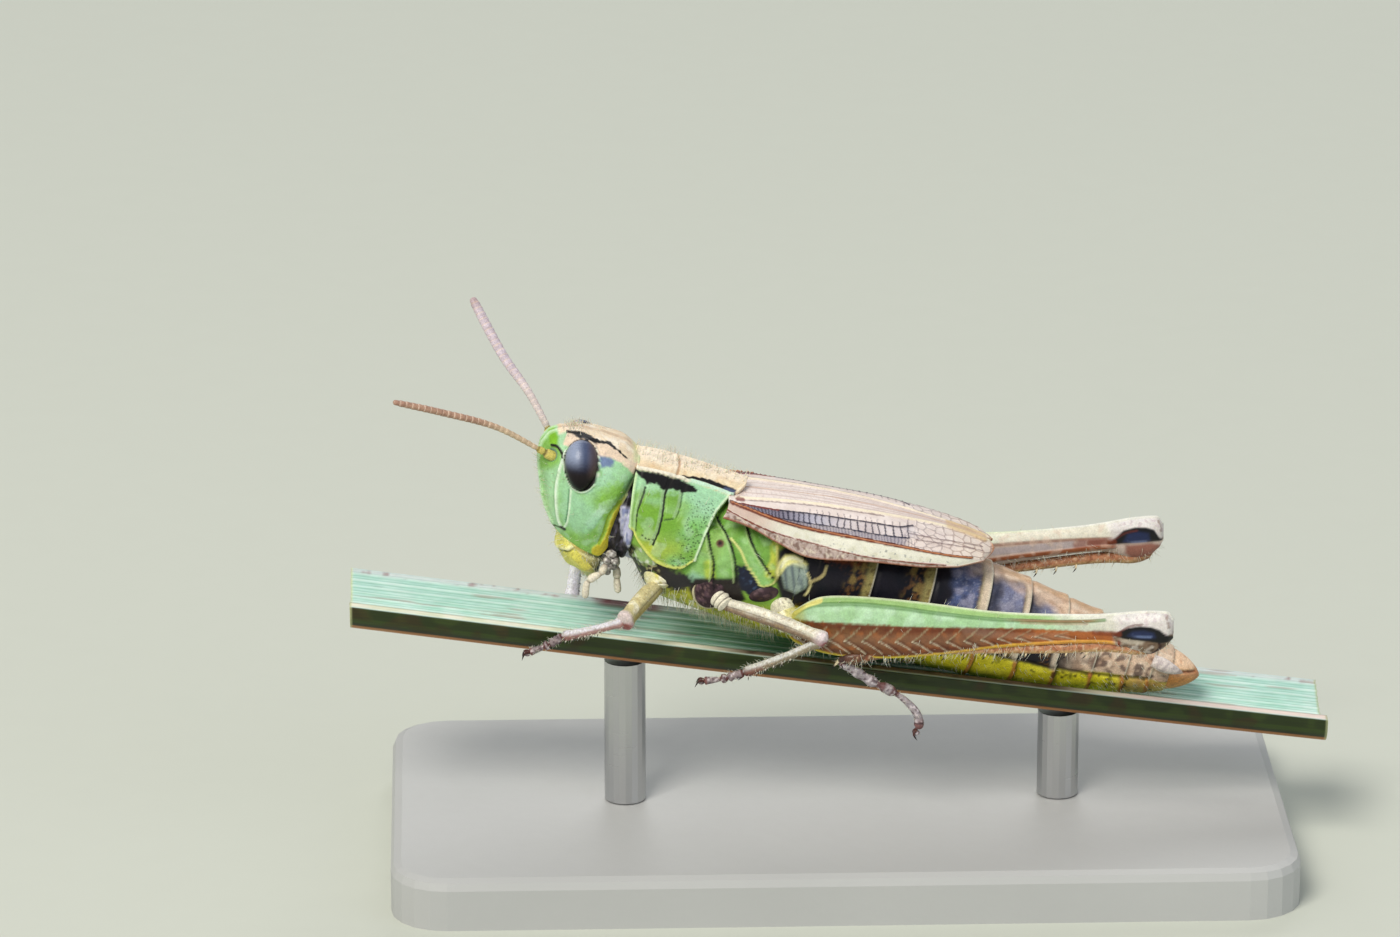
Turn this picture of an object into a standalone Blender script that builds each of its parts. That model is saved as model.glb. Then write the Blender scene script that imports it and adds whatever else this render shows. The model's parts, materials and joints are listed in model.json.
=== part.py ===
"""A female meadow grasshopper on a short length of grass blade, held by a plain display stand.

The head points to -X and the insect's left side faces -Y. The origin is the centre of the stand's
underside. Named sizes are in millimetres and become metres where a mesh is made.

Three frames are used:
- world: the stand, the blade and the legs;
- body: an empty pitched head-up, with X along the trunk to the rear and Z across its back;
- head: an empty at the same place that isn't pitched, because the face hangs upright.
"""

from math import cos, pi, radians, sin

import bmesh
import bpy
from mathutils import Matrix, Vector

MM = 0.001
CLEARANCE = 0.04
SIDES = {"left": -1.0, "right": 1.0}

# Body: where the front of the pronotum sits on the trunk's axis, and how far the head is raised.
BODY_ORIGIN = (-5.73, 0.0, 10.45)
BODY_PITCH = 16.5
THORAX_FRONT, THORAX_REAR = 0.05, 4.78
ABDOMEN_REAR = 16.15
TRUNK_END = 16.95

# Blade: a channelled leaf that falls evenly towards the rear.
BLADE_HALF_LENGTH = 14.1
BLADE_RIM_HEIGHT = 6.00
BLADE_FALL = 0.1365
BLADE_BOW = 0.0003
BLADE_THICKNESS = 0.35

# Stand.
BASE_SIZE = (26.0, 13.0, 1.5)
BASE_EDGE = 0.3
ROD_RADIUS = 0.6
ROD_PLACES = {"front": -6.2, "rear": 6.4}


# ---------------------------------------------------------------- helpers

def finish(name, hex_colour, roughness, metallic=0.0):
    """A Principled material whose colour is given as sRGB hex."""
    material = bpy.data.materials.new(name)
    material.use_nodes = True
    shader = material.node_tree.nodes["Principled BSDF"]
    channels = [int(hex_colour[i:i + 2], 16) / 255 for i in (0, 2, 4)]
    linear = [c / 12.92 if c <= 0.04045 else ((c + 0.055) / 1.055) ** 2.4 for c in channels]
    shader.inputs["Base Color"].default_value = (*linear, 1.0)
    shader.inputs["Roughness"].default_value = roughness
    shader.inputs["Metallic"].default_value = metallic
    return material


def add_object(name, bm, material=None, parent=None, collection=None):
    """Turn a bmesh in millimetres into an object in metres."""
    bmesh.ops.recalc_face_normals(bm, faces=bm.faces)
    bmesh.ops.scale(bm, vec=(MM, MM, MM), verts=bm.verts)
    mesh = bpy.data.meshes.new(name)
    bm.to_mesh(mesh)
    bm.free()
    mesh.shade_smooth()
    mesh.set_sharp_from_angle(angle=radians(40))
    if material:
        mesh.materials.append(material)
    obj = bpy.data.objects.new(name, mesh)
    obj.parent = parent
    (collection or PARTS).objects.link(obj)
    return obj


def through(stations, count):
    """Read evenly spaced stations from a smooth curve through the given ones.

    Each station is a tuple whose first number is its place. The curve is a Catmull-Rom spline.
    """
    first, last = stations[0][0], stations[-1][0]
    result = []
    for step in range(count):
        place = first + (last - first) * step / (count - 1)
        index = max(i for i, s in enumerate(stations[:-1]) if s[0] <= place + 1e-9 or i == 0)
        before, here = stations[max(index - 1, 0)], stations[index]
        there, after = stations[index + 1], stations[min(index + 2, len(stations) - 1)]
        t = (place - here[0]) / (there[0] - here[0])
        values = [place]
        for p0, p1, p2, p3 in zip(before[1:], here[1:], there[1:], after[1:]):
            values.append(0.5 * (2 * p1 + (p2 - p0) * t + (2 * p0 - 5 * p1 + 4 * p2 - p3) * t * t
                                 + (3 * p1 - p0 - 3 * p2 + p3) * t ** 3))
        result.append(tuple(values))
    return result


def squircle(angle, power):
    """A point of the unit superellipse at an angle."""
    c, s = cos(angle), sin(angle)
    grow = 2.0 / power
    return (abs(c) ** grow * (1 if c >= 0 else -1), abs(s) ** grow * (1 if s >= 0 else -1))


def loft(rings):
    """Join rings of points, in order, into one closed body with flat ends."""
    bm = bmesh.new()
    rows = [[bm.verts.new(point) for point in ring] for ring in rings]
    for row, following in zip(rows, rows[1:]):
        for i in range(len(row)):
            j = (i + 1) % len(row)
            bm.faces.new((row[i], row[j], following[j], following[i]))
    bm.faces.new(rows[0])
    bm.faces.new(rows[-1])
    return bm


def ball(centre, radii, turn=None, segments=14, rings=9):
    """An ellipsoid from a sphere primitive."""
    bm = bmesh.new()
    bmesh.ops.create_uvsphere(bm, u_segments=segments, v_segments=rings, radius=1.0)
    bmesh.ops.scale(bm, vec=radii, verts=bm.verts)
    if turn:
        bmesh.ops.rotate(bm, matrix=turn, verts=bm.verts)
    bmesh.ops.translate(bm, vec=centre, verts=bm.verts)
    return bm


def limb(points, sides=10, power=2.0):
    """A bent tube through joints, each (x, y, z, half width, half height)."""
    centres = [Vector(p[:3]) for p in points]
    whole = centres[-1] - centres[0]
    steady = Vector((0, 0, 1)) if abs(whole.normalized().z) < 0.8 else Vector((1, 0, 0))
    side = whole.cross(steady)
    rings = []
    for i, centre in enumerate(centres):
        along = (centres[min(i + 1, len(centres) - 1)] - centres[max(i - 1, 0)]).normalized()
        side = (side - along * side.dot(along)).normalized()
        up = side.cross(along)
        ring = []
        for k in range(sides):
            c, s = squircle(2 * pi * (k + 0.5) / sides, power)
            ring.append(centre + side * c * points[i][3] + up * s * points[i][4])
        rings.append(ring)
    return loft(rings)


def prism(outline, half_width):
    """Extrude an outline of (x, z) points across Y."""
    bm = bmesh.new()
    face = bm.faces.new([bm.verts.new((x, -half_width, z)) for x, z in outline])
    extruded = bmesh.ops.extrude_face_region(bm, geom=[face])
    corners = [v for v in extruded["geom"] if isinstance(v, bmesh.types.BMVert)]
    bmesh.ops.translate(bm, vec=(0, 2 * half_width, 0), verts=corners)
    return bm


def slice_off(bm, point, normal):
    """Cut a body with a plane, drop what the normal points to, and close it."""
    geometry = bm.verts[:] + bm.edges[:] + bm.faces[:]
    bmesh.ops.bisect_plane(bm, geom=geometry, plane_co=point, plane_no=normal, clear_outer=True)
    rim = [e for e in bm.edges if e.is_boundary]
    bmesh.ops.edgeloop_fill(bm, edges=rim)
    return bm


def carve(target, cutter, operation="DIFFERENCE"):
    """Cut an object with another, which becomes a hidden cutter."""
    cut = target.modifiers.new("cut_" + cutter.name, "BOOLEAN")
    cut.operation = operation
    cut.object = cutter
    cut.solver = "EXACT"


def room_for(target, *pieces, clearance=CLEARANCE):
    """Carve a socket in the target that leaves clearance round each piece."""
    for piece in pieces:
        bm = bmesh.new()
        bm.from_mesh(piece.data)
        bm.normal_update()
        moves = [(v, v.normal * clearance * MM) for v in bm.verts]
        for vert, move in moves:
            vert.co += move
        mesh = bpy.data.meshes.new("socket")
        bm.to_mesh(mesh)
        bm.free()
        socket = bpy.data.objects.new("socket_%s_in_%s" % (piece.name, target.name), mesh)
        socket.parent = piece.parent
        socket.hide_render = True
        socket.display_type = "WIRE"
        CUTTERS.objects.link(socket)
        carve(target, socket)


# ---------------------------------------------------------------- trunk

# Place, half width, back, widest level, underside.
TRUNK = (
    (-0.90, 1.30, 1.50, 0.20, -0.90),
    (-0.50, 1.58, 1.50, 0.15, -1.30),
    (0.00, 1.70, 1.48, 0.10, -2.00),
    (0.60, 1.77, 1.46, 0.00, -2.33),
    (1.50, 1.82, 1.42, -0.10, -2.45),
    (2.80, 1.85, 1.48, -0.25, -2.56),
    (4.00, 1.84, 1.40, -0.40, -2.66),
    (5.30, 1.74, 1.25, -0.50, -2.60),
    (8.00, 1.58, 1.15, -0.60, -2.38),
    (10.40, 1.46, 1.00, -0.62, -2.18),
    (13.00, 1.20, 0.58, -0.72, -1.98),
    (15.00, 0.94, 0.34, -0.66, -1.56),
    (16.20, 0.62, 0.05, -0.56, -1.16),
    (TRUNK_END, 0.12, -0.30, -0.42, -0.54),
)


def trunk_between(start, end, rings, sides=22, upper_power=2.3):
    """The trunk's own form between two places along its axis."""
    steps = through(TRUNK, 80)
    body = []
    for i in range(rings):
        place = start + (end - start) * i / (rings - 1)
        before = max((s for s in steps if s[0] <= place + 1e-6), key=lambda s: s[0])
        after = min((s for s in steps if s[0] >= place - 1e-6), key=lambda s: s[0])
        blend = 0.0 if after[0] == before[0] else (place - before[0]) / (after[0] - before[0])
        _, width, back, level, under = (p + (q - p) * blend for p, q in zip(before, after))
        ring = []
        for k in range(sides):
            angle = 2 * pi * (k + 0.5) / sides
            c, s = squircle(angle, upper_power if sin(angle) > 0 else 2.0)
            ring.append((place, width * c, level + s * ((back - level) if s > 0 else (level - under))))
        body.append(ring)
    return loft(body)


# The saddle's outline from the side: front edge, lower edge, rear edge.
SADDLE = (
    (-0.62, 2.10), (-0.55, 1.20), (-0.50, 0.60), (-0.40, -0.04), (-0.25, -0.47), (-0.05, -0.75),
    (0.25, -0.90), (0.60, -1.10), (0.90, -1.15), (1.48, -1.00), (1.70, -0.63), (1.78, 0.10),
    (1.88, 0.80), (2.15, 1.25), (2.60, 1.52), (2.72, 2.10),
)


def make_pronotum():
    """The saddle that covers the front of the thorax and its sides."""
    pronotum = add_object("pronotum", trunk_between(-0.75, 2.85, 10), CHITIN_GREEN, BODY)
    outline = add_object("saddle_outline", prism(SADDLE, 3.0), None, BODY, CUTTERS)
    hide(outline)
    carve(pronotum, outline, "INTERSECT")
    return outline


def make_thorax(saddle_outline):
    """Chest and wing-bearing thorax, under and behind the saddle."""
    thorax = add_object("thorax", trunk_between(THORAX_FRONT, THORAX_REAR, 12), CHITIN_GREEN, BODY)
    room_for(thorax, saddle_outline)
    return thorax


def make_abdomen():
    """Abdomen and the short valves at its end."""
    abdomen = add_object(
        "abdomen", trunk_between(THORAX_REAR + CLEARANCE, ABDOMEN_REAR, 16), CHITIN_DARK, BODY)
    add_object("ovipositor", trunk_between(ABDOMEN_REAR + CLEARANCE, TRUNK_END, 5, sides=12),
               CHITIN_TAN, BODY)
    cerci = []
    for name, side in SIDES.items():
        points = ((15.55, 0.84 * side, -0.28, 0.20, 0.20), (15.95, 0.80 * side, -0.34, 0.19, 0.19),
                  (16.45, 0.74 * side, -0.40, 0.10, 0.10))
        cerci.append(add_object("cercus_" + name, limb(points, 8), CHITIN_TAN, BODY))
    room_for(abdomen, *cerci)
    room_for(bpy.data.objects["ovipositor"], *cerci)
    return abdomen


# ---------------------------------------------------------------- wings

WING_THICKNESS = 0.45
WING_PART = 0.03
# Place, fold height, fold half width, lower edge height, lower edge half width.
WING = (
    (2.30, 1.46, 0.90, 0.86, 1.86),
    (3.00, 1.56, 0.87, 0.76, 1.93),
    (4.00, 1.64, 0.85, 0.56, 1.98),
    (5.00, 1.72, 0.82, 0.46, 2.00),
    (6.50, 1.79, 0.80, 0.78, 1.97),
    (8.00, 1.82, 0.74, 1.02, 1.88),
    (9.00, 1.80, 0.62, 1.24, 1.66),
    (9.70, 1.74, 0.48, 1.46, 1.24),
    (10.05, 1.68, 0.30, 1.60, 0.75),
)
WING_START_SLOPE = 0.45
FOLD_SHARE = 0.38


def make_tegmen(name, side):
    """One leathery fore wing: flat over the back, folded at a ridge, then sloping down the side."""
    across = 9
    stations = through(WING, 15)
    rings = []
    for row, (place, fold, fold_width, low, low_width) in enumerate(stations):
        outer = []
        for k in range(across):
            t = k / (across - 1)
            if t <= FOLD_SHARE:
                y = WING_PART + (fold_width - WING_PART) * t / FOLD_SHARE
                z = fold + 0.05 * (1 - t / FOLD_SHARE)
            else:
                down = (t - FOLD_SHARE) / (1 - FOLD_SHARE)
                y = fold_width + (low_width - fold_width) * sin(down * pi / 2) ** 0.9
                z = low + (fold - low) * cos(down * pi / 2)
            outer.append(Vector((y, z)))
        inner = []
        for k, point in enumerate(outer):
            along = (outer[min(k + 1, across - 1)] - outer[max(k - 1, 0)]).normalized()
            moved = point + Vector((along.y, -along.x)) * WING_THICKNESS
            inner.append(Vector((max(moved.x, WING_PART), moved.y)))
        lean = WING_START_SLOPE * (1 - row / (len(stations) - 1))
        rings.append([(place + lean * (p.y - 1.1), side * p.x, p.y) for p in outer + inner[::-1]])
    return add_object(name, loft(rings), WING_TAN, BODY)


# ---------------------------------------------------------------- head

# Height, front of the face, back of the head, half width.
HEAD = (
    (-2.12, -1.56, -1.30, 0.36),
    (-1.85, -1.78, -1.22, 0.56),
    (-1.40, -2.12, -1.12, 0.84),
    (-0.90, -2.36, -1.06, 1.06),
    (-0.30, -2.60, -0.92, 1.28),
    (0.30, -2.80, -0.78, 1.40),
    (0.90, -2.88, -0.42, 1.40),
    (1.50, -2.93, -0.22, 1.24),
    (2.00, -2.84, -0.46, 0.98),
    (2.35, -2.62, -1.02, 0.72),
    (2.56, -2.30, -1.60, 0.34),
)
HEAD_WIDEST = 0.55
CHEEK_CUT = ((-1.75, 0.0, -0.98), (-0.48, 0.0, -0.88))
LABRUM_DEPTH = 0.46
EYE_CENTRE = (-1.70, 1.07, 1.66)
EYE_RADII = (0.49, 0.42, 0.76)
EYE_LEAN = 22.0


def head_form(sides=22):
    """Head and mouthparts as one body of level rings, wedge-shaped in front and full behind."""
    rings = []
    for height, front, back, width in through(HEAD, 17):
        widest = front + (back - front) * HEAD_WIDEST
        ring = []
        for k in range(sides):
            angle = 2 * pi * (k + 0.5) / sides
            c, s = squircle(angle, 2.5 if cos(angle) > 0 else 1.7)
            reach = (back - widest) if c > 0 else (widest - front)
            ring.append((widest + c * reach, s * width, height))
        rings.append(ring)
    return loft(rings)


def make_head():
    """Head capsule, eyes, lip, jaws and feelers of the mouth."""
    point, normal = CHEEK_CUT
    shift = Vector(normal).normalized() * CLEARANCE
    head = add_object("head", slice_off(head_form(), point, normal), CHITIN_GREEN, HEAD_FRAME)
    mouth_point = Vector(point) + shift
    away = -Vector(normal)

    def mouth():
        return slice_off(head_form(), mouth_point, away)

    slant = Vector((0.80, 0.0, 0.60))
    behind_lip = Vector((-2.12 + LABRUM_DEPTH, 0.0, -1.40))
    add_object("labrum", slice_off(mouth(), behind_lip, slant), CHITIN_YELLOW, HEAD_FRAME)
    for name, side in SIDES.items():
        jaw = slice_off(mouth(), behind_lip + slant * CLEARANCE, -slant)
        jaw = slice_off(jaw, (0.0, side * CLEARANCE / 2, 0.0), (0.0, -side, 0.0))
        add_object("mandible_" + name, jaw, CHITIN_YELLOW, HEAD_FRAME)

    eyes = []
    for name, side in SIDES.items():
        x, y, z = EYE_CENTRE
        turn = Matrix.Rotation(radians(EYE_LEAN) * side, 3, "X")
        eyes.append(add_object("eye_" + name, ball((x, y * side, z), EYE_RADII, turn, 14, 10),
                               EYE_BROWN, HEAD_FRAME))
    room_for(head, *eyes)

    for name, side in SIDES.items():
        upper = ((-1.02, 0.92 * side, -1.62, 0.17, 0.17), (-1.38, 1.00 * side, -1.86, 0.18, 0.18),
                 (-1.56, 1.00 * side, -2.08, 0.17, 0.17), (-1.62, 0.96 * side, -2.52, 0.12, 0.12))
        lower = ((-0.74, 0.46 * side, -1.56, 0.16, 0.16), (-0.70, 0.52 * side, -2.02, 0.17, 0.17),
                 (-0.68, 0.54 * side, -2.52, 0.12, 0.12))
        add_object("maxillary_palp_" + name, limb(upper, 8), CHITIN_TAN, HEAD_FRAME)
        add_object("labial_palp_" + name, limb(lower, 8), CHITIN_TAN, HEAD_FRAME)


def make_neck():
    """The dark membrane that joins head and saddle."""
    rings = []
    for height, back in ((-1.22, -1.14), (-0.80, -1.00), (-0.20, -0.82), (0.25, -0.72)):
        half = 1.05 + 0.08 * height
        ring = []
        for k in range(14):
            c, s = squircle(2 * pi * (k + 0.5) / 14, 3.0)
            front = back + CLEARANCE
            rear = -0.46 if height > -0.5 else -0.42
            ring.append(((front + rear) / 2 + c * (rear - front) / 2, s * half, height))
        rings.append(ring)
    add_object("neck", loft(rings), MEMBRANE, HEAD_FRAME)


# Joints of the antennae in the head's frame: base, bend, tip.
ANTENNAE = {
    "left": ((-2.66, -0.64, 1.80), (-4.10, -1.05, 2.75), (-5.66, -1.60, 3.40), (-7.04, -2.10, 3.90)),
    "right": ((-2.74, 0.52, 2.14), (-3.22, 1.00, 3.10), (-3.93, 1.70, 4.06), (-4.77, 2.60, 5.48)),
}
ANTENNA_RADIUS = 0.22


def make_antennae():
    """The two feelers, as slender tubes."""
    for name, joints in ANTENNAE.items():
        points = through([(i, *joint) for i, joint in enumerate(joints)], 8)
        tube = limb([(*p[1:], ANTENNA_RADIUS, ANTENNA_RADIUS) for p in points], 8)
        add_object("antenna_" + name, tube, FEELER_TAN, HEAD_FRAME)


# ---------------------------------------------------------------- legs

LEG_RADIUS = 0.22
# Every leg's joints in the world frame, for the left side: hip, end of the coxa, knee, ankle, toe.
FORE_LEFT = ((-5.25, -0.85, 8.85), (-5.30, -1.30, 8.42), (-6.25, -2.90, 7.96),
             (-8.02, -1.86, 7.14), (-8.98, -1.84, 6.66))
FORE_RIGHT = ((-5.25, -0.85, 8.85), (-5.30, -1.30, 8.42), (-7.46, -2.64, 8.78),
              (-7.78, -1.98, 7.10), (-6.30, -1.98, 6.86))
MID = ((-3.92, -1.35, 8.25), (-3.40, -1.72, 8.02), (-0.58, -2.92, 7.32),
       (-2.84, -2.02, 6.02), (-3.98, -1.90, 5.74))
HIND_HIP = (-1.95, -1.45, 7.62)
HIND_BASE = (-1.45, -1.95, 7.42)
HIND_KNEE = (9.15, -4.25, 7.95)
HIND_ANKLE = (-0.12, -2.42, 6.40)
HIND_TOES = ((0.67, -2.36, 5.83), (1.46, -2.26, 5.20), (2.20, -2.20, 4.22))
# Place along the thigh as a share of its length, half thickness, rise, drop.
THIGH = (
    (0.000, 0.20, 0.20, 0.26),
    (0.030, 0.32, 0.55, 0.62),
    (0.090, 0.42, 0.92, 0.90),
    (0.200, 0.46, 0.97, 0.95),
    (0.350, 0.42, 0.76, 0.74),
    (0.520, 0.34, 0.54, 0.53),
    (0.720, 0.27, 0.46, 0.40),
    (0.860, 0.26, 0.47, 0.34),
    (0.940, 0.36, 0.56, 0.52),
    (0.985, 0.34, 0.52, 0.56),
    (1.018, 0.18, 0.30, 0.34),
)


def mirrored(point, side):
    """A left-side joint moved to the given side."""
    return (point[0], point[1] * -side, point[2])


def thick(point, half_width, half_height=None):
    """A limb ring at a joint."""
    return (*point, half_width, half_height or half_width)


def between(start, end, share):
    """The point at a share of the way between two joints."""
    return tuple(p + (q - p) * share for p, q in zip(start, end))


def coxa_ball(hip, seat, radius):
    """The stout first segment of a leg, an ellipsoid along the line from hip to seat."""
    along = Vector(seat) - Vector(hip)
    turn = Vector((0, 0, 1)).rotation_difference(along).to_matrix()
    return ball(between(hip, seat, 0.5), (radius, radius, radius * 0.35 + along.length * 0.62),
                turn, 11, 7)


def walking_leg(pair, name, side, joints):
    """A fore or middle leg: coxa, femur, tibia and tarsus."""
    hip, seat, knee, ankle, toe = (mirrored(joint, side) for joint in joints)
    coxa = coxa_ball(hip, seat, 0.36)
    femur = limb([thick(between(seat, knee, 0.13), 0.22), thick(between(seat, knee, 0.35), 0.27),
                  thick(between(seat, knee, 0.75), 0.25), thick(between(seat, knee, 1.03), 0.24)])
    tibia = limb([thick(between(knee, ankle, 0.20), 0.20), thick(between(knee, ankle, 0.55), 0.20),
                  thick(between(knee, ankle, 0.94), 0.20)])
    tarsus = limb([thick(between(ankle, toe, 0.16), 0.18), thick(between(ankle, toe, 0.55), 0.20),
                   thick(between(ankle, toe, 1.08), 0.20)], 8)
    add_object("%s_femur_%s" % (pair, name), femur, LEG_CREAM)
    add_object("%s_tibia_%s" % (pair, name), tibia, LEG_CREAM)
    add_object("%s_tarsus_%s" % (pair, name), tarsus, LEG_BROWN)
    return add_object("%s_coxa_%s" % (pair, name), coxa, LEG_BROWN)


def jumping_leg(name, side):
    """The big hind leg, folded: the shin lies under the thigh."""
    hip, base, knee, ankle = (
        mirrored(joint, side) for joint in (HIND_HIP, HIND_BASE, HIND_KNEE, HIND_ANKLE))
    coxa = coxa_ball(hip, between(hip, base, 0.9), 0.42)
    axis = Vector(knee) - Vector(base)
    outward = Vector((-axis.y, axis.x, 0)).normalized()
    rings = []
    for share, half, rise, drop in through(THIGH, 20):
        centre = Vector(base) + axis * (0.03 + share * 0.97)
        ring = []
        for k in range(14):
            c, s = squircle(2 * pi * (k + 0.5) / 14, 2.3)
            ring.append(centre + outward * c * half + Vector((0, 0, s * (rise if s > 0 else drop))))
        rings.append(ring)
    femur = add_object("hind_femur_" + name, loft(rings), LEG_GREEN)

    heel = between(knee, base, 0.035)
    heel = (heel[0], heel[1], heel[2] - 0.42)
    shin = [heel, between(heel, ankle, 0.3), between(heel, ankle, 0.65), ankle]
    widths = (0.20, 0.18, 0.18, 0.20)
    tibia = add_object("hind_tibia_" + name,
                       limb([thick(p, w) for p, w in zip(shin, widths)], 10), LEG_TAN)
    room_for(femur, tibia)
    toes = [mirrored(toe, side) for toe in HIND_TOES]
    tarsus = limb([thick(between(ankle, toes[0], 0.44), 0.17), thick(toes[0], 0.18),
                   thick(toes[1], 0.17), thick(toes[2], 0.16)], 8)
    add_object("hind_tarsus_" + name, tarsus, LEG_BROWN)
    return add_object("hind_coxa_" + name, coxa, LEG_BROWN)


# ---------------------------------------------------------------- blade and stand

def blade_height(x):
    """Height of the blade's rims at a place along it."""
    return BLADE_RIM_HEIGHT - BLADE_FALL * x + BLADE_BOW * x * x


# The blade's underside from the near rim to the far rim: (y, drop below the near rim).
CHANNEL = ((-1.60, 0.00), (-1.52, 0.38), (-1.24, 0.70), (-0.66, 0.90), (0.00, 0.92),
           (0.66, 0.74), (1.20, 0.48), (1.70, 0.22))


def make_blade():
    """A cut length of grass blade, channelled along its middle."""
    under = [Vector((y, -drop)) for y, drop in CHANNEL]
    upper = []
    for i, point in enumerate(under):
        along = (under[min(i + 1, len(under) - 1)] - under[max(i - 1, 0)]).normalized()
        upper.append(point + Vector((-along.y, along.x)) * BLADE_THICKNESS)
    section = under + upper[::-1]
    rings = []
    count = 9
    for i in range(count):
        x = -BLADE_HALF_LENGTH + 2 * BLADE_HALF_LENGTH * i / (count - 1)
        rings.append([(x, y, blade_height(x) + z) for y, z in section])
    add_object("perch_blade", loft(rings), BLADE_GREEN)


def make_stand():
    """A flat base and two short rods up to the underside of the blade."""
    bm = bmesh.new()
    bmesh.ops.create_cube(bm, size=1.0)
    bmesh.ops.scale(bm, vec=BASE_SIZE, verts=bm.verts)
    bmesh.ops.translate(bm, vec=(0, 0, BASE_SIZE[2] / 2), verts=bm.verts)
    upright = [e for e in bm.edges if abs(e.verts[0].co.z - e.verts[1].co.z) > 1.0]
    bmesh.ops.bevel(bm, geom=upright, offset=1.6, segments=5, profile=0.5, affect="EDGES")
    top = [e for e in bm.edges if all(v.co.z > BASE_SIZE[2] - 0.01 for v in e.verts)]
    bmesh.ops.bevel(bm, geom=top, offset=BASE_EDGE, segments=2, profile=0.5, affect="EDGES")
    add_object("stand_base", bm, STAND_GREY)

    floor_drop = max(drop for _, drop in CHANNEL)
    for name, x in ROD_PLACES.items():
        lowest = min(blade_height(x - ROD_RADIUS), blade_height(x + ROD_RADIUS))
        top_level = lowest - floor_drop - CLEARANCE
        bottom = BASE_SIZE[2] + CLEARANCE
        bm = bmesh.new()
        bmesh.ops.create_cone(bm, cap_ends=True, segments=20, radius1=ROD_RADIUS,
                              radius2=ROD_RADIUS, depth=top_level - bottom)
        bmesh.ops.translate(bm, vec=(x, -0.25, (top_level + bottom) / 2), verts=bm.verts)
        add_object("stand_rod_" + name, bm, STAND_STEEL)


def hide(cutter):
    """Mark an object as a cutter."""
    cutter.hide_render = True
    cutter.display_type = "WIRE"


# ---------------------------------------------------------------- build

for old in list(bpy.data.objects):
    bpy.data.objects.remove(old, do_unlink=True)

PARTS = bpy.data.collections.new("grasshopper")
CUTTERS = bpy.data.collections.new("cutters")
bpy.context.scene.collection.children.link(PARTS)
bpy.context.scene.collection.children.link(CUTTERS)

CHITIN_GREEN = finish("chitin_green", "86B552", 0.45)
CHITIN_YELLOW = finish("chitin_yellow", "C9C060", 0.45)
CHITIN_DARK = finish("chitin_dark", "2A2228", 0.30)
CHITIN_TAN = finish("chitin_tan", "D9B48C", 0.45)
MEMBRANE = finish("membrane", "2E2A33", 0.60)
EYE_BROWN = finish("eye_brown", "2B1C22", 0.20)
FEELER_TAN = finish("feeler_tan", "A98378", 0.60)
WING_TAN = finish("wing_tan", "E0C8B4", 0.45)
LEG_CREAM = finish("leg_cream", "CDBBA0", 0.50)
LEG_BROWN = finish("leg_brown", "6A4A3E", 0.50)
LEG_GREEN = finish("leg_green", "A9CF9A", 0.45)
LEG_TAN = finish("leg_tan", "C99B66", 0.45)
BLADE_GREEN = finish("blade_green", "9CCBB8", 0.45)
STAND_GREY = finish("stand_grey", "B9BBBC", 0.50)
STAND_STEEL = finish("stand_steel", "C8C9CB", 0.30, 1.0)

BODY = bpy.data.objects.new("body_axis", None)
BODY.location = Vector(BODY_ORIGIN) * MM
BODY.rotation_euler = (0.0, radians(BODY_PITCH), 0.0)
HEAD_FRAME = bpy.data.objects.new("head_frame", None)
HEAD_FRAME.location = Vector(BODY_ORIGIN) * MM
PARTS.objects.link(BODY)
PARTS.objects.link(HEAD_FRAME)

saddle = make_pronotum()
thorax = make_thorax(saddle)
abdomen = make_abdomen()
tegmina = [make_tegmen("tegmen_" + name, side) for name, side in SIDES.items()]
room_for(thorax, *tegmina)
room_for(abdomen, *tegmina)
room_for(bpy.data.objects["pronotum"], *tegmina)
make_head()
make_neck()
make_antennae()

coxae = []
for side_name, side_sign in SIDES.items():
    fore_joints = FORE_LEFT if side_name == "left" else FORE_RIGHT
    coxae.append(walking_leg("fore", side_name, side_sign, fore_joints))
    coxae.append(walking_leg("mid", side_name, side_sign, MID))
    coxae.append(jumping_leg(side_name, side_sign))
room_for(thorax, *coxae)
room_for(abdomen, *coxae)

make_blade()
make_stand()
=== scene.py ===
"""Looks of a female meadow grasshopper perched on a short length of grass blade, on a display stand.

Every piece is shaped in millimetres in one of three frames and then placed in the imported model's
frame, in metres:
- body: X along the trunk to the rear, Y across (the left side is negative), Z out of the back;
- head: the same origin, upright, because the face hangs straight down;
- world: the legs, the blade and the stand.
"""

import json
import logging
from collections.abc import Callable, Iterable
from dataclasses import dataclass
from enum import Enum
from math import cos, pi, radians, sin

import bmesh
import bpy
import numpy as np
from mathutils import Matrix, Vector, noise

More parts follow.
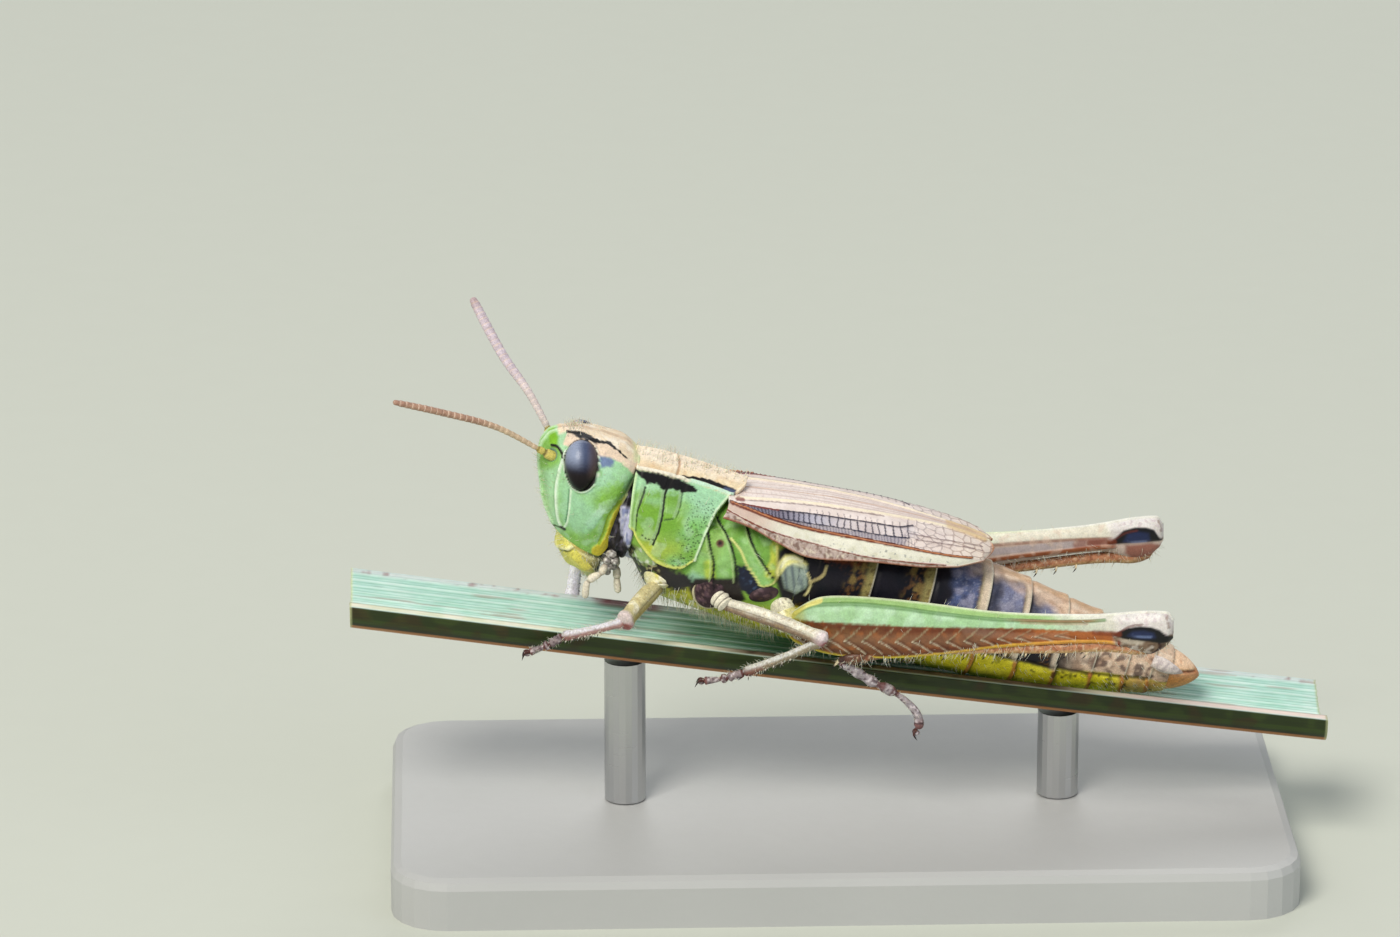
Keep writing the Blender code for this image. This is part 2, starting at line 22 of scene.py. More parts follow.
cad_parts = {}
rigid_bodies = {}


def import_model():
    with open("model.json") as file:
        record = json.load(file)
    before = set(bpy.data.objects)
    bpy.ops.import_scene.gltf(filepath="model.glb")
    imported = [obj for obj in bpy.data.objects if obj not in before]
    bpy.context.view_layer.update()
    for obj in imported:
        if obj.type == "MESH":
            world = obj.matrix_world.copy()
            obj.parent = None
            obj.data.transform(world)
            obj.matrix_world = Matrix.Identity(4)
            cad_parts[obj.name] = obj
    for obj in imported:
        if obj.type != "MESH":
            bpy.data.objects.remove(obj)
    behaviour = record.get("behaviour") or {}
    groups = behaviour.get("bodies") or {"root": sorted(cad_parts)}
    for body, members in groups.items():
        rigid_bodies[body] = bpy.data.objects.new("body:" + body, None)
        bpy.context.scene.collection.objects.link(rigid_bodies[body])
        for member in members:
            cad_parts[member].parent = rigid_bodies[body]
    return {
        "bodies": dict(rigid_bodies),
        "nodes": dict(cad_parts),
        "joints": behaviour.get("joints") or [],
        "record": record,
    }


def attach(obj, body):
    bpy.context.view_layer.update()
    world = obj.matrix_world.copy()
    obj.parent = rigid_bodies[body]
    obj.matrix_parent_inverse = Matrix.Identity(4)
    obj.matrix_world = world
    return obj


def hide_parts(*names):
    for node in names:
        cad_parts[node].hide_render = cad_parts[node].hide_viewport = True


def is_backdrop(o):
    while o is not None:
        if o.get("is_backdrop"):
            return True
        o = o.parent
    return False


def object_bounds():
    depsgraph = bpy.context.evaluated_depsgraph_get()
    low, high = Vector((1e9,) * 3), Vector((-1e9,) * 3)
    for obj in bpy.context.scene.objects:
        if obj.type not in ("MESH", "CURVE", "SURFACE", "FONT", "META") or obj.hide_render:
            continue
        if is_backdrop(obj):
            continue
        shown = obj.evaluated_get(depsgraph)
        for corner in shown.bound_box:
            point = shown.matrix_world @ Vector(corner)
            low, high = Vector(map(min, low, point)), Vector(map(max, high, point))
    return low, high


LOG = logging.getLogger("grasshopper")
Array = np.ndarray
Path = tuple[tuple[float, ...], ...]
Form = Callable[[Array, Array], Array]

MM = 0.001
SIDES = {"left": -1.0, "right": 1.0}
SEED = 11

BODY_ORIGIN = (-5.73, 0.0, 10.45)
BODY_PITCH = 16.5


class Frame(Enum):
    """The frame that a piece is shaped in."""

    BODY = "body"
    HEAD = "head"
    WORLD = "world"

    @property
    def matrix(self) -> Matrix:
        """The move from this frame, in millimetres, to the model's frame, in metres."""
        shift = Matrix.Translation(Vector(BODY_ORIGIN))
        turns = {Frame.BODY: shift @ Matrix.Rotation(radians(BODY_PITCH), 4, "Y"), Frame.HEAD: shift,
            Frame.WORLD: Matrix.Identity(4)}
        return Matrix.Scale(MM, 4) @ turns[self]


# The coordinates of a surface's points that markings are placed by: along its frame, away from its
# middle, up, along its own length, round its girth, and the height less what the width takes away.
ALONG, AWAY, UP, LENGTH, GIRTH, SLANT = range(6)
WIDTH_TAKES = 0.345
# Size and seed of the noise that ragged edges wander by.
FINE_WANDER = (0.09, 3.1)
COARSE_WANDER = (0.42, 7.7)


class Plane(Enum):
    """Which two or three coordinates a marking is drawn in."""

    SIDE = (ALONG, UP)
    TOP = (ALONG, AWAY)
    FRONT = (AWAY, UP)
    SPACE = (ALONG, AWAY, UP)
    SHARES = (LENGTH, GIRTH)
    OBLIQUE = (ALONG, SLANT)


# ---------------------------------------------------------------- numbers


def linear(hex_colour: str) -> Array:
    """Turn an sRGB hex colour into linear light."""
    channels = np.array([int(hex_colour[i:i + 2], 16) / 255 for i in (0, 2, 4)])
    return np.where(channels <= 0.04045, channels / 12.92, ((channels + 0.055) / 1.055) ** 2.4)


def smooth(share: Array | float) -> Array:
    """Ease a share from 0 to 1, held at both ends."""
    held = np.clip(share, 0.0, 1.0)
    return held * held * (3 - 2 * held)


def spline(stations: Path, places: Array | float) -> Array:
    """Read a Catmull-Rom curve through stations.

    Args:
        stations: tuples whose first number is a place and whose others are values there.
        places: where to read.

    Returns:
        One row of values per place.
    """
    table = np.array(stations, float)
    places = np.clip(np.atleast_1d(places), table[0, 0], table[-1, 0])
    i = np.clip(np.searchsorted(table[:, 0], places, "right") - 1, 0, len(table) - 2)
    t = ((places - table[i, 0]) / (table[i + 1, 0] - table[i, 0]))[:, None]
    p0, p1 = table[np.maximum(i - 1, 0), 1:], table[i, 1:]
    p2, p3 = table[i + 1, 1:], table[np.minimum(i + 2, len(table) - 1), 1:]
    return 0.5 * (2 * p1 + (p2 - p0) * t + (2 * p0 - 5 * p1 + 4 * p2 - p3) * t ** 2 +
        (3 * p1 - p0 - 3 * p2 + p3) * t ** 3)


def curved(path: Path | Array, steps: int = 6) -> Array:
    """A smooth line through points, as many short straight ones."""
    if len(path) < 3:
        return np.array(path, float)
    numbered = tuple((float(i), *point) for i, point in enumerate(path))
    return spline(numbered, np.linspace(0, len(path) - 1, (len(path) - 1) * steps + 1))


def resized(profile: Path, scale: float) -> Path:
    """A tube's profile from (share, width, height) or (share, radius) stations, scaled."""
    return tuple((share, sizes[0] * scale, sizes[-1] * scale) for share, *sizes in profile)


def mirrored(path: Path, side: float) -> Path:
    """A path drawn on the right, on a given side."""
    return tuple((x, y * side, z) for x, y, z in path)


def reach(spots: Array, line: Array) -> tuple[Array, Array]:
    """Distance from each spot to a line, and how far along the line the nearest point is."""
    lengths = np.linalg.norm(np.diff(line, axis=0), axis=1)
    starts = np.concatenate(([0.0], np.cumsum(lengths)))
    nearest = np.full(len(spots), np.inf)
    along = np.zeros(len(spots))
    for start, end, before, length in zip(line[:-1], line[1:], starts[:-1], lengths):
        step = end - start
        t = np.clip((spots - start) @ step / max(length * length, 1e-12), 0, 1)
        distance = np.linalg.norm(spots - start - t[:, None] * step, axis=1)
        closer = distance < nearest
        nearest = np.where(closer, distance, nearest)
        along = np.where(closer, before + t * length, along)
    return nearest, along / max(starts[-1], 1e-12)


def mottle(places: Array, size: float, seed: float) -> Array:
    """Repeatable noise, about -1 to 1, with blobs of a given size in millimetres."""
    shift = Vector((seed, seed * 1.7, seed * 0.6))
    return 1.6 * np.array([noise.noise(Vector(p) / size + shift) for p in places])


def cell_walls(spots: Array, size: tuple[float, float], random: np.random.Generator) -> Array:
    """How far points on a plane are from the walls of uneven cells, counted in cells."""
    places = (spots - spots.min(axis=0)) / size
    counts = np.ceil(places.max(axis=0)).astype(int) + 1
    grid = np.stack(np.meshgrid(*(np.arange(n) for n in counts), indexing="ij"), -1).reshape(-1, 2)
    centres = grid + random.uniform(0.12, 0.88, grid.shape)
    distance = np.linalg.norm(places[:, None] - centres[None], axis=2)
    nearest, second = np.partition(distance, 1, axis=1)[:, :2].T
    return (second - nearest) / 2


def around(values: Array, centre: float, soft: float, half: float = 0.0) -> Array:
    """A share of 1 within half of a centre, fading over soft on both sides."""
    return 1 - smooth((np.abs(values - centre) - half) / soft)


def squircle(angle: Array, power: Array | float) -> tuple[Array, Array]:
    """Points of the unit superellipse at the given angles."""
    c, s = np.cos(angle), np.sin(angle)
    return np.sign(c) * np.abs(c) ** (2 / power), np.sign(s) * np.abs(s) ** (2 / power)


# ---------------------------------------------------------------- meshes


def turn_outwards(bm: bmesh.types.BMesh, inner: Vector | None = None) -> None:
    """Make the faces point outwards, or away from an inner point where the surface is open."""
    bmesh.ops.recalc_face_normals(bm, faces=bm.faces)
    if inner is not None:
        facing = sum((f.calc_center_median() - inner).dot(f.normal) * f.calc_area() for f in bm.faces)
        if facing < 0:
            bmesh.ops.reverse_faces(bm, faces=bm.faces)


def warped_grid(rows: int, columns: int, form: Form, inner: Vector | None = None) -> bmesh.types.BMesh:
    """Bend a flat grid into a surface, and join edges and poles that meet.

    Args:
        rows: faces along the first direction.
        columns: faces along the second direction.
        form: gives the points, in millimetres, for shares u and v from 0 to 1.
        inner: a point behind the surface, if it stays open; otherwise its ends are closed.

    Returns:
        The surface, with each point's shares in its float layers "u" and "v".
    """
    bm = bmesh.new()
    bmesh.ops.create_grid(bm, x_segments=rows, y_segments=columns, size=0.5)
    shares = np.array([v.co[:2] for v in bm.verts]) + 0.5
    u_layer = bm.verts.layers.float.new("u")
    v_layer = bm.verts.layers.float.new("v")
    for vert, share, place in zip(bm.verts, shares, form(shares[:, 0], shares[:, 1])):
        vert[u_layer], vert[v_layer] = share
        vert.co = place
    bmesh.ops.remove_doubles(bm, verts=bm.verts, dist=2e-4)
    bmesh.ops.dissolve_degenerate(bm, edges=bm.edges, dist=1e-5)
    if inner is None:
        rim = [e for e in bm.edges if e.is_boundary]
        if rim:
            bmesh.ops.holes_fill(bm, edges=rim, sides=0)
    turn_outwards(bm, inner)
    return bm


def tube(path: Path | Array, profile: Path, rows: int, sides: int, power: float = 2.0,
        up: tuple[float, float, float] = (0.0, 0.0, 1.0)) -> bmesh.types.BMesh:
    """A tube along a smooth line; v runs round it from its underside over its top.

    Args:
        path: the points that it follows, in millimetres.
        profile: (share along, half width, half height) stations.
        rows: faces along it.
        sides: faces round it.
        power: roundness of its section, 2 for an ellipse.
        up: the direction that its top faces.

    Returns:
        The closed tube.
    """
    line = curved(path, 12)
    lengths = np.concatenate(([0.0], np.cumsum(np.linalg.norm(np.diff(line, axis=0), axis=1))))
    at = np.linspace(0, lengths[-1], rows + 1)
    centres = np.column_stack([np.interp(at, lengths, line[:, k]) for k in range(3)])
    forward = np.gradient(centres, axis=0)
    forward /= np.linalg.norm(forward, axis=1)[:, None]
    across = np.cross(forward, np.array(up))
    across /= np.linalg.norm(across, axis=1)[:, None]
    above = np.cross(across, forward)
    sizes = spline(profile, np.linspace(0, 1, rows + 1))

    def form(u: Array, v: Array) -> Array:
        """Points of the tube."""
        i = np.rint(u * rows).astype(int)
        c, s = squircle(2 * pi * v - pi / 2, power)
        return (centres[i] + across[i] * (c * sizes[i, 0])[:, None] + above[i] * (s * sizes[i, 1])[:, None])

    return warped_grid(rows, sides, form)


def ball(centre: Path, radii: tuple[float, float, float], turn: Matrix | None = None, segments: int = 32,
        rings: int = 20) -> bmesh.types.BMesh:
    """An ellipsoid, turned about its own centre; u runs round it and v from pole to pole."""
    bm = bmesh.new()
    bmesh.ops.create_uvsphere(bm, u_segments=segments, v_segments=rings, radius=1.0)
    u_layer = bm.verts.layers.float.new("u")
    v_layer = bm.verts.layers.float.new("v")
    for vert in bm.verts:
        vert[u_layer] = 0.5 + np.arctan2(vert.co.y, vert.co.x) / (2 * pi)
        vert[v_layer] = 0.5 + vert.co.z / 2
    matrix = Matrix.Translation(Vector(centre)) @ (turn or Matrix.Identity(3)).to_4x4()
    bmesh.ops.transform(bm, matrix=matrix @ Matrix.Diagonal((*radii, 1.0)), verts=bm.verts)
    return bm


def set_apart(bm: bmesh.types.BMesh, number: float) -> bmesh.types.BMesh:
    """Raise a body's u, which tells it from the others once they are joined."""
    layer = bm.verts.layers.float["u"]
    for vert in bm.verts:
        vert[layer] += number
    return bm


def slice_off(bm: bmesh.types.BMesh, point: tuple[float, ...], normal: tuple[float, ...]) -> None:
    """Cut a closed body with a plane, drop what the normal points to, and close it."""
    parts = bm.verts[:] + bm.edges[:] + bm.faces[:]
    bmesh.ops.bisect_plane(bm, geom=parts, plane_co=point, plane_no=normal, clear_outer=True)
    rim = [e for e in bm.edges if e.is_boundary]
    bmesh.ops.edgeloop_fill(bm, edges=rim)


def join(*pieces: bmesh.types.BMesh) -> bmesh.types.BMesh:
    """Put several bodies in the first one's mesh."""
    whole = pieces[0]
    for piece in pieces[1:]:
        mesh = bpy.data.meshes.new("joined")
        piece.to_mesh(mesh)
        piece.free()
        whole.from_mesh(mesh)
        bpy.data.meshes.remove(mesh)
    return whole


class Canvas:
    """Paint and relief for the points of one surface, gathered before it is placed."""

    def __init__(self, bm: bmesh.types.BMesh, base: str, spread: tuple[float, float] = (1.0, 1.0),
            view: Callable[[Array], Array] | None = None, shine: float = 0.42) -> None:
        """Read the surface's points.

        Args:
            bm: the surface, in millimetres.
            base: its ground colour.
            spread: its length and girth, so that markings in its shares are in millimetres.
            view: turns its points into coordinates of its own to be marked in.
            shine: its ground roughness.
        """
        bm.normal_update()
        bm.verts.ensure_lookup_table()
        self.bm = bm
        u_layer, v_layer = bm.verts.layers.float["u"], bm.verts.layers.float["v"]
        self.place = np.array([v.co[:] for v in bm.verts])
        self.normal = np.array([v.normal[:] for v in bm.verts])
        shares = np.array([(v[u_layer], v[v_layer]) for v in bm.verts]) * spread
        own = view(self.place) if view else self.place
        away = np.abs(own[:, 1])
        self.spots = np.column_stack((own[:, 0], away, own[:, 2], shares, own[:, 2] - WIDTH_TAKES * away))
        if view:
            self.spots[:, AWAY] = own[:, 1]
        self.colour = np.tile(linear(base), (len(self.place), 1))
        self.lift = np.zeros(len(self.place))
        self.shine = np.full(len(self.place), shine)
        self.pits = np.zeros(len(self.place))
        self.fine = mottle(self.place, *FINE_WANDER)
        self.coarse = mottle(self.place, *COARSE_WANDER)

    def near(self, path: Path, width: float | tuple[float, float], soft: float = 0.03,
            plane: Plane = Plane.SIDE, ragged: float = 0.0) -> Array:
        """How far each point belongs to a line.

        Args:
            path: the line's points; a smooth line goes through them.
            width: its width, or its widths at start and end.
            soft: how far it fades at its edges.
            plane: the coordinates that it is drawn in.
            ragged: how far its edges wander.

        Returns:
            Shares from 0 to 1.
        """
        distance, along = reach(self.spots[:, plane.value], curved(path))
        first, last = width if isinstance(width, tuple) else (width, width)
        return 1 - smooth((distance + ragged * self.fine - (first + (last - first) * along) / 2) / soft)

    def within(self, outline: Path, soft: float = 0.06, plane: Plane = Plane.SIDE,
            ragged: float = 0.0) -> Array:
        """How far each point lies inside an outline, fading over soft on both sides of it."""
        spots = self.spots[:, plane.value]
        corners = np.array(outline + outline[:1], float)
        inside = np.zeros(len(spots), bool)
        for (x0, y0), (x1, y1) in zip(corners[:-1], corners[1:]):
            if y0 == y1:
                continue
            crossing = (y0 > spots[:, 1]) != (y1 > spots[:, 1])
            inside ^= crossing & (spots[:, 0] < (x1 - x0) * (spots[:, 1] - y0) / (y1 - y0) + x0)
        distance, _ = reach(spots, corners)
        return smooth(0.5 + (np.where(inside, distance, -distance) + ragged * self.fine) / (2 * soft))

    def ramp(self, axis: int, start: float, end: float, ragged: float = 0.0) -> Array:
        """A share that grows from 0 at one value of a coordinate to 1 at another."""
        return smooth((self.spots[:, axis] + ragged * self.coarse - start) / (end - start))

    def over(self) -> Array:
        """A share that grows from 0 under a tube to 1 on top of it."""
        return 0.5 - 0.5 * np.cos(2 * pi * self.spots[:, GIRTH])

    def paint(self, share: Array | float, hex_colour: str, opacity: float = 1.0) -> None:
        """Lay a colour over the surface, as thickly as the shares say."""
        cover = np.broadcast_to(np.clip(np.asarray(share) * opacity, 0, 1), self.lift.shape)[:, None]
        self.colour = self.colour * (1 - cover) + linear(hex_colour) * cover

    def area(self, outline: Path, hex_colour: str, opacity: float = 1.0, soft: float = 0.06,
            plane: Plane = Plane.SIDE, ragged: float = 0.0, only: Array | float = 1.0) -> None:
        """Paint inside an outline."""
        self.paint(self.within(outline, soft, plane, ragged) * only, hex_colour, opacity)

    def line(self, path: Path, width: float | tuple[float, float], hex_colour: str, soft: float = 0.03,
            plane: Plane = Plane.SIDE, ragged: float = 0.0, lift: float = 0.0, opacity: float = 1.0,
            only: Array | float = 1.0) -> None:
        """Paint a line and raise or sink the surface along it."""
        share = self.near(path, width, soft, plane, ragged) * only
        self.paint(share, hex_colour, opacity)
        self.lift = self.lift + share * lift

    def vary(self, hex_colour: str, size: float, opacity: float, seed: float, level: float = 0.0,
            only: Array | float = 1.0) -> None:
        """Dab a colour on in blobs of a given size, where the noise is above a level."""
        self.paint(smooth((mottle(self.place, size, seed) - level) / 0.5) * only, hex_colour, opacity)

    def finish(self) -> bmesh.types.BMesh:
        """Write the relief into the points, and paint, shine and pits into their layers."""
        bm = self.bm
        paint = bm.verts.layers.float_color.new("paint")
        shine = bm.verts.layers.float.new("shine")
        pits = bm.verts.layers.float.new("pits")
        moved = self.place + self.normal * self.lift[:, None]
        for vert, place, colour, gloss, pit in zip(bm.verts, moved, self.colour, self.shine, self.pits):
            vert.co = place
            vert[paint] = (*colour, 1.0)
            vert[shine] = gloss
            vert[pits] = pit
        return bm


def place(bm: bmesh.types.BMesh, name: str, frame: Frame, material: bpy.types.Material, slot: str,
        replaced: Iterable[str] = (), shell: float = 0.0) -> bpy.types.Object:
    """Turn a finished surface into a piece of the model.

    Args:
        bm: the surface, in millimetres in its frame.
        name: the piece's name.
        frame: the frame that it was shaped in.
        material: its finish.
        slot: the record's slot that the finish belongs to; not used.
        replaced: the plain nodes that it stands for.
        shell: thickness of the wall that an open surface gets, in millimetres.

    Returns:
        The piece's object, riding on the body.
    """
    bmesh.ops.transform(bm, matrix=frame.matrix, verts=bm.verts)
    mesh = bpy.data.meshes.new(name)
    bm.to_mesh(mesh)
    bm.free()
    mesh.shade_smooth()
    mesh.materials.append(material)
    piece = bpy.data.objects.new(name, mesh)
    bpy.context.scene.collection.objects.link(piece)
    if shell:
        wall = piece.modifiers.new("wall", "SOLIDIFY")
        wall.thickness = shell * MM
        wall.offset = -1.0
    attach(piece, "root")
    if replaced:
        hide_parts(*replaced)
    LOG.info("%s: %d faces", name, len(mesh.polygons))
    return piece


# ---------------------------------------------------------------- finishes


def add_node(tree: bpy.types.NodeTree, kind: str, inputs: dict[str | int, object],
        **settings: object) -> bpy.types.Node:
    """Add a node with its settings, and fill its inputs with values or links."""
    node = tree.nodes.new(kind)
    for key, value in settings.items():
        setattr(node, key, value)
    for key, value in inputs.items():
        if isinstance(value, bpy.types.NodeSocket):
            tree.links.new(value, node.inputs[key])
        else:
            node.inputs[key].default_value = value
    return node


def new_material(name: str) -> tuple[bpy.types.Material, bpy.types.NodeTree, bpy.types.NodeSocket]:
    """An empty material, its nodes, and object coordinates in millimetres."""
    material = bpy.data.materials.new(name)
    material.use_nodes = True
    tree = material.node_tree
    tree.nodes.clear()
    coords = add_node(tree, "ShaderNodeTexCoord", {})
    scale = (1 / MM, 1 / MM, 1 / MM)
    mapping = add_node(tree, "ShaderNodeMapping", {"Vector": coords.outputs["Object"], "Scale": scale})
    return material, tree, mapping.outputs["Vector"]


def close_material(tree: bpy.types.NodeTree, inputs: dict[str | int, object]) -> None:
    """Add the Principled shader and the output."""
    shader = add_node(tree, "ShaderNodeBsdfPrincipled", inputs)
    add_node(tree, "ShaderNodeOutputMaterial", {"Surface": shader.outputs["BSDF"]})


@dataclass(frozen=True)
class Cuticle:
    """Insect cuticle or leaf skin: a thin waxed layer whose pigment is laid down below it.

    Lengths are in millimetres. Paint, roughness and pits come from the piece's own points.
    """

    name: str
    grain: float = 0.045
    grain_depth: float = 0.0035
    blotch: float = 0.22
    blotch_strength: float = 0.16
    speck_strength: float = 0.1
    # Fine wrinkles hold back much of the mirrored light.
    sheen: float = 0.28
    coat: float = 0.1
    coat_roughness: float = 0.32
    glow: float = 0.06
    pit: float = 0.085
    pit_depth: float = 0.022
    stretch: tuple[float, float, float] = (1.0, 1.0, 1.0)

    def build(self) -> bpy.types.Material:
        """Make the material."""
        material, tree, millimetres = new_material(self.name)
        drawn = add_node(tree, "ShaderNodeMapping", {"Vector": millimetres, "Scale": self.stretch})
        paint = add_node(tree, "ShaderNodeAttribute", {}, attribute_name="paint")
        shine = add_node(tree, "ShaderNodeAttribute", {}, attribute_name="shine")
        pits = add_node(tree, "ShaderNodeAttribute", {}, attribute_name="pits")
        blotch = add_node(tree, "ShaderNodeTexNoise", {"Vector": drawn.outputs[0], "Scale": 1 / self.blotch,
            "Detail": 4.0, "Roughness": 0.6})
        grain = add_node(tree, "ShaderNodeTexNoise", {"Vector": drawn.outputs[0], "Scale": 1 / self.grain,
            "Detail": 2.0})
        cell = add_node(tree, "ShaderNodeTexVoronoi", {"Vector": drawn.outputs[0], "Scale": 1 / self.pit})
        hollow = add_node(tree, "ShaderNodeMapRange", {"Value": cell.outputs["Distance"], "From Min": 0.12,
            "From Max": 0.42, "To Min": 1.0, "To Max": 0.0})
        sunk = add_node(tree, "ShaderNodeMath", {0: hollow.outputs["Result"], 1: pits.outputs["Fac"]},
            operation="MULTIPLY")
        broad = add_node(tree, "ShaderNodeMapRange", {"Value": blotch.outputs["Fac"], "From Min": 0.25,
            "From Max": 0.75, "To Min": 1 - self.blotch_strength, "To Max": 1 + self.blotch_strength})
        speck = add_node(tree, "ShaderNodeMapRange", {"Value": grain.outputs["Fac"], "From Min": 0.3,
            "From Max": 0.7, "To Min": 1 - self.speck_strength, "To Max": 1 + self.speck_strength})
        both = add_node(tree, "ShaderNodeMath", {0: broad.outputs["Result"], 1: speck.outputs["Result"]},
            operation="MULTIPLY")
        shade = add_node(tree, "ShaderNodeMath", {0: sunk.outputs[0], 1: -0.45, 2: 1.0},
            operation="MULTIPLY_ADD")
        value = add_node(tree, "ShaderNodeMath", {0: both.outputs[0], 1: shade.outputs[0]},
            operation="MULTIPLY")
        colour = add_node(tree, "ShaderNodeHueSaturation", {"Color": paint.outputs["Color"],
            "Value": value.outputs[0]})
        rough = add_node(tree, "ShaderNodeMath", {0: grain.outputs["Fac"], 1: 0.2, 2: shine.outputs["Fac"]},
            operation="MULTIPLY_ADD")
        relief = add_node(tree, "ShaderNodeMath", {0: grain.outputs["Fac"], 1: self.grain_depth},
            operation="MULTIPLY")
        height = add_node(tree, "ShaderNodeMath", {0: sunk.outputs[0], 1: -self.pit_depth,
            2: relief.outputs[0]}, operation="MULTIPLY_ADD")
        bump = add_node(tree, "ShaderNodeBump", {"Height": height.outputs[0], "Distance": MM})
        close_material(tree, {"Base Color": colour.outputs["Color"], "Roughness": rough.outputs[0],
            "Normal": bump.outputs["Normal"], "IOR": 1.54, "Specular IOR Level": self.sheen,
            "Coat Weight": self.coat, "Coat Roughness": self.coat_roughness, "Subsurface Weight": self.glow,
            "Subsurface Scale": 0.25 * MM, "Subsurface Radius": (1.0, 0.8, 0.4)})
        return material


@dataclass(frozen=True)
class Cornea:
    """The compound eye's lens: clear facets over dark pigment, so it is dark with a wet shine."""

    name: str = "compound_eye_cornea"
    # Real facets are 0.02 mm across; they are drawn a little coarser so that they show.
    facet: float = 0.035
    facet_depth: float = 0.0025

    def build(self) -> bpy.types.Material:
        """Make the material."""
        material, tree, millimetres = new_material(self.name)
        paint = add_node(tree, "ShaderNodeAttribute", {}, attribute_name="paint")
        facets = add_node(tree, "ShaderNodeTexVoronoi", {"Vector": millimetres, "Scale": 1 / self.facet,
            "Randomness": 0.35})
        edges = add_node(tree, "ShaderNodeMapRange", {"Value": facets.outputs["Distance"], "From Min": 0.25,
            "From Max": 0.6, "To Min": 1.15, "To Max": 0.8})
        colour = add_node(tree, "ShaderNodeHueSaturation", {"Color": paint.outputs["Color"],
            "Value": edges.outputs["Result"]})
        bump = add_node(tree, "ShaderNodeBump", {"Height": facets.outputs["Distance"],
            "Distance": self.facet_depth * MM}, invert=True)
        close_material(tree, {"Base Color": colour.outputs["Color"], "Roughness": 0.34,
            "Normal": bump.outputs["Normal"], "IOR": 1.5, "Specular IOR Level": 0.12, "Coat Weight": 0.22,
            "Coat Roughness": 0.16})
        return material


@dataclass(frozen=True)
class Seta:
    """A bristle of clear, pale cuticle, which lights up white."""

    name: str = "seta_clear_cuticle"
    pale: str = "F7F3E2"
    dim: str = "CFC9AE"

    def build(self) -> bpy.types.Material:
        """Make the material."""
        material, tree, millimetres = new_material(self.name)
        drift = add_node(tree, "ShaderNodeTexNoise", {"Vector": millimetres, "Scale": 2.5, "Detail": 2.0})
        mix = add_node(tree, "ShaderNodeMix", {"Factor": drift.outputs["Fac"], 6: (*linear(self.pale), 1.0),
            7: (*linear(self.dim), 1.0)}, data_type="RGBA")
        close_material(tree, {"Base Color": mix.outputs[2], "Roughness": 0.4, "IOR": 1.54,
            "Subsurface Weight": 0.2, "Subsurface Scale": 0.1 * MM})
        return material


@dataclass(frozen=True)
class PaintedBoard:
    """Fibreboard sprayed with satin lacquer: an even tone with a very fine orange peel."""

    name: str = "satin_lacquered_board"
    colour: str = "B9BBBA"
    # Real orange peel is 1 to 2 mm across; on this small block it is drawn at a third of that.
    peel: float = 0.5

    def build(self) -> bpy.types.Material:
        """Make the material."""
        material, tree, millimetres = new_material(self.name)
        peel = add_node(tree, "ShaderNodeTexNoise", {"Vector": millimetres, "Scale": 1 / self.peel,
            "Detail": 3.0})
        cloud = add_node(tree, "ShaderNodeTexNoise", {"Vector": millimetres, "Scale": 0.15, "Detail": 2.0})
        tone = add_node(tree, "ShaderNodeMapRange", {"Value": cloud.outputs["Fac"], "To Min": 0.94,
            "To Max": 1.06})
        colour = add_node(tree, "ShaderNodeHueSaturation", {"Color": (*linear(self.colour), 1.0),
            "Value": tone.outputs["Result"]})
        rough = add_node(tree, "ShaderNodeMapRange", {"Value": peel.outputs["Fac"], "To Min": 0.38,
            "To Max": 0.52})
        bump = add_node(tree, "ShaderNodeBump", {"Height": peel.outputs["Fac"], "Distance": 0.01 * MM})
        close_material(tree, {"Base Color": colour.outputs["Color"], "Roughness": rough.outputs["Result"],
            "Normal": bump.outputs["Normal"], "IOR": 1.5})
        return material


@dataclass(frozen=True)
class BrushedSteel:
    """Turned stainless steel rod: fine rings round it spread its highlights sideways."""

    name: str = "turned_stainless_steel"
    colour: str = "C6C7C8"
    # Tool marks 0.08 mm apart.
    mark: float = 0.08

    def build(self) -> bpy.types.Material:
        """Make the material."""
        material, tree, millimetres = new_material(self.name)
        rings = add_node(tree, "ShaderNodeMapping", {"Vector": millimetres, "Scale": (0.05, 0.05, 1.0)})
        marks = add_node(tree, "ShaderNodeTexNoise", {"Vector": rings.outputs[0], "Scale": 1 / self.mark,
            "Detail": 2.0})
        rough = add_node(tree, "ShaderNodeMapRange", {"Value": marks.outputs["Fac"], "To Min": 0.22,
            "To Max": 0.42})
        bump = add_node(tree, "ShaderNodeBump", {"Height": marks.outputs["Fac"], "Distance": 0.004 * MM})
        close_material(tree, {"Base Color": (*linear(self.colour), 1.0), "Metallic": 1.0,
            "Roughness": rough.outputs["Result"], "Normal": bump.outputs["Normal"]})
        return material


@dataclass(frozen=True)
class StudioFloor:
    """Seamless pale paper, quite matt."""

    name: str = "pale_paper_floor"
    colour: str = "C9CEC3"

    def build(self) -> bpy.types.Material:
        """Make the material."""
        material, tree, millimetres = new_material(self.name)
        fibre = add_node(tree, "ShaderNodeTexNoise", {"Vector": millimetres, "Scale": 0.8, "Detail": 3.0})
        tone = add_node(tree, "ShaderNodeMapRange", {"Value": fibre.outputs["Fac"], "To Min": 0.99,
            "To Max": 1.01})
        colour = add_node(tree, "ShaderNodeHueSaturation", {"Color": (*linear(self.colour), 1.0),
            "Value": tone.outputs["Result"]})
        close_material(tree, {"Base Color": colour.outputs["Color"], "Roughness": 0.85})
        return material


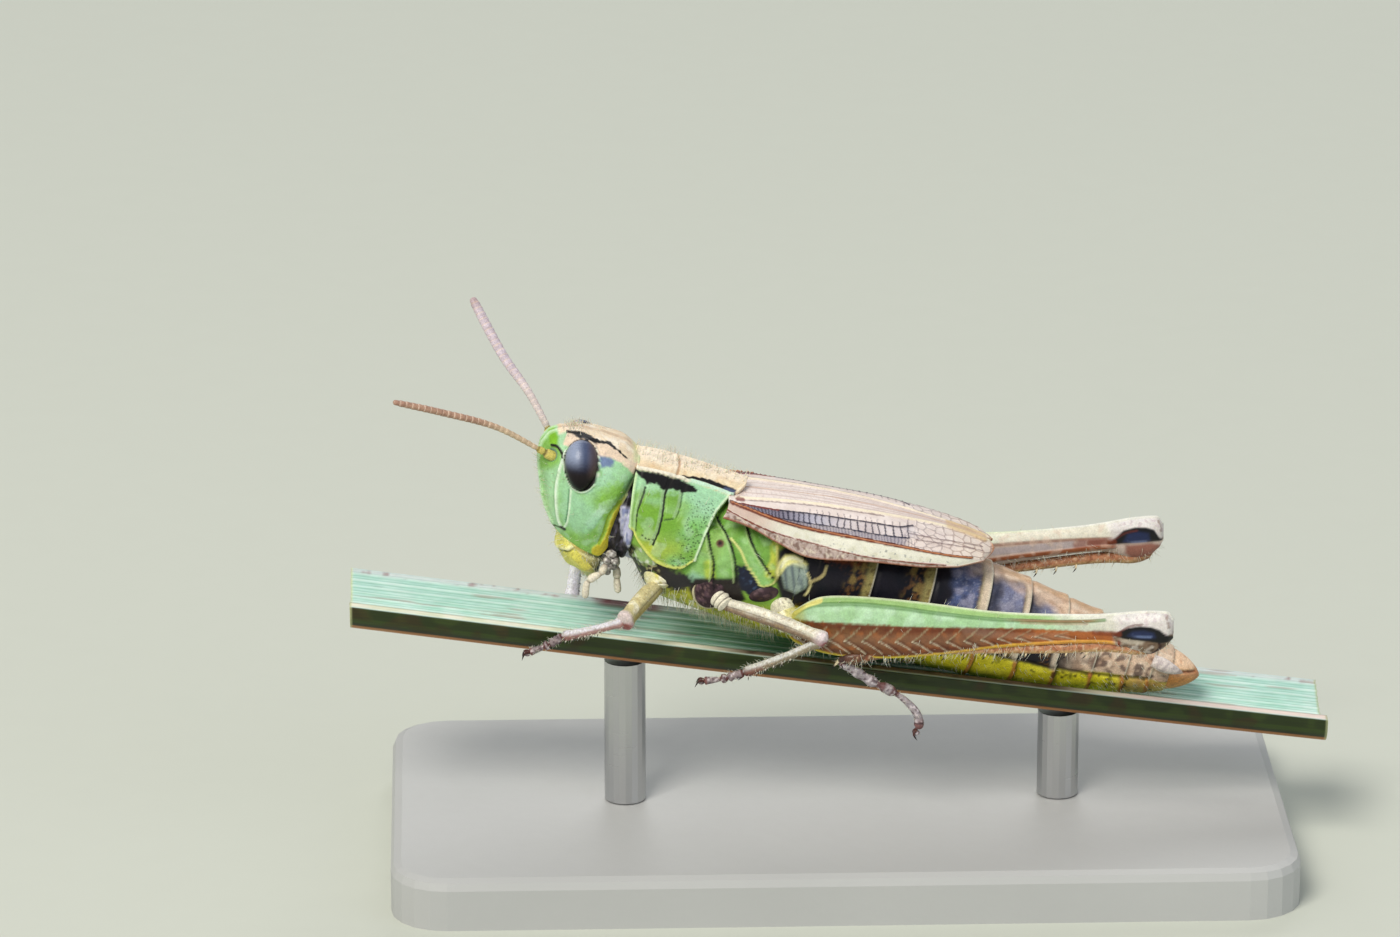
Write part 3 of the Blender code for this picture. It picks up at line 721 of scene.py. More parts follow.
class Finishes:
    """Every finish of the model, built once."""

    def __init__(self) -> None:
        """Build the materials."""
        # Smooth cuticle under wax: soft highlights, with a hint of light inside.
        self.green = Cuticle("waxy_green_cuticle").build()
        # Unpigmented wax over black cuticle: hard, wet highlights.
        self.dark = Cuticle("glossy_banded_cuticle", sheen=0.16, coat=0.14, coat_roughness=0.18, glow=0.0,
            blotch_strength=0.22, speck_strength=0.22, grain=0.035).build()
        # Jaws and lip: thicker, drier cuticle.
        self.jaw = Cuticle("tanned_jaw_cuticle", coat=0.15, glow=0.03, speck_strength=0.2).build()
        # Soft folded skin between plates: dull, wrinkled.
        self.skin = Cuticle("soft_joint_membrane", grain=0.08, grain_depth=0.012, coat=0.05).build()
        # Leathery fore wing: thin, papery, between its veins.
        self.wing = Cuticle("leathery_wing_cuticle", grain=0.03, grain_depth=0.003, blotch=0.3,
            blotch_strength=0.08, speck_strength=0.08, coat=0.12, glow=0.04).build()
        # Legs: granular cuticle with short hairs.
        self.leg = Cuticle("granular_leg_cuticle", grain=0.05, grain_depth=0.006, speck_strength=0.2,
            coat=0.12).build()
        self.feeler = Cuticle("downy_feeler_cuticle", grain=0.03, grain_depth=0.004, speck_strength=0.22,
            coat=0.05, glow=0.03).build()
        # Grass blade: long cells in rows along it, so its tones run out in streaks.
        self.leaf = Cuticle("waxy_leaf_skin", grain=0.05, grain_depth=0.003, blotch=0.2,
            blotch_strength=0.07, speck_strength=0.06, coat=0.12, coat_roughness=0.4, glow=0.05,
            stretch=(0.06, 1.0, 1.0)).build()
        self.eye = Cornea().build()
        self.seta = Seta().build()
        self.board = PaintedBoard().build()
        self.steel = BrushedSteel().build()


# ---------------------------------------------------------------- trunk


@dataclass(frozen=True)
class TrunkForm:
    """The body's own form. Girth runs from 0 on the back, over 1 at the widest level, to 2 below."""

    # Place, half width, back, widest level, underside.
    stations: Path = ((-0.9, 1.3, 1.5, 0.2, -0.9), (-0.5, 1.58, 1.5, 0.15, -1.3),
        (0.0, 1.7, 1.34, 0.1, -2.0), (0.6, 1.77, 1.3, 0.0, -2.33), (1.5, 1.82, 1.22, -0.1, -2.45),
        (2.8, 1.85, 1.2, -0.25, -2.56), (4.0, 1.84, 1.22, -0.4, -2.66), (5.3, 1.74, 1.2, -0.5, -2.62),
        (8.0, 1.58, 1.15, -0.6, -2.46), (10.4, 1.46, 1.0, -0.66, -2.3), (13.0, 1.2, 0.58, -0.78, -2.08),
        (15.0, 0.94, 0.32, -0.76, -1.66), (16.2, 0.66, 0.02, -0.68, -1.3),
        (17.05, 0.12, -0.44, -0.6, -0.74))
    upper_power: float = 2.3
    lower_power: float = 2.35

    def points(self, a: Array, girth: Array) -> Array:
        """Points at places along the trunk, on the left side where the girth is negative."""
        width, back, level, under = spline(self.stations, a).T
        upper = np.abs(girth) <= 1
        power = np.where(upper, self.upper_power, self.lower_power)
        c, s = squircle(np.abs(1 - np.abs(girth)) * pi / 2, power)
        height = np.where(upper, level + (back - level) * s, level - (level - under) * s)
        return np.column_stack((a, np.sign(girth) * width * c, height))

    def girth_at(self, a: float, height: float) -> float:
        """The girth at a height below the widest level."""
        _, _, level, under = spline(self.stations, a)[0]
        sunk = np.clip((level - height) / (level - under), 0, 1) ** (self.lower_power / 2)
        return 1 + np.arcsin(sunk) * 2 / pi


TRUNK = TrunkForm()


@dataclass
class Pronotum:
    """The saddle: a flat disc between two side ridges, and a lobe down each side."""

    thickness: float = 0.09
    clearance: float = 0.03
    # How the disc falls off from its middle ridge, and the lobe's bow out, down and at its widest.
    roof_power: float = 1.25
    bow_out: float = 0.26
    bow_down: float = 0.28
    bow_low: float = 0.5
    tuck_power: float = 0.8
    length: float = 3.2
    girth: float = 7.6
    # Place, half width and height of the side ridges, height of the middle ridge.
    ridges: Path = ((-0.65, 0.92, 1.35, 1.66), (-0.3, 0.91, 1.38, 1.71), (0.2, 0.83, 1.38, 1.74),
        (0.6, 0.75, 1.36, 1.74), (1.0, 0.68, 1.33, 1.73), (1.5, 0.65, 1.31, 1.71), (2.0, 0.69, 1.28, 1.67),
        (2.4, 0.75, 1.25, 1.65), (2.8, 0.8, 1.24, 1.6))
    # Girth and place of the front and rear edges.
    front: Path = ((0.0, -0.6), (0.3, -0.58), (0.5, -0.53), (0.8, -0.5), (1.0, -0.4), (1.22, -0.22),
        (1.36, -0.06), (1.6, -0.02))
    rear: Path = ((0.0, 2.72), (0.2, 2.68), (0.42, 2.48), (0.55, 2.22), (0.7, 1.98), (0.95, 1.8),
        (1.2, 1.73), (1.6, 1.68))
    # Share of the way from front to rear, and height of the lower edge.
    lower: Path = ((0.0, -0.58), (0.15, -0.86), (0.37, -1.1), (0.55, -1.16), (0.75, -1.12), (0.88, -0.98),
        (1.0, -0.62))

    def section(self, a: Array, girth: Array) -> Array:
        """Points of the saddle's form: disc up to girth 0.5, then the lobes."""
        ridge_y, ridge_h, crest = spline(self.ridges, a).T
        width, _, level, under = spline(TRUNK.stations, a).T
        width = width + self.clearance
        g = np.abs(girth)
        disc = np.clip(g / 0.5, 0, 1)
        disc_y, disc_h = disc * ridge_y, crest - (crest - ridge_h) * disc ** self.roof_power
        t = np.clip((g - 0.5) / 0.5, 0, 1)
        span = np.hypot(width - ridge_y, ridge_h - level)
        knots = ((ridge_y, ridge_h), (ridge_y + self.bow_out * span, ridge_h - self.bow_down * span),
            (width, level + self.bow_low * span), (width, level))
        weights = ((1 - t) ** 3, 3 * t * (1 - t) ** 2, 3 * t * t * (1 - t), t ** 3)
        lobe_y = sum(w * k[0] for w, k in zip(weights, knots))
        lobe_h = sum(w * k[1] for w, k in zip(weights, knots))
        angle = np.clip(g - 1, 0, 1) * pi / 2
        low_y = width * np.cos(angle) ** self.tuck_power
        y = np.where(g <= 0.5, disc_y, np.where(g <= 1, lobe_y, low_y))
        h = np.where(g <= 0.5, disc_h, np.where(g <= 1, lobe_h, level - (level - under) * np.sin(angle)))
        return np.column_stack((a, np.sign(girth) * y, h))

    def form(self, u: Array, v: Array) -> Array:
        """Points of the saddle, from the left lobe's edge over the back to the right one's."""
        lowest = np.array([TRUNK.girth_at(0.8, h) for h in spline(self.lower, u)[:, 0]])
        girth = (2 * v - 1) * lowest
        start = spline(self.front, np.abs(girth))[:, 0]
        end = spline(self.rear, np.abs(girth))[:, 0]
        return self.section(start + (end - start) * u, girth)

    def mark(self, c: Canvas) -> None:
        """Paint the saddle and raise its ridges."""
        ridge_y = spline(self.ridges, c.spots[:, ALONG])[:, 0]
        lobe = smooth((c.spots[:, AWAY] - ridge_y - 0.02) / 0.05)
        c.vary("7DBB55", 0.5, 0.55, 1.0)
        # Mint under the side ridges and over the rear.
        c.paint(c.ramp(UP, 0.45, 1.05, 0.15), "A6D6AC", 0.85)
        rear = c.ramp(ALONG, 0.9, 1.35, 0.12)
        c.paint(rear * c.ramp(UP, -0.7, 0.2), "86C583", 0.55)
        c.paint(rear * c.ramp(UP, 0.35, 0.85, 0.1), "A8D8B2", 0.75)
        # Lime between the furrows.
        lime = c.within(((-0.38, 0.82), (0.42, 0.98), (0.9, 1.02), (0.98, 0.2), (0.6, -0.1), (-0.1, -0.1)),
            0.12, ragged=0.06)
        c.paint(lime, "74A834", 0.9)
        c.area(((-0.1, 0.78), (0.4, 0.86), (0.46, 0.7), (-0.1, 0.62)), "9BD09A", 0.5)
        # Yellow towards the lower front, mint again on the lower rear.
        c.paint(c.ramp(UP, 0.1, -0.6, 0.1) * c.ramp(ALONG, 1.5, 0.9, 0.2), "A4C252", 0.7)
        c.paint(c.ramp(UP, -0.15, -0.75, 0.1) * c.ramp(ALONG, 1.2, 0.2, 0.2), "B9C940", 0.9)
        c.paint(c.ramp(UP, -0.35, -0.95, 0.1) * c.ramp(ALONG, 0.8, 0.0, 0.1), "CFCB46", 0.65)
        c.paint(c.ramp(UP, -0.45, -0.9) * c.ramp(ALONG, 0.8, 1.3), "8CCB96", 0.6)
        c.vary("6FA63A", 0.22, 0.35, 4.0, 0.25, rear * c.ramp(UP, 1.1, 0.6))
        c.vary("C4E6C4", 0.3, 0.3, 9.0, 0.15, c.ramp(UP, 0.9, 0.3))
        c.pits = rear * c.ramp(UP, 1.15, 0.9) * 0.9 + 0.15
        # Furrows.
        sulci = (((-0.18, 1.0), (-0.22, 0.6), (-0.23, 0.28), (-0.12, -0.25)),
            ((0.52, 1.3), (0.43, 0.98), (0.45, 0.71), (0.48, 0.38), (0.5, -0.07), (0.46, -0.5)),
            ((1.0, 1.36), (0.93, 1.12), (0.93, 0.78), (0.88, 0.48)))
        for path, width, ink in zip(sulci, ((0.05, 0.02), (0.05, 0.04), (0.03, 0.02)), (0.9, 1.0, 0.65)):
            c.lift -= 0.045 * c.near(path, 0.05, 0.09)
            c.line(path, width, "16240F", 0.022, ragged=0.015, opacity=ink, only=lobe)
            c.line(tuple((a - 0.07, h) for a, h in path), 0.03, "CDEBC0", 0.05, opacity=0.4, only=lobe)
        c.line(((0.58, 0.33), (0.8, 0.42)), 0.02, "2C4A20", 0.025, lift=-0.02, opacity=0.8)
        for spot in ((0.09, -0.3), (0.2, -0.36), (0.3, -0.36), (0.42, -0.35), (0.62, -0.95), (1.42, -0.62),
            (1.48, -0.85), (1.36, -0.92)):
            c.line((spot, (spot[0] + 0.02, spot[1])), 0.02, "2A3A18", 0.025)
        # Rims.
        u, v = c.spots[:, LENGTH] / self.length, c.spots[:, GIRTH] / self.girth
        side = np.minimum(v, 1 - v) * self.girth
        c.lift += 0.03 * smooth(1 - side / 0.12)
        c.paint(smooth(1.4 - side / 0.09), "DADF74", 0.9)
        behind, ahead = (1 - u) * self.length, u * self.length
        c.paint(smooth(1.5 - behind / 0.07) * lobe, "D5ECC9", 0.9)
        c.lift += 0.035 * smooth(1 - behind / 0.1) + 0.03 * smooth(1 - ahead / 0.1)
        c.paint(smooth(1.5 - ahead / 0.07) * lobe, "CBE9B4", 0.9)
        c.lift -= 0.03 * smooth(1 - np.abs(ahead - 0.16) / 0.08) * lobe
        # Disc: straw over tan, browner towards its ridges in front; painted highlight on top, painted shade
        # low down.
        disc = 1 - lobe
        c.paint(disc, "EBD8B4")
        c.vary("F6EAD0", 0.35, 0.6, 12.0, 0.0, disc)
        c.vary("D2A878", 0.16, 0.35, 15.0, 0.25, disc)
        # Painted highlight along the top of the disc.
        c.paint(disc * c.ramp(UP, 1.44, 1.62), "F7EBDD", 0.6)
        # Painted shade low on the disc, by the side ridges.
        c.paint(disc * c.ramp(UP, 1.38, 1.26), "CFA878", 0.4)
        c.paint(disc * c.ramp(AWAY, 0.5, 0.8) * c.ramp(ALONG, 0.9, 0.4), "D6B082", 0.45)
        c.paint(disc * c.ramp(ALONG, -0.45, -0.6), "F2E6BE", 0.8)
        c.lift += 0.045 * smooth(1 - c.spots[:, AWAY] / 0.07)
        c.line(((0.62, 0.0), (0.7, 0.35), (0.66, 0.74)), 0.03, "A87442", 0.04, Plane.TOP, lift=-0.03,
            opacity=0.7, only=disc)
        # Side ridges, with black beside them: below in front, above behind.
        ridge = tuple((a, y, h) for a, y, h, _ in self.ridges)
        c.lift += 0.05 * c.near(ridge, 0.03, 0.08, Plane.SPACE)
        below = ((-0.62, 1.31), (-0.3, 1.33), (0.2, 1.335), (0.55, 1.31), (0.95, 1.27), (1.38, 1.17),
            (1.3, 1.1), (0.95, 1.05), (0.6, 1.08), (0.35, 1.03), (0.1, 1.12), (-0.15, 1.08), (-0.45, 1.22))
        c.area(below, "0B090B", 1.0, 0.02, ragged=0.022, only=c.ramp(AWAY, 0.6, 0.7))
        above = ((0.8, 0.7), (1.2, 0.62), (1.6, 0.6), (2.0, 0.64), (2.42, 0.7), (2.45, 0.56), (2.0, 0.5),
            (1.6, 0.46), (1.2, 0.52), (0.8, 0.64))
        c.area(above, "0B090B", 1.0, 0.02, Plane.TOP, ragged=0.02, only=c.ramp(UP, 1.2, 1.26))
        c.area(((2.05, 0.66), (2.42, 0.72), (2.42, 0.58), (2.15, 0.56)), "5A6A92", 0.6, 0.05, Plane.TOP,
            ragged=0.03)
        cream = c.near(ridge, 0.085, 0.03, Plane.SPACE, 0.01)
        c.paint(cream * c.ramp(ALONG, 1.15, 0.95), "F6EFDA")
        c.paint(cream * c.ramp(ALONG, 0.95, 1.15), "C8E8D0")
        c.shine = 0.36 + 0.12 * disc + 0.06 * c.coarse

    def build(self, looks: Finishes) -> bpy.types.Object:
        """Shape and dress the saddle."""
        bm = warped_grid(104, 250, self.form, Vector((1.0, 0.0, -0.6)))
        canvas = Canvas(bm, "7FAE46", (self.length, self.girth))
        self.mark(canvas)
        return place(canvas.finish(), "saddle_shield", Frame.BODY, looks.green, "chitin_green",
            ["pronotum"], self.thickness)


def mark_hip(c: Canvas) -> None:
    """Mark the hip region, which crosses from the chest to the abdomen."""
    c.area(((3.95, 0.3), (4.15, 0.5), (5.3, 0.55), (5.4, -1.0), (4.5, -1.2), (4.15, -0.6)), "15131B", 1.0,
        0.1)
    lobe = c.within(((4.08, 0.04), (4.2, 0.25), (4.46, 0.33), (4.74, 0.26), (4.9, 0.12), (4.78, -0.02),
        (4.5, 0.06), (4.34, -0.05), (4.18, -0.45), (4.05, -0.3)), 0.05)
    c.paint(lobe, "DFDC92")
    c.line(((4.16, -0.1), (4.26, 0.14), (4.5, 0.22), (4.74, 0.16)), 0.05, "F1F0D2", 0.05, opacity=0.7)
    c.lift += 0.09 * lobe
    plate = c.within(((4.3, -0.06), (4.5, 0.08), (4.76, 0.12), (4.92, 0.05), (5.08, -0.5), (4.8, -0.8),
        (4.46, -0.72), (4.24, -0.36)), 0.05)
    c.paint(plate, "8C9C93")
    stripes = 0.5 + 0.5 * np.sin((c.spots[:, ALONG] * 0.8 + c.spots[:, UP] * 0.35) * 34)
    c.paint(plate * smooth(stripes * 1.4 - 0.5), "4E5B66", 0.8)
    c.paint(plate * c.ramp(UP, -0.05, 0.1), "C9CFA4", 0.7)
    c.lift += 0.11 * plate + 0.012 * plate * stripes
    c.line(((4.95, -0.1), (5.15, -0.42), (5.1, -0.75)), 0.05, "CFC68E", 0.03, lift=0.04)
    c.line(((5.1, -0.35), (5.4, -0.1), (5.45, 0.2)), 0.05, "A39668", 0.04, lift=0.03)


@dataclass
class Thorax:
    """The chest: side plates parted by furrows, and a yellow belly."""

    start: float = -0.2
    end: float = 4.79
    length: float = 5.0
    girth: float = 12.4
    tuck: float = 0.34
    tuck_length: float = 1.3
    tuck_level: float = -0.1
    breath: tuple[float, float] = (2.29, 0.1)

    def form(self, u: Array, v: Array) -> Array:
        """Points of the chest, seam under the belly."""
        a = self.start + (self.end - self.start) * u
        points = TRUNK.points(a, 4 * v - 2)
        # The underside rises towards the neck.
        tuck = self.tuck * (1 - smooth((a - self.start) / self.tuck_length))
        points[:, 2] -= tuck * np.minimum(points[:, 2] - self.tuck_level, 0.0)
        return points

    def mark(self, c: Canvas) -> None:
        """Paint the plates and sink the furrows between them."""
        c.lift -= 0.05 + 0.07 * c.ramp(ALONG, 2.0, 1.4) * c.ramp(UP, -1.3, -0.9)
        c.lift -= 0.32 * c.ramp(ALONG, 2.7, 2.1) * c.ramp(UP, 0.25, 0.65)
        c.paint(c.ramp(UP, -1.35, -1.75, 0.08), "BDC03C")
        c.vary("7F8A20", 0.2, 0.65, 2.0, 0.1, c.ramp(UP, -1.4, -1.8))
        c.vary("D6D24C", 0.3, 0.6, 5.0, 0.1, c.ramp(UP, -1.9, -2.3))
        plates = c.within(((1.45, -1.0), (1.7, 1.3), (4.1, 1.3), (4.12, 0.05), (4.2, -0.5), (4.03, -0.74),
            (3.78, -0.84), (3.2, -0.34), (2.92, -0.4), (3.05, -0.95), (2.7, -1.05), (2.45, -1.28),
            (1.8, -1.35)), 0.03)
        c.paint(plates, "76A846")
        c.lift += 0.05 * plates
        # Paler green strokes on the plates beside the furrows: painted highlights.
        for path, width in ((((2.05, -0.95), (1.95, -0.55)), 0.35), (((2.75, -0.85), (2.62, -0.45)), 0.3),
            (((3.75, -0.62), (3.35, -0.22), (2.95, 0.25)), 0.22), (((2.5, -0.2), (2.35, 0.25)), 0.16)):
            c.line(path, width, "A6D88C", 0.18, opacity=0.45)
        c.area(((1.55, -1.4), (1.8, -0.95), (2.2, -1.05), (2.1, -1.4)), "9CCBB0", 0.8, 0.12)
        c.line(((3.9, 0.4), (4.0, 0.05), (3.95, -0.35)), 0.26, "CFD24C", 0.12, opacity=0.8)
        c.line(((2.15, -0.6), (2.35, -1.05)), 0.16, "BFD14A", 0.12, opacity=0.8)
        c.vary("5F9E33", 0.3, 0.45, 3.0, 0.1, plates)
        c.vary("B4DCA4", 0.25, 0.35, 8.0, 0.25, plates)
        c.area(((1.75, -0.3), (2.1, 0.5), (2.5, 0.3), (2.35, -0.5)), "A2C870", 0.5, 0.15, only=plates)
        # Dark, flecked skin in front, under the saddle.
        front = c.ramp(ALONG, 1.35, 1.05, 0.1) * c.ramp(UP, -0.75, -1.0)
        c.paint(front, "2B2620")
        c.vary("B9B482", 0.1, 0.75, 11.0, 0.25, front)
        c.vary("7E9A4A", 0.16, 0.6, 12.0, 0.3, front)
        lobe = c.within(((0.04, -1.42), (0.38, -1.33), (0.72, -1.46), (0.74, -1.7), (0.34, -1.72),
            (0.05, -1.58)), 0.05, Plane.OBLIQUE, 0.04)
        c.paint(lobe, "A3C47C", 0.9)
        c.vary("E2E8DC", 0.12, 0.8, 13.0, 0.1, lobe)
        c.lift += 0.04 * lobe
        # Dark, bluish skin between the plates and the hips.
        c.area(((2.95, -0.42), (3.18, -0.34), (3.5, -0.6), (3.78, -0.84), (4.1, -0.76), (4.3, -1.05),
            (3.55, -1.25), (3.16, -1.1)), "141A30", 1.0, 0.05, ragged=0.03)
        c.vary("4A6488", 0.08, 0.6, 6.0, 0.3, c.within(((3.0, -0.45), (3.9, -0.9), (3.5, -1.1)), 0.1))
        c.area(((0.85, -1.1), (1.8, -1.15), (1.95, -1.45), (1.6, -1.85), (1.0, -1.75)), "2C2A2B", 1.0, 0.08,
            ragged=0.06)
        c.area(((1.9, -1.15), (3.05, -0.78), (3.5, -1.4), (3.0, -2.05), (2.2, -2.05), (1.85, -1.6)),
            "26201F")
        # Furrows with a pale ridge beside each.
        for path in (((1.81, 0.45), (2.04, -0.06), (2.28, -0.52), (2.42, -1.1)),
            ((2.1, 0.9), (2.39, 0.44), (2.67, 0.03), (2.86, -0.32), (3.1, -0.95)),
            ((2.86, 0.85), (3.16, 0.37), (3.48, 0.0), (3.81, -0.3), (4.1, -0.55))):
            c.lift -= 0.06 * c.near(path, 0.05, 0.08)
            c.line(path, 0.045, "0E150F", 0.022, ragged=0.012)
            c.line(tuple((a - 0.09, h) for a, h in path), 0.018, "CFE8A6", 0.03, lift=0.025, opacity=0.55)
        c.line(((2.56, 0.3), (2.91, 0.06), (3.22, -0.32), (3.55, -0.6), (3.78, -0.82), (4.03, -0.72),
            (4.2, -0.5)), 0.03, "DDE28C", 0.035, lift=0.04)
        c.line(((4.16, -0.5), (4.02, 0.05), (3.88, 0.5)), 0.05, "DDDB74", 0.04, lift=0.04)
        # Breathing hole.
        hole = np.hypot(c.spots[:, ALONG] - self.breath[0], c.spots[:, UP] - self.breath[1])
        c.paint(1 - smooth((hole - 0.09) / 0.05), "6E4B3C")
        c.paint(1 - smooth((hole - 0.03) / 0.05), "2A1518")
        c.lift += 0.02 * around(hole, 0.12, 0.04) - 0.03 * (1 - smooth(hole / 0.08))
        mark_hip(c)
        c.pits += 0.15
        c.shine = 0.4 + 0.05 * c.coarse

    def build(self, looks: Finishes) -> bpy.types.Object:
        """Shape and dress the chest."""
        canvas = Canvas(warped_grid(142, 260, self.form), "8FBF4A", (self.length, self.girth))
        self.mark(canvas)
        return place(canvas.finish(), "chest", Frame.BODY, looks.green, "chitin_green", ["thorax"])


@dataclass
class Abdomen:
    """The abdomen: overlapping rings, dark above and yellow below, and the valves at its end."""

    start: float = 4.8
    end: float = 16.15
    # Rear edges of its rings.
    borders: tuple[float, ...] = (5.25, 6.92, 8.64, 10.3, 11.58, 12.76, 13.86, 14.84, 15.6)
    length: float = 11.4
    girth: float = 10.0
    # The valves: bluntness at their root and tip, and roundness of their section.
    blunt: float = 1.7
    point: float = 0.72
    valve_power: float = 2.1
    feeler: Path = ((15.5, 0.84, -0.26), (15.98, 0.86, -0.34), (16.48, 0.76, -0.42))
    feeler_profile: Path = ((0.0, 0.16, 0.18), (0.3, 0.2, 0.21), (0.7, 0.13, 0.14), (0.93, 0.05, 0.05),
        (1.0, 0.004, 0.004))

    def form(self, u: Array, v: Array) -> Array:
        """Points of the abdomen, seam under the belly."""
        return TRUNK.points(self.start + (self.end - self.start) * u, 4 * v - 2)

    def rings(self, canvas: Canvas) -> tuple[Array, Array]:
        """Distance to the ring's rear edge, and from its front edge."""
        slant = canvas.spots[:, ALONG] - 0.1 * smooth((-0.8 - canvas.spots[:, UP]) / 0.8)
        edges = np.array((self.start - 0.4, *self.borders, self.end + 0.4))
        number = np.clip(np.searchsorted(edges, slant, "right") - 1, 0, len(edges) - 2)
        return edges[number + 1] - slant, slant - edges[number]

    def mark(self, c: Canvas) -> None:
        """Paint the rings and step each over the next."""
        a, h = c.spots[:, ALONG], c.spots[:, UP]
        left, gone = self.rings(c)
        share = gone / (gone + left)
        rear_tone = smooth((a - 9.4) / 3.0)
        # Back plates: black in front, brown specks, then an olive hem.
        c.vary("0A0D18", 0.5, 0.8, 1.0, -0.2)
        mottled = smooth((share - 0.42) / 0.25)
        c.vary("6B4A2A", 0.1, 0.9, 2.0, 0.05, mottled)
        c.vary("8A7440", 0.22, 0.8, 3.0, 0.1, mottled * (1 - rear_tone * 0.5))
        hem = smooth((share - 0.78) / 0.1)
        c.paint(hem * (1 - rear_tone), "9A9058", 0.85)
        c.vary("5A4426", 0.08, 0.7, 14.0, 0.2, hem * (1 - rear_tone))
        # Blue sheen and bare, rosy tan towards the end and over the back.
        blue = smooth((a - 8.95 - 0.2 * c.coarse) / 0.4) * smooth((13.4 - a) / 1.2) \
            * smooth((1.25 - 0.3 * smooth((a - 10.2) / 0.6) - h) / 0.3) \
            * smooth((0.86 - share) / 0.12) * smooth((h + 0.55) / 0.5)
        c.paint(blue, "56648F", 0.85)
        c.vary("A6A3B6", 0.3, 0.5, 5.0, 0.1, blue)
        c.paint(blue * smooth((a - 10.0) / 0.6), "9A98AA", 0.4)
        c.vary("B9BCCB", 0.05, 0.35, 15.0, 0.3, blue)
        c.vary("262A48", 0.3, 0.5, 6.0, 0.15, blue)
        c.paint(blue * smooth((0.42 - share) / 0.3), "12131F", 0.75)
        c.paint(smooth((share - 0.8) / 0.1) * smooth((a - 8.9) / 0.8), "D8C8B2", 0.9)
        tan = np.clip(smooth((h - 0.72 + 0.75 * smooth((a - 10.5) / 3.0) + 0.1 * c.coarse) / 0.3) *
            smooth((a - 9.0) / 2.0) + smooth((a - 12.6) / 1.3), 0, 1)
        c.paint(tan, "D6BBA2", 0.92)
        c.vary("B08A70", 0.3, 0.5, 9.0, 0.1, tan)
        c.vary("EAD9C4", 0.25, 0.5, 10.0, 0.2, tan)
        c.paint(smooth((1.0 - np.abs(c.spots[:, AWAY]) / 0.45)) * smooth((h - 0.2) / 0.3), "C79F72", 0.6)
        shadow = smooth((a - 13.0) / 1.0) * smooth((0.05 - h) / 0.5)
        c.vary("5D4A44", 0.18, 0.85, 11.0, -0.1, shadow)
        # Belly plates: yellow-green with olive flecks.
        seam = -1.15 + 0.32 * smooth((a - 12.5) / 2.5)
        belly = smooth((seam - h + 0.05 * c.coarse) / 0.12)
        c.paint(belly, "DAD02C")
        c.vary("F2E84A", 0.35, 0.7, 21.0, 0.0, belly)
        c.vary("5C5E1C", 0.2, 0.7, 22.0, 0.25, belly * smooth((h + 1.55) / 0.3))
        c.paint(belly * smooth((-1.85 - h) / 0.25), "7C9428", 0.6)
        c.paint(belly * smooth((a - 14.4) / 0.8), "C49B62", 0.8)
        c.line(((5.0, -1.16), (12.5, -1.15), (15.5, -0.85)), 0.05, "2A2118", 0.05, lift=-0.04, opacity=0.7)
        # Edges.
        hem_line = 1 - smooth((left - 0.03) / 0.03)
        c.paint(hem_line * (1 - belly), "DAD3BE", 0.9)
        c.paint((1 - smooth((left - 0.1) / 0.05)) * belly, "B4743A", 0.9)
        c.vary("241C12", 0.15, 0.8, 23.0, 0.45, belly * smooth((h + 1.6) / 0.2))
        c.paint((1 - smooth((gone - 0.03) / 0.05)) * (1 - tan), "08080C", 0.8)
        step = smooth(1 - left / 0.45) - 1.1 * smooth(1 - gone / 0.2)
        c.lift += 0.042 * step * smooth((a - 5.4) / 0.3) * smooth((15.9 - a) / 0.3)
        c.lift -= 0.03 * smooth((a - 13.0) / 1.5) * (0.5 + 0.5 * c.coarse)
        c.shine = np.clip(0.3 + 0.16 * tan + 0.12 * belly + 0.14 * mottled, 0.2, 0.6)
        c.area(((4.7, 0.4), (4.7, 0.9), (6.4, 0.9), (6.6, 0.55), (5.9, 0.35)), "7A3C1C", 0.75, 0.1,
            ragged=0.08)
        mark_hip(c)

    def mark_valves(self, c: Canvas) -> None:
        """Paint the valves: cream above, orange below."""
        c.paint(c.ramp(UP, -0.55, -0.25), "F0CFAE", 0.95)
        c.paint(c.ramp(UP, -0.5, -0.75), "D98A3A", 0.8)
        c.vary("B9764A", 0.2, 0.5, 2.0, 0.2)
        c.line(((16.2, -0.52), (16.9, -0.45)), 0.03, "6A3B1E", 0.04, lift=-0.04)
        c.paint(c.ramp(ALONG, 16.8, 16.95), "B9774A", 0.7)

    def build(self, looks: Finishes) -> None:
        """Shape and dress the abdomen, its valves and its two tail feelers."""
        canvas = Canvas(warped_grid(256, 190, self.form), "17151F", (self.length, self.girth))
        self.mark(canvas)
        place(canvas.finish(), "abdomen_rings", Frame.BODY, looks.dark, "chitin_dark", ["abdomen"])

        def valves(u: Array, v: Array) -> Array:
            """Points of the valves, a blunt cone tucked into the last ring."""
            close = np.clip(1 - u ** self.blunt, 0, 1) ** self.point
            c, s = squircle(2 * pi * v - pi / 2, self.valve_power)
            return np.column_stack((15.95 + 1.16 * u, 0.62 * close * c,
                -0.66 + 0.05 * u + 0.64 * close * s))

        canvas = Canvas(warped_grid(30, 72, valves), "E2B184")
        self.mark_valves(canvas)
        place(canvas.finish(), "egg_laying_valves", Frame.BODY, looks.jaw, "chitin_tan", ["ovipositor"])
        for name, side in SIDES.items():
            canvas = Canvas(tube(mirrored(self.feeler, side), self.feeler_profile, 28, 20), "DDD2CC")
            canvas.vary("A79A9C", 0.12, 0.6, 3.0)
            canvas.paint(canvas.ramp(LENGTH, 0.7, 1.0), "8A6A58", 0.7)
            place(canvas.finish(), "tail_feeler_" + name, Frame.BODY, looks.jaw, "chitin_tan",
                ["cercus_" + name])


# ---------------------------------------------------------------- wings


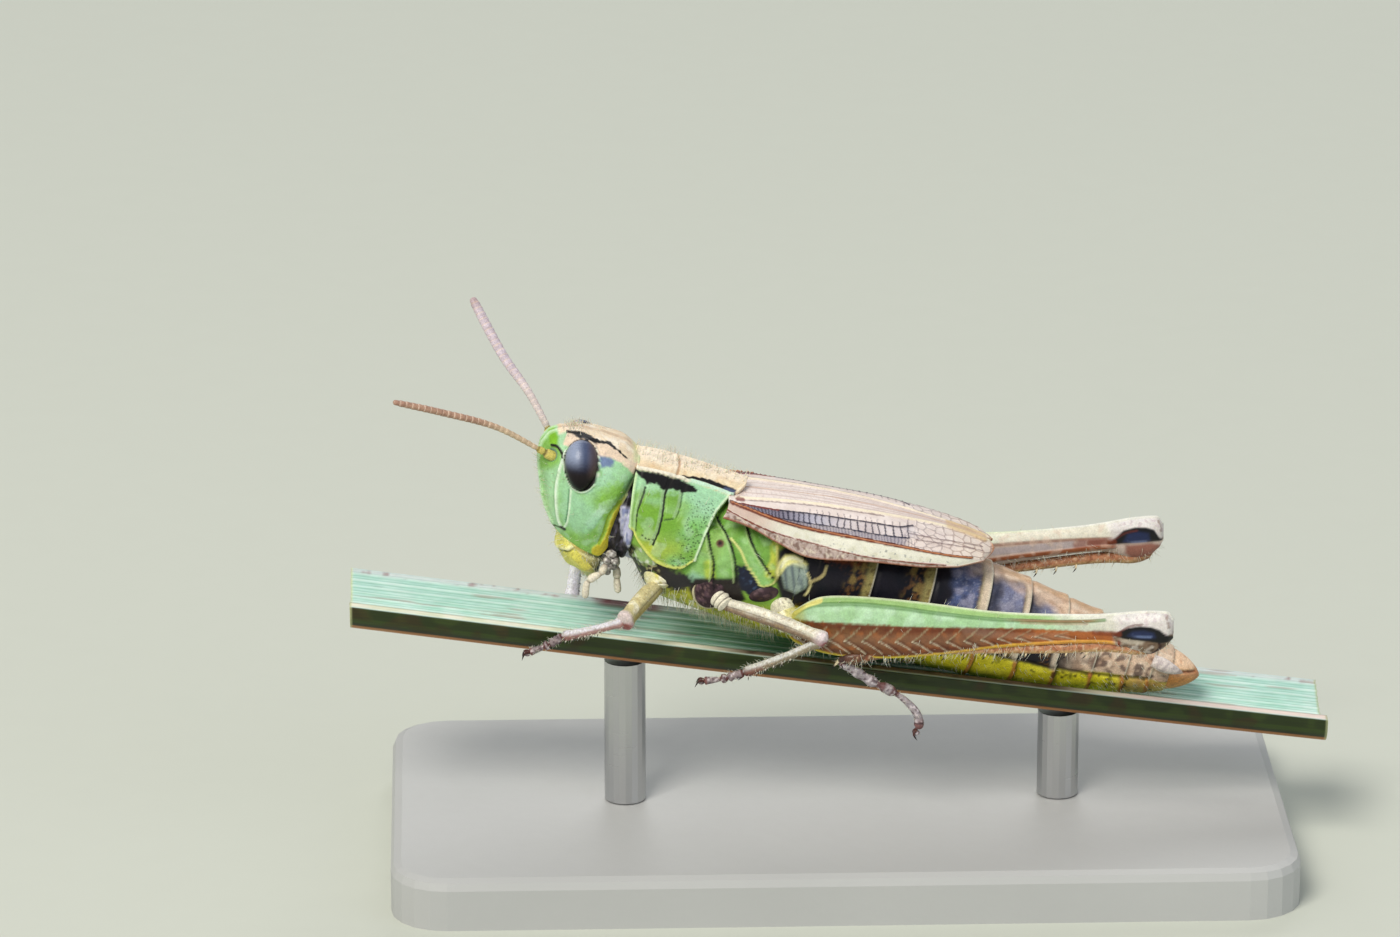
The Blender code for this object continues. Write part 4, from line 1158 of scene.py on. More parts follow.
@dataclass
class Tegmen:
    """A leathery fore wing: flat over the back, folded at a ridge, then sloping down the side."""

    thickness: float = 0.07
    # Place, fold height, fold half width, lower edge height, lower edge half width.
    stations: Path = ((2.2, 1.22, 0.8, 0.95, 1.95), (3.0, 1.38, 0.82, 0.89, 1.99),
        (4.0, 1.55, 0.84, 0.64, 2.01), (5.0, 1.68, 0.82, 0.46, 2.0), (6.5, 1.79, 0.8, 0.78, 1.97),
        (8.0, 1.82, 0.74, 1.02, 1.88), (9.0, 1.8, 0.62, 1.24, 1.66), (9.7, 1.74, 0.48, 1.46, 1.24),
        (10.05, 1.68, 0.3, 1.6, 0.75))
    fold_share: float = 0.38
    part: float = 0.012
    start_slope: float = 0.45
    # Veins in the oblique plane: place, and height less what the width takes away.
    main: Path = ((2.3, 0.74), (2.94, 0.66), (3.5, 0.6), (4.2, 0.58), (4.97, 0.61), (5.88, 0.68),
        (6.69, 0.74), (7.3, 0.79), (8.2, 0.85), (8.85, 0.92), (9.42, 1.02))
    lower: Path = ((2.19, 0.49), (2.85, 0.33), (3.4, 0.23), (4.02, 0.19), (4.79, 0.19), (5.71, 0.18),
        (6.63, 0.24), (7.69, 0.4), (8.7, 0.6))
    ladder_top: Path = ((2.6, 0.8), (3.01, 0.82), (3.66, 0.89), (4.54, 1.03), (5.42, 1.14), (6.52, 1.27),
        (7.14, 1.34), (7.58, 1.5))
    ladder_floor: Path = ((3.3, 0.64), (3.69, 0.66), (4.64, 0.75), (5.5, 0.86), (6.63, 0.96), (7.51, 1.1))
    cream: Path = ((2.47, 0.94), (3.57, 1.17), (4.74, 1.38), (6.2, 1.56), (6.74, 1.62), (7.61, 1.7),
        (8.39, 1.75), (9.09, 1.75), (9.96, 1.68))
    # Size of the tip's cells, and the long veins above the cream one.
    cells: tuple[float, float] = (0.29, 0.18)
    back_veins: int = 6
    back: float = 1.98
    camber: float = 0.05
    # The tip rounds off towards a point over the last of its length.
    tip_start: float = 0.955
    tip_share: float = 0.045
    tip_point: tuple[float, float] = (0.36, 1.66)
    tip_left: float = 0.02
    overhang: float = 0.06
    hinge_height: float = 1.1
    side_power: float = 0.9

    def form(self, side: float) -> Form:
        """Points of one wing, from the middle of the back to its lower edge."""

        def points(u: Array, v: Array) -> Array:
            """Points at shares along and across."""
            start, end = self.stations[0][0], self.stations[-1][0]
            fold, fold_width, low, low_width = spline(self.stations, start + (end - start) * u).T
            flat = np.clip(v / self.fold_share, 0, 1)
            down = np.clip((v - self.fold_share) / (1 - self.fold_share), 0, 1)
            y = np.where(v <= self.fold_share, self.part + (fold_width - self.part) * flat,
                fold_width + (low_width - fold_width) * np.sin(down * pi / 2) ** self.side_power)
            h = np.where(v <= self.fold_share, fold + self.camber * (1 - flat),
                low + (fold - low) * np.cos(down * pi / 2))
            tip = np.clip((u - self.tip_start) / self.tip_share, 0, 1)
            shrink = np.sqrt(np.clip(1 - tip * tip, 0.0, 1)) * (1 - self.tip_left) + self.tip_left
            tip_y, tip_h = self.tip_point
            y = tip_y + (y - tip_y) * shrink
            h = tip_h + (h - tip_h) * shrink
            run = end + self.overhang - start
            a = start + run * u + self.start_slope * (1 - u) * (h - self.hinge_height)
            return np.column_stack((a, side * y, h))

        return points

    def combs(self, canvas: Canvas, low: Array, high: Array, spacing: Path, width: float, shift: float,
            wander: float = 0.05) -> Array:
        """Cross-veins between two long veins.

        Args:
            canvas: the wing's canvas.
            low: oblique height of the vein below, at each point.
            high: oblique height of the vein above.
            spacing: (place, distance between cross-veins) stations.
            width: a cross-vein's width.
            shift: moves them along, so that neighbouring rows don't line up.
            wander: how unevenly they stand.

        Returns:
            How far each point belongs to a cross-vein.
        """
        at, level = canvas.spots[:, ALONG], canvas.spots[:, SLANT]
        steps = np.linspace(2.0, 10.6, 400)
        turns = np.cumsum(1 / np.interp(steps, *np.array(spacing).T)) * (steps[1] - steps[0])
        phase = np.interp(at + 0.16 * (level - low) + wander * canvas.coarse + shift, steps, turns)
        gap = np.interp(at, *np.array(spacing).T)
        distance = np.abs(phase % 1 - 0.5) * gap
        inside = smooth((level - low) / 0.03) * smooth((high - level) / 0.03)
        return (1 - smooth((distance - width / 2) / 0.016)) * inside

    def mark(self, c: Canvas) -> None:
        """Paint the fields and raise the veins."""
        at, level = c.spots[:, ALONG], c.spots[:, SLANT]

        def line_at(path: Path) -> Array:
            """Oblique height of a vein at each point's place."""
            return spline(path, at)[:, 0]

        main, lower, top = line_at(self.main), line_at(self.lower), line_at(self.ladder_top)
        floor, cream = line_at(self.ladder_floor), line_at(self.cream)
        c.vary("F0E4DE", 0.5, 0.6, 1.0)
        c.vary("D0BEB8", 0.35, 0.4, 2.0, 0.2)
        c.paint(smooth((level - cream) / 0.1), "EBE0DA", 0.5)
        c.paint(smooth((at - 8.3) / 1.2), "E9DAC6", 0.45)
        # Fine long veins above the cream one, and their cross-veins.
        for i in range(self.back_veins):
            low = cream + (self.back - cream) * (i + 0.15) / self.back_veins
            high = cream + (self.back - cream) * (i + 1.15) / self.back_veins
            vein = around(level, low, 0.016, 0.01)
            c.paint(vein * smooth((9.9 - at) / 0.6), "B79E96", 0.5)
            c.lift += 0.012 * vein
            cross = self.combs(c, low, high, ((2.0, 0.14), (6.0, 0.19), (10.6, 0.16)), 0.012, 0.07 * i,
                0.15)
            c.paint(cross, "C3AEA6", 0.45)
        # The tip's net of uneven cells, darker towards the ladder.
        tip = (at > 7.1) & (level > main) & (level < cream)
        gap = np.ones(len(at))
        gap[tip] = cell_walls(c.spots[tip][:, Plane.OBLIQUE.value], self.cells, np.random.default_rng(SEED))
        net = (1 - smooth((gap - 0.02) / 0.055)) * smooth((at - 7.2 - 0.2 * c.coarse) / 0.3)
        c.paint(net, "5A4650", 0.55)
        c.paint(net * smooth((at - 8.2) / 1.0), "B59C8E", 0.75)
        c.lift += 0.012 * net
        for start, low, high in ((7.5, 1.24, 1.3), (7.7, 1.1, 1.18)):
            c.line(((start, low), (8.3, high), (9.0, high + 0.08), (9.7, high + 0.14)), (0.024, 0.014),
                "6E5658", 0.018, Plane.OBLIQUE, 0.008, lift=0.015, opacity=0.7)
        # Ladder field: bluish between two dark veins.
        ladder = smooth((level - floor) / 0.04) * smooth((top - level) / 0.04) * smooth((7.9 - at) / 0.5)
        dusk = smooth((6.1 - at) / 1.8) * smooth((at - 2.7) / 0.3)
        c.paint(ladder * (0.35 + 0.65 * dusk), "A3A6BE", 0.8)
        c.paint(smooth((level - main - 0.04) / 0.04) * smooth((floor - level) / 0.04) *
            smooth((at - 3.0) / 0.4) * smooth((7.6 - at) / 0.4), "8C8A9C", 0.7)
        c.paint(smooth((level - main - 0.03) / 0.05) * smooth((top - level) / 0.03) *
            smooth((4.9 - at) / 1.3), "544A60", 0.7)
        pitch = ((2.0, 0.09), (4.0, 0.12), (4.8, 0.2), (7.4, 0.21), (10.6, 0.21))
        cross = self.combs(c, floor - 0.02, top + 0.01, pitch, 0.024, 0.0) * smooth((7.7 - at) / 0.2)
        c.paint(cross, "232338", 0.95)
        c.lift += 0.02 * cross
        above = self.combs(c, top, top + 0.17, pitch, 0.014, 0.05) * smooth((7.6 - at) / 0.3) \
            * smooth((at - 4.3) / 0.4)
        c.paint(above, "5C4A58", 0.7)
        below = self.combs(c, main, floor, ((2.0, 0.09), (10.6, 0.1)), 0.014, 0.03) \
            * smooth((7.8 - at) / 0.3) * smooth((at - 3.4) / 0.4)
        c.paint(below, "3A3450", 0.6)
        c.line(self.ladder_top, (0.028, 0.03), "2A2338", 0.018, Plane.OBLIQUE, 0.008, lift=0.025)
        c.line(self.ladder_top[:3], 0.03, "7A2F1E", 0.02, Plane.OBLIQUE, 0.01)
        c.line(self.ladder_floor, (0.018, 0.028), "23253F", 0.018, Plane.OBLIQUE, 0.008, lift=0.02)
        # White band under the double main vein, then the speckled margin.
        band = smooth((main - 0.03 - level) / 0.03) * smooth((level - lower - 0.02) / 0.03)
        c.paint(band, "E6E5D4", 0.95)
        c.paint(band * (1 - smooth((at - 2.9) / 1.2)), "C9ADA0", 0.85)
        c.vary("D3D0B4", 0.16, 0.45, 4.0, 0.2, band)
        c.vary("6E7680", 0.09, 0.7, 5.0, 0.45, band * smooth((at - 4.6) / 0.6) *
            smooth((main - 0.16 - level) / 0.05))
        margin = smooth((lower - 0.02 - level) / 0.03)
        c.paint(margin, "BBA8A0", 0.85)
        c.vary("6A4A3C", 0.1, 0.7, 6.0, 0.1, margin)
        c.vary("E7DCC8", 0.12, 0.7, 7.0, 0.2, margin)
        veins = self.combs(c, lower - 0.5, lower, ((2.0, 0.12), (10.6, 0.1)), 0.014, 0.0, 0.35)
        c.paint(veins * margin, "6E4030", 0.4)
        for offset, tone, width in ((0.028, "5A2416", 0.028), (-0.03, "6E321E", 0.026)):
            path = tuple((a, h + offset * (1 - 0.35 * (a > 8))) for a, h in self.main)
            c.line(path, (2 * width, 0.02), tone, 0.018, Plane.OBLIQUE, 0.008, lift=0.035)
        c.line(self.main, 0.016, "D08A5A", 0.014, Plane.OBLIQUE, opacity=0.8)
        c.line(self.lower, (0.026, 0.018), "7E4230", 0.02, Plane.OBLIQUE, 0.01, lift=0.03)
        c.line(self.cream, (0.04, 0.03), "F2E6CC", 0.03, Plane.OBLIQUE, lift=0.03)
        c.line(tuple((a, h - 0.055) for a, h in self.cream[:5]), 0.014, "6A4A4A", 0.016, Plane.OBLIQUE,
            0.01, opacity=0.7)
        c.line(((8.69, 1.79), (9.24, 1.76), (9.8, 1.7)), (0.04, 0.08), "C9A566", 0.1, Plane.OBLIQUE,
            opacity=0.6)
        c.line(((2.5, 0.9), (2.66, 0.94)), 0.06, "7A2A1E", 0.04, Plane.OBLIQUE, 0.03, opacity=0.8)
        c.line(((2.76, 1.48), (3.11, 1.52)), (0.03, 0.015), "26222C", 0.02, Plane.OBLIQUE)
        rim = smooth(1 - (1 - c.spots[:, GIRTH]) / 0.018)
        c.paint(rim, "9A5C3E", 0.8)
        c.lift += 0.03 * rim
        c.paint(smooth(1 - (1 - c.spots[:, LENGTH]) / 0.02), "C77A38", 0.8)
        inner = smooth(1 - c.spots[:, GIRTH] / 0.02)
        c.paint(inner, "C9A080", 0.6)
        c.shine = 0.44 + 0.05 * c.coarse

    def build(self, looks: Finishes) -> None:
        """Shape and dress both wings."""
        for name, side in SIDES.items():
            bm = warped_grid(250, 104, self.form(side), Vector((6.0, 0.0, 0.0)))
            canvas = Canvas(bm, "E4D6CF")
            self.mark(canvas)
            place(canvas.finish(), "fore_wing_" + name, Frame.BODY, looks.wing, "wing_tan",
                ["tegmen_" + name], self.thickness)


# ---------------------------------------------------------------- head


@dataclass(frozen=True)
class HeadForm:
    """The head's own form: level rings, wedge-shaped in front and full behind."""

    # Height, front of the face, back of the head, half width.
    levels: Path = ((-2.12, -1.56, -1.3, 0.36), (-1.85, -1.78, -1.22, 0.56), (-1.4, -2.12, -1.08, 0.84),
        (-0.9, -2.36, -0.84, 1.06), (-0.3, -2.6, -0.7, 1.28), (0.3, -2.8, -0.5, 1.4),
        (0.9, -2.88, -0.2, 1.42), (1.5, -2.93, 0.02, 1.27), (2.0, -2.84, -0.38, 1.0),
        (2.27, -2.62, -1.08, 0.7), (2.41, -2.28, -1.62, 0.34))
    widest: float = 0.55
    crown: float = 0.94
    crown_rise: float = 0.03
    # Roundness of the rings' back and face halves.
    back_power: float = 3.0
    face_power: float = 1.7

    def points(self, u: Array, v: Array) -> Array:
        """Points from the chin up to the crown, seam behind."""
        rise = np.clip(u / self.crown, 0, 1)
        close = np.clip((u - self.crown) / (1 - self.crown), 0, 1) * pi / 2
        bottom, top = self.levels[0][0], self.levels[-1][0]
        height = bottom + (top - bottom) * (0.35 * np.sin(rise * pi / 2) + 0.65 * rise)
        front, back, width = spline(self.levels, height).T
        angle = 2 * pi * v
        c, s = squircle(angle, np.where(np.cos(angle) > 0, self.back_power, self.face_power))
        middle = front + (back - front) * self.widest
        span = np.where(c > 0, back - middle, middle - front)
        shrink = np.cos(close)
        return np.column_stack((middle + c * span * shrink, s * width * shrink,
            height + self.crown_rise * np.sin(close)))


@dataclass
class Head:
    """Head capsule with its eyes, lip, jaws, mouth feelers, neck and antennae."""

    form: HeadForm = HeadForm()
    cheek_point: tuple[float, float, float] = (-1.75, 0.0, -0.98)
    cheek_normal: tuple[float, float, float] = (-0.48, 0.0, -0.88)
    lip_point: tuple[float, float, float] = (-1.66, 0.0, -1.4)
    lip_normal: tuple[float, float, float] = (0.8, 0.0, 0.6)
    eye_centre: tuple[float, float, float] = (-1.7, 1.09, 1.6)
    eye_radii: tuple[float, float, float] = (0.49, 0.42, 0.72)
    eye_lean: float = 22.0
    # The eye is an egg: how much it narrows upwards, from what height, and how flat its lower front is.
    eye_taper: float = 0.13
    eye_level: float = 0.3
    eye_hollow: float = 0.05
    feeler_seat: tuple[float, float, float] = (-2.5, 0.58, 1.76)
    gap: float = 0.02
    lip_bulge: float = 0.17
    upper_palp: Path = ((-1.0, 0.86, -1.46), (-1.16, 0.96, -1.72), (-1.4, 1.0, -1.84),
        (-1.58, 1.0, -2.06), (-1.62, 0.96, -2.5))
    lower_palp: Path = ((-0.76, 0.46, -1.4), (-0.7, 0.52, -1.8), (-0.7, 0.53, -2.1), (-0.66, 0.54, -2.5))
    palp_profile: Path = ((0.0, 0.06), (0.08, 0.09), (0.22, 0.095), (0.27, 0.06), (0.33, 0.09),
        (0.52, 0.105), (0.57, 0.062), (0.64, 0.085), (0.85, 0.095), (0.95, 0.075), (1.0, 0.004))
    palp_joints: tuple[float, ...] = (0.27, 0.57)
    palp_stout: float = 1.12
    # Place and size of each lump behind the jaws.
    lumps: Path = ((-1.0, 0.38, -1.26, 0.34), (-0.86, 0.9, -1.18, 0.16), (-0.76, 0.98, -1.36, 0.12),
        (-0.98, 0.88, -1.36, 0.13), (-0.94, 0.8, -1.56, 0.15), (-0.8, 0.74, -1.6, 0.12),
        (-0.98, 0.74, -1.76, 0.11), (-0.82, 0.3, -1.48, 0.2))

    def eye_turn(self, side: float) -> Matrix:
        """The tilt of an eye, its top towards the middle."""
        return Matrix.Rotation(radians(self.eye_lean) * side, 3, "X")

    def from_eye(self, places: Array) -> Array:
        """How many eye radii each point is from the nearer eye's centre."""
        x, y, z = self.eye_centre
        right = np.column_stack((places[:, 0] - x, np.abs(places[:, 1]) - y, places[:, 2] - z))
        unturned = right @ np.array(self.eye_turn(1.0))
        return np.linalg.norm(unturned / np.array(self.eye_radii), axis=1)

    def mark_capsule(self, c: Canvas) -> None:
        """Paint the head and raise its ridges."""
        c.paint(c.ramp(UP, 0.3, 1.1, 0.1), "A2D2A2", 0.85)
        c.area(((-2.1, 1.2), (-1.9, 0.7), (-1.35, 0.9), (-0.8, 1.3), (-0.6, 1.6), (-1.2, 1.85)), "A9D8B6",
            0.7, 0.2)
        c.area(((-1.1, 0.95), (-0.55, 1.15), (-0.45, 0.75), (-0.85, 0.35), (-1.5, -0.35), (-2.0, -0.6),
            (-1.75, -0.2)), "8AC238", 0.85, 0.16, ragged=0.08)
        c.vary("84BC52", 0.3, 0.4, 1.0, 0.15, c.ramp(UP, 1.9, 1.4))
        c.vary("6FA84A", 0.12, 0.25, 21.0, 0.2, c.ramp(UP, 1.9, 1.4))
        c.vary("B8DFBE", 0.35, 0.4, 2.0, 0.1)
        # A pale mint-white stroke across the cheek: painted highlight.
        c.line(((-1.47, -0.08), (-1.13, 0.34), (-0.86, 0.56)), 0.14, "C4EBC8", 0.14, ragged=0.05, lift=0.02)
        c.line(((-1.6, -0.3), (-1.25, 0.05)), 0.1, "9CD8A8", 0.14, opacity=0.6)
        # Face: mint, limier beside the feelers.
        face = c.ramp(ALONG, -2.3, -2.42)
        c.paint(face * c.ramp(UP, 2.2, 1.0), "A9D8A8", 0.85)
        c.paint(c.ramp(ALONG, -2.62, -2.8) * c.ramp(UP, -0.4, 0.4), "93CB6C", 0.45)
        c.area(((-2.3, 1.0), (-1.75, 0.75), (-1.3, 0.45), (-1.25, 0.1), (-1.7, -0.45), (-2.3, -0.2)),
            "A4D6B0", 0.8, 0.25, ragged=0.05, only=c.ramp(ALONG, -2.42, -2.3))
        c.area(((-1.1, 0.95), (-0.6, 1.05), (-0.6, 0.55), (-0.9, 0.25), (-1.15, 0.45)), "88BE56", 0.7, 0.15,
            ragged=0.05)
        c.area(((-3.0, 2.12), (-2.45, 2.18), (-2.28, 1.95), (-2.32, 1.6), (-2.55, 1.4), (-2.95, 1.2),
            (-3.2, 1.5)), "7FB63C", 0.8, 0.1)
        c.paint(c.ramp(ALONG, -2.45, -2.72) * c.ramp(UP, 0.9, 0.2), "B7DE9A", 0.6)
        c.area(((-2.68, 2.3), (-2.5, 2.42), (-2.34, 2.26), (-2.4, 2.02), (-2.6, 2.04)), "7DB82C", 1.0, 0.05)
        c.area(((-2.9, 2.35), (-2.3, 2.75), (-2.05, 2.7), (-2.2, 2.42), (-2.34, 2.3), (-2.5, 2.44),
            (-2.7, 2.3)), "9BD6A6", 0.9, 0.05)
        # Middle ridge of the face: two rims with a trough between.
        front = c.ramp(ALONG, -2.0, -2.2)
        c.lift -= 0.04 * (c.near(((0.0, 2.15), (0.0, 0.2), (0.0, -0.45)), 0.14, 0.12, Plane.FRONT) * front)
        c.line(((0.16, 2.35), (0.21, 1.6), (0.2, 0.8), (0.25, 0.0), (0.3, -0.45)), 0.05, "D3F0CE", 0.06,
            Plane.FRONT, lift=0.07, opacity=0.7, only=front)
        c.vary("5F9A34", 0.07, 0.6, 6.0, 0.45, c.ramp(ALONG, -2.55, -2.75))
        # Side ridge of the face and the furrow below the eye.
        c.line(((-2.14, 1.95), (-2.34, 1.35), (-2.42, 0.9), (-2.42, 0.3), (-2.36, -0.15), (-2.26, -0.36)),
            0.045, "E1F5DC", 0.035, lift=0.045)
        c.line(((-2.36, 1.34), (-2.47, 0.9), (-2.47, 0.3), (-2.41, -0.15)), 0.02, "6FA868", 0.03,
            opacity=0.6)
        c.line(((-2.02, 0.92), (-2.06, 0.4), (-2.13, -0.15), (-2.22, -0.36)), 0.03, "D8F2D2", 0.03,
            lift=0.02)
        c.line(((-2.055, 0.92), (-2.1, 0.4), (-2.17, -0.15)), 0.018, "3F7A52", 0.02, lift=-0.03,
            opacity=0.85)
        c.line(((-2.27, -0.36), (-2.22, -0.4)), 0.1, "10120F", 0.03)
        c.line(((-2.6, -0.42), (-2.45, -0.46), (-2.28, -0.42)), 0.03, "3A4A20", 0.03, lift=-0.03)
        # Seat of the feeler, with its black rim.
        seat = np.linalg.norm(c.spots[:, :3] - np.array(self.feeler_seat), axis=1)
        c.lift -= 0.1 * (1 - smooth(seat / 0.24))
        c.paint(1 - smooth((seat - 0.17) / 0.06), "6E8F8A", 0.9)
        c.line(((-2.54, 2.02), (-2.38, 2.02), (-2.26, 1.9), (-2.22, 1.78)), (0.04, 0.07), "0C0E0A", 0.025,
            lift=0.03)
        # Crown: straw, parted by a black line from the rosy band behind the eye.
        divide = ((-2.34, 2.3), (-2.1, 2.375), (-1.85, 2.36), (-1.62, 2.325), (-1.38, 2.25), (-1.16, 2.185),
            (-0.95, 2.14), (-0.79, 2.06), (-0.58, 1.9), (-0.39, 1.74))
        top = c.within(((-2.5, 3.0), *divide, (-0.2, 1.55), (0.1, 1.2), (0.1, 3.0)), 0.03)
        c.paint(top, "EBD8BA")
        c.vary("F7F0DF", 0.3, 0.6, 7.0, 0.1, top)
        c.vary("D2AA7E", 0.12, 0.35, 8.0, 0.3, top)
        c.paint(top * c.ramp(UP, 2.3, 2.5), "EFE3DA", 0.5)
        c.paint(top * (1 - smooth((c.spots[:, AWAY] - 0.06) / 0.1)), "C09A72", 0.45)
        c.paint(top * c.ramp(ALONG, -0.28, -0.12), "DCE6B0", 0.7)
        band = c.within(((-2.22, 2.1), *divide[1:], (0.1, 1.42), (0.05, 1.1), (-0.19, 1.22), (-0.3, 1.4),
            (-0.55, 1.65), (-0.9, 1.82), (-1.21, 1.85), (-1.35, 1.9), (-1.8, 2.0)), 0.03, ragged=0.015)
        c.paint(band, "E7D2BA")
        c.vary("DDE2B6", 0.2, 0.5, 9.0, 0.3, band * c.ramp(ALONG, -0.75, -0.45))
        c.vary("B9A09A", 0.07, 0.5, 10.0, 0.45, band)
        c.area(((-1.22, 1.88), (-0.98, 1.84), (-0.74, 1.74), (-0.84, 1.6), (-1.14, 1.58)), "5F6AA6", 0.85,
            0.05, ragged=0.03)
        c.line(divide[1:5], (0.03, 0.05), "0B0A10", 0.02, ragged=0.012)
        c.area(((-1.98, 2.385), (-1.7, 2.375), (-1.45, 2.3), (-1.22, 2.215), (-1.24, 2.14), (-1.5, 2.2),
            (-1.78, 2.28)), "0B0A10", 1.0, 0.02, ragged=0.018)
        c.line(divide[4:], (0.045, 0.015), "0B0A10", 0.02, ragged=0.02)
        c.vary("3A3A5A", 0.1, 0.7, 12.0, 0.2, c.near(((-1.55, 2.14), (-1.35, 2.08)), 0.1, 0.08))
        # Hind border of the cheek, and the dark skin behind it.
        hind = c.within(((-0.1, 1.4), (-0.15, 1.27), (-0.36, 0.79), (-0.61, 0.37), (-0.72, 0.0),
            (-0.78, -0.35), (-0.86, -0.75), (-1.19, -1.2), (-1.5, -1.6), (0.4, -1.6), (0.4, 1.4)), 0.02)
        c.paint(hind, "17151B")
        c.line(((-0.44, 0.66), (-0.68, 0.3), (-0.8, 0.0), (-0.88, -0.34), (-0.98, -0.7), (-1.26, -1.02)),
            (0.03, 0.32), "D6C83A", 0.05, ragged=0.02, lift=0.05)
        c.line(((-0.62, 0.52), (-0.86, 0.22), (-0.97, -0.02), (-1.06, -0.38), (-1.22, -0.76)), 0.035,
            "9CBF3A", 0.05, lift=-0.03)
        c.line(((-0.05, 1.62), (-0.12, 1.3), (-0.34, 0.86), (-0.58, 0.42)), 0.035, "DDE8B4", 0.03,
            lift=0.03)
        # The eye's rim.
        near_eye = self.from_eye(c.place)
        c.lift += 0.05 * around(near_eye, 1.07, 0.09)
        c.paint(around(near_eye, 1.075, 0.035) * c.ramp(UP, 2.2, 1.9), "E3EEDC", 0.75)
        c.paint(1 - smooth((near_eye - 1.03) / 0.02), "15100F")
        c.pits += 0.12
        c.shine = 0.36 + 0.05 * c.coarse + 0.08 * top

    def build_eye(self, looks: Finishes, name: str, side: float) -> None:
        """Shape and dress one eye: near black, a painted sky reflection on top, brown behind lightened as a
        painted reflection, painted shade below.
        """
        x, y, z = self.eye_centre
        egg = ball((x, y * side, z), self.eye_radii, self.eye_turn(side), 72, 48)
        for vert in egg.verts:
            rise = (vert.co.z - z) / self.eye_radii[2]
            vert.co.x += (vert.co.x - x) * self.eye_taper * (rise - self.eye_level) \
                - self.eye_hollow * (rise < 0) * rise * rise
        c = Canvas(egg, "1A1216")
        rise, along = c.spots[:, UP], c.spots[:, ALONG]
        # Painted reflection of the sky: slate blue over the top.
        c.paint(smooth((rise - 1.4) / 0.65), "505C7C", 0.9)
        # Painted highlight: pale blue on the top front.
        c.paint(smooth((rise - 1.5) / 0.5) * smooth((-1.58 - along) / 0.3), "A6B2CC", 0.75)
        # Brown behind: the eye's own brown, lightened as a painted reflection.
        c.paint(smooth((along + 1.62) / 0.3) * smooth((rise - 1.1) / 0.4), "5C4842", 0.7)
        # Painted shade: near black below.
        c.paint(smooth((1.5 - rise) / 0.45), "050304", 0.95)
        place(c.finish(), "compound_eye_" + name, Frame.HEAD, looks.eye, "eye_brown", ["eye_" + name])

    def build_mouth(self, looks: Finishes) -> None:
        """Shape and dress the lip, the jaws and the mouth's feelers."""
        away = tuple(-n for n in self.cheek_normal)
        slant_back = tuple(-n for n in self.lip_normal)

        def mouth() -> bmesh.types.BMesh:
            """The part of the head below the cheeks."""
            bm = warped_grid(120, 150, self.form.points)
            slice_off(bm, self.cheek_point, away)
            return bm

        lip = mouth()
        slice_off(lip, self.lip_point, self.lip_normal)
        c = Canvas(lip, "DCD562")
        c.paint(c.ramp(UP, -1.0, -0.7), "D8D77A", 0.7)
        c.paint(c.ramp(UP, -1.45, -1.85), "BDB890", 0.6)
        c.line(((0.75, -1.02), (0.4, -1.1), (0.0, -1.13)), 0.03, "4A4A20", 0.03, Plane.FRONT, lift=-0.05)
        c.line(((0.75, -0.96), (0.4, -1.04), (0.0, -1.06)), 0.05, "EDEBB0", 0.04, Plane.FRONT, lift=0.04)
        c.line(((0.0, -1.2), (0.0, -2.0)), 0.03, "8A8A50", 0.05, Plane.FRONT, lift=-0.04)
        c.vary("6E6A2A", 0.06, 0.5, 1.0, 0.45)
        c.vary("F0E8A0", 0.2, 0.5, 2.0, 0.2)
        c.lift += 0.03 * c.coarse * c.ramp(UP, -1.0, -1.3) + self.lip_bulge * c.ramp(UP, -0.72, -1.0) \
            * c.ramp(UP, -2.0, -1.5)
        place(c.finish(), "lip", Frame.HEAD, looks.jaw, "chitin_yellow", ["labrum"])
        for name, side in SIDES.items():
            jaw = mouth()
            slice_off(jaw, tuple(p + self.gap * n for p, n in zip(self.lip_point, self.lip_normal)),
                slant_back)
            slice_off(jaw, (0.0, side * self.gap / 2, 0.0), (0.0, -side, 0.0))
            c = Canvas(jaw, "EDD85A")
            c.area(((-1.75, -1.02), (-1.2, -0.9), (-0.9, -1.3), (-1.2, -2.2), (-1.7, -2.0), (-1.62, -1.4)),
                "CFCB9A", 0.8, 0.12, ragged=0.05)
            c.paint(c.ramp(ALONG, -1.62, -1.2), "8E8A74", 0.7)
            c.vary("3A3F2A", 0.05, 0.7, 2.0, 0.45, c.ramp(ALONG, -1.9, -1.4))
            c.vary("B9B57A", 0.12, 0.7, 3.0, 0.1, c.ramp(ALONG, -1.6, -1.3))
            c.line(((-2.2, -0.72), (-1.8, -0.98), (-1.3, -1.22), (-1.02, -1.32)), 0.05, "2E3418", 0.05,
                opacity=0.8)
            c.area(((-2.5, -0.5), (-1.85, -0.9), (-1.62, -1.1), (-1.75, -1.45), (-2.1, -1.7), (-2.6, -1.0)),
                "E2CE68", 0.7, 0.14, ragged=0.04)
            c.line(((-2.12, -0.82), (-1.78, -1.08), (-1.4, -1.28)), 0.05, "F1EDB4", 0.05, lift=0.03,
                opacity=0.7)
            seam = (c.spots[:, Plane.SIDE.value] - (self.lip_point[0], self.lip_point[2])) \
                @ np.array((self.lip_normal[0], self.lip_normal[2]))
            c.paint(1 - smooth((np.abs(seam + 0.04) - 0.02) / 0.04), "4E4422", 0.85)
            c.paint(c.ramp(UP, -1.85, -2.0), "15120E", 0.9)
            c.line(((-1.02, -1.3), (-1.2, -1.62), (-1.42, -1.85), (-1.62, -2.02)), 0.07, "15120E", 0.05)
            c.lift += 0.03 * c.near(((-1.9, -1.05), (-1.5, -1.45), (-1.45, -1.75)), 0.2, 0.3)
            place(c.finish(), "jaw_" + name, Frame.HEAD, looks.jaw, "chitin_yellow", ["mandible_" + name])
            for kind, path in (("maxillary_palp_", self.upper_palp), ("labial_palp_", self.lower_palp)):
                self.build_palp(looks, kind + name, mirrored(path, side))

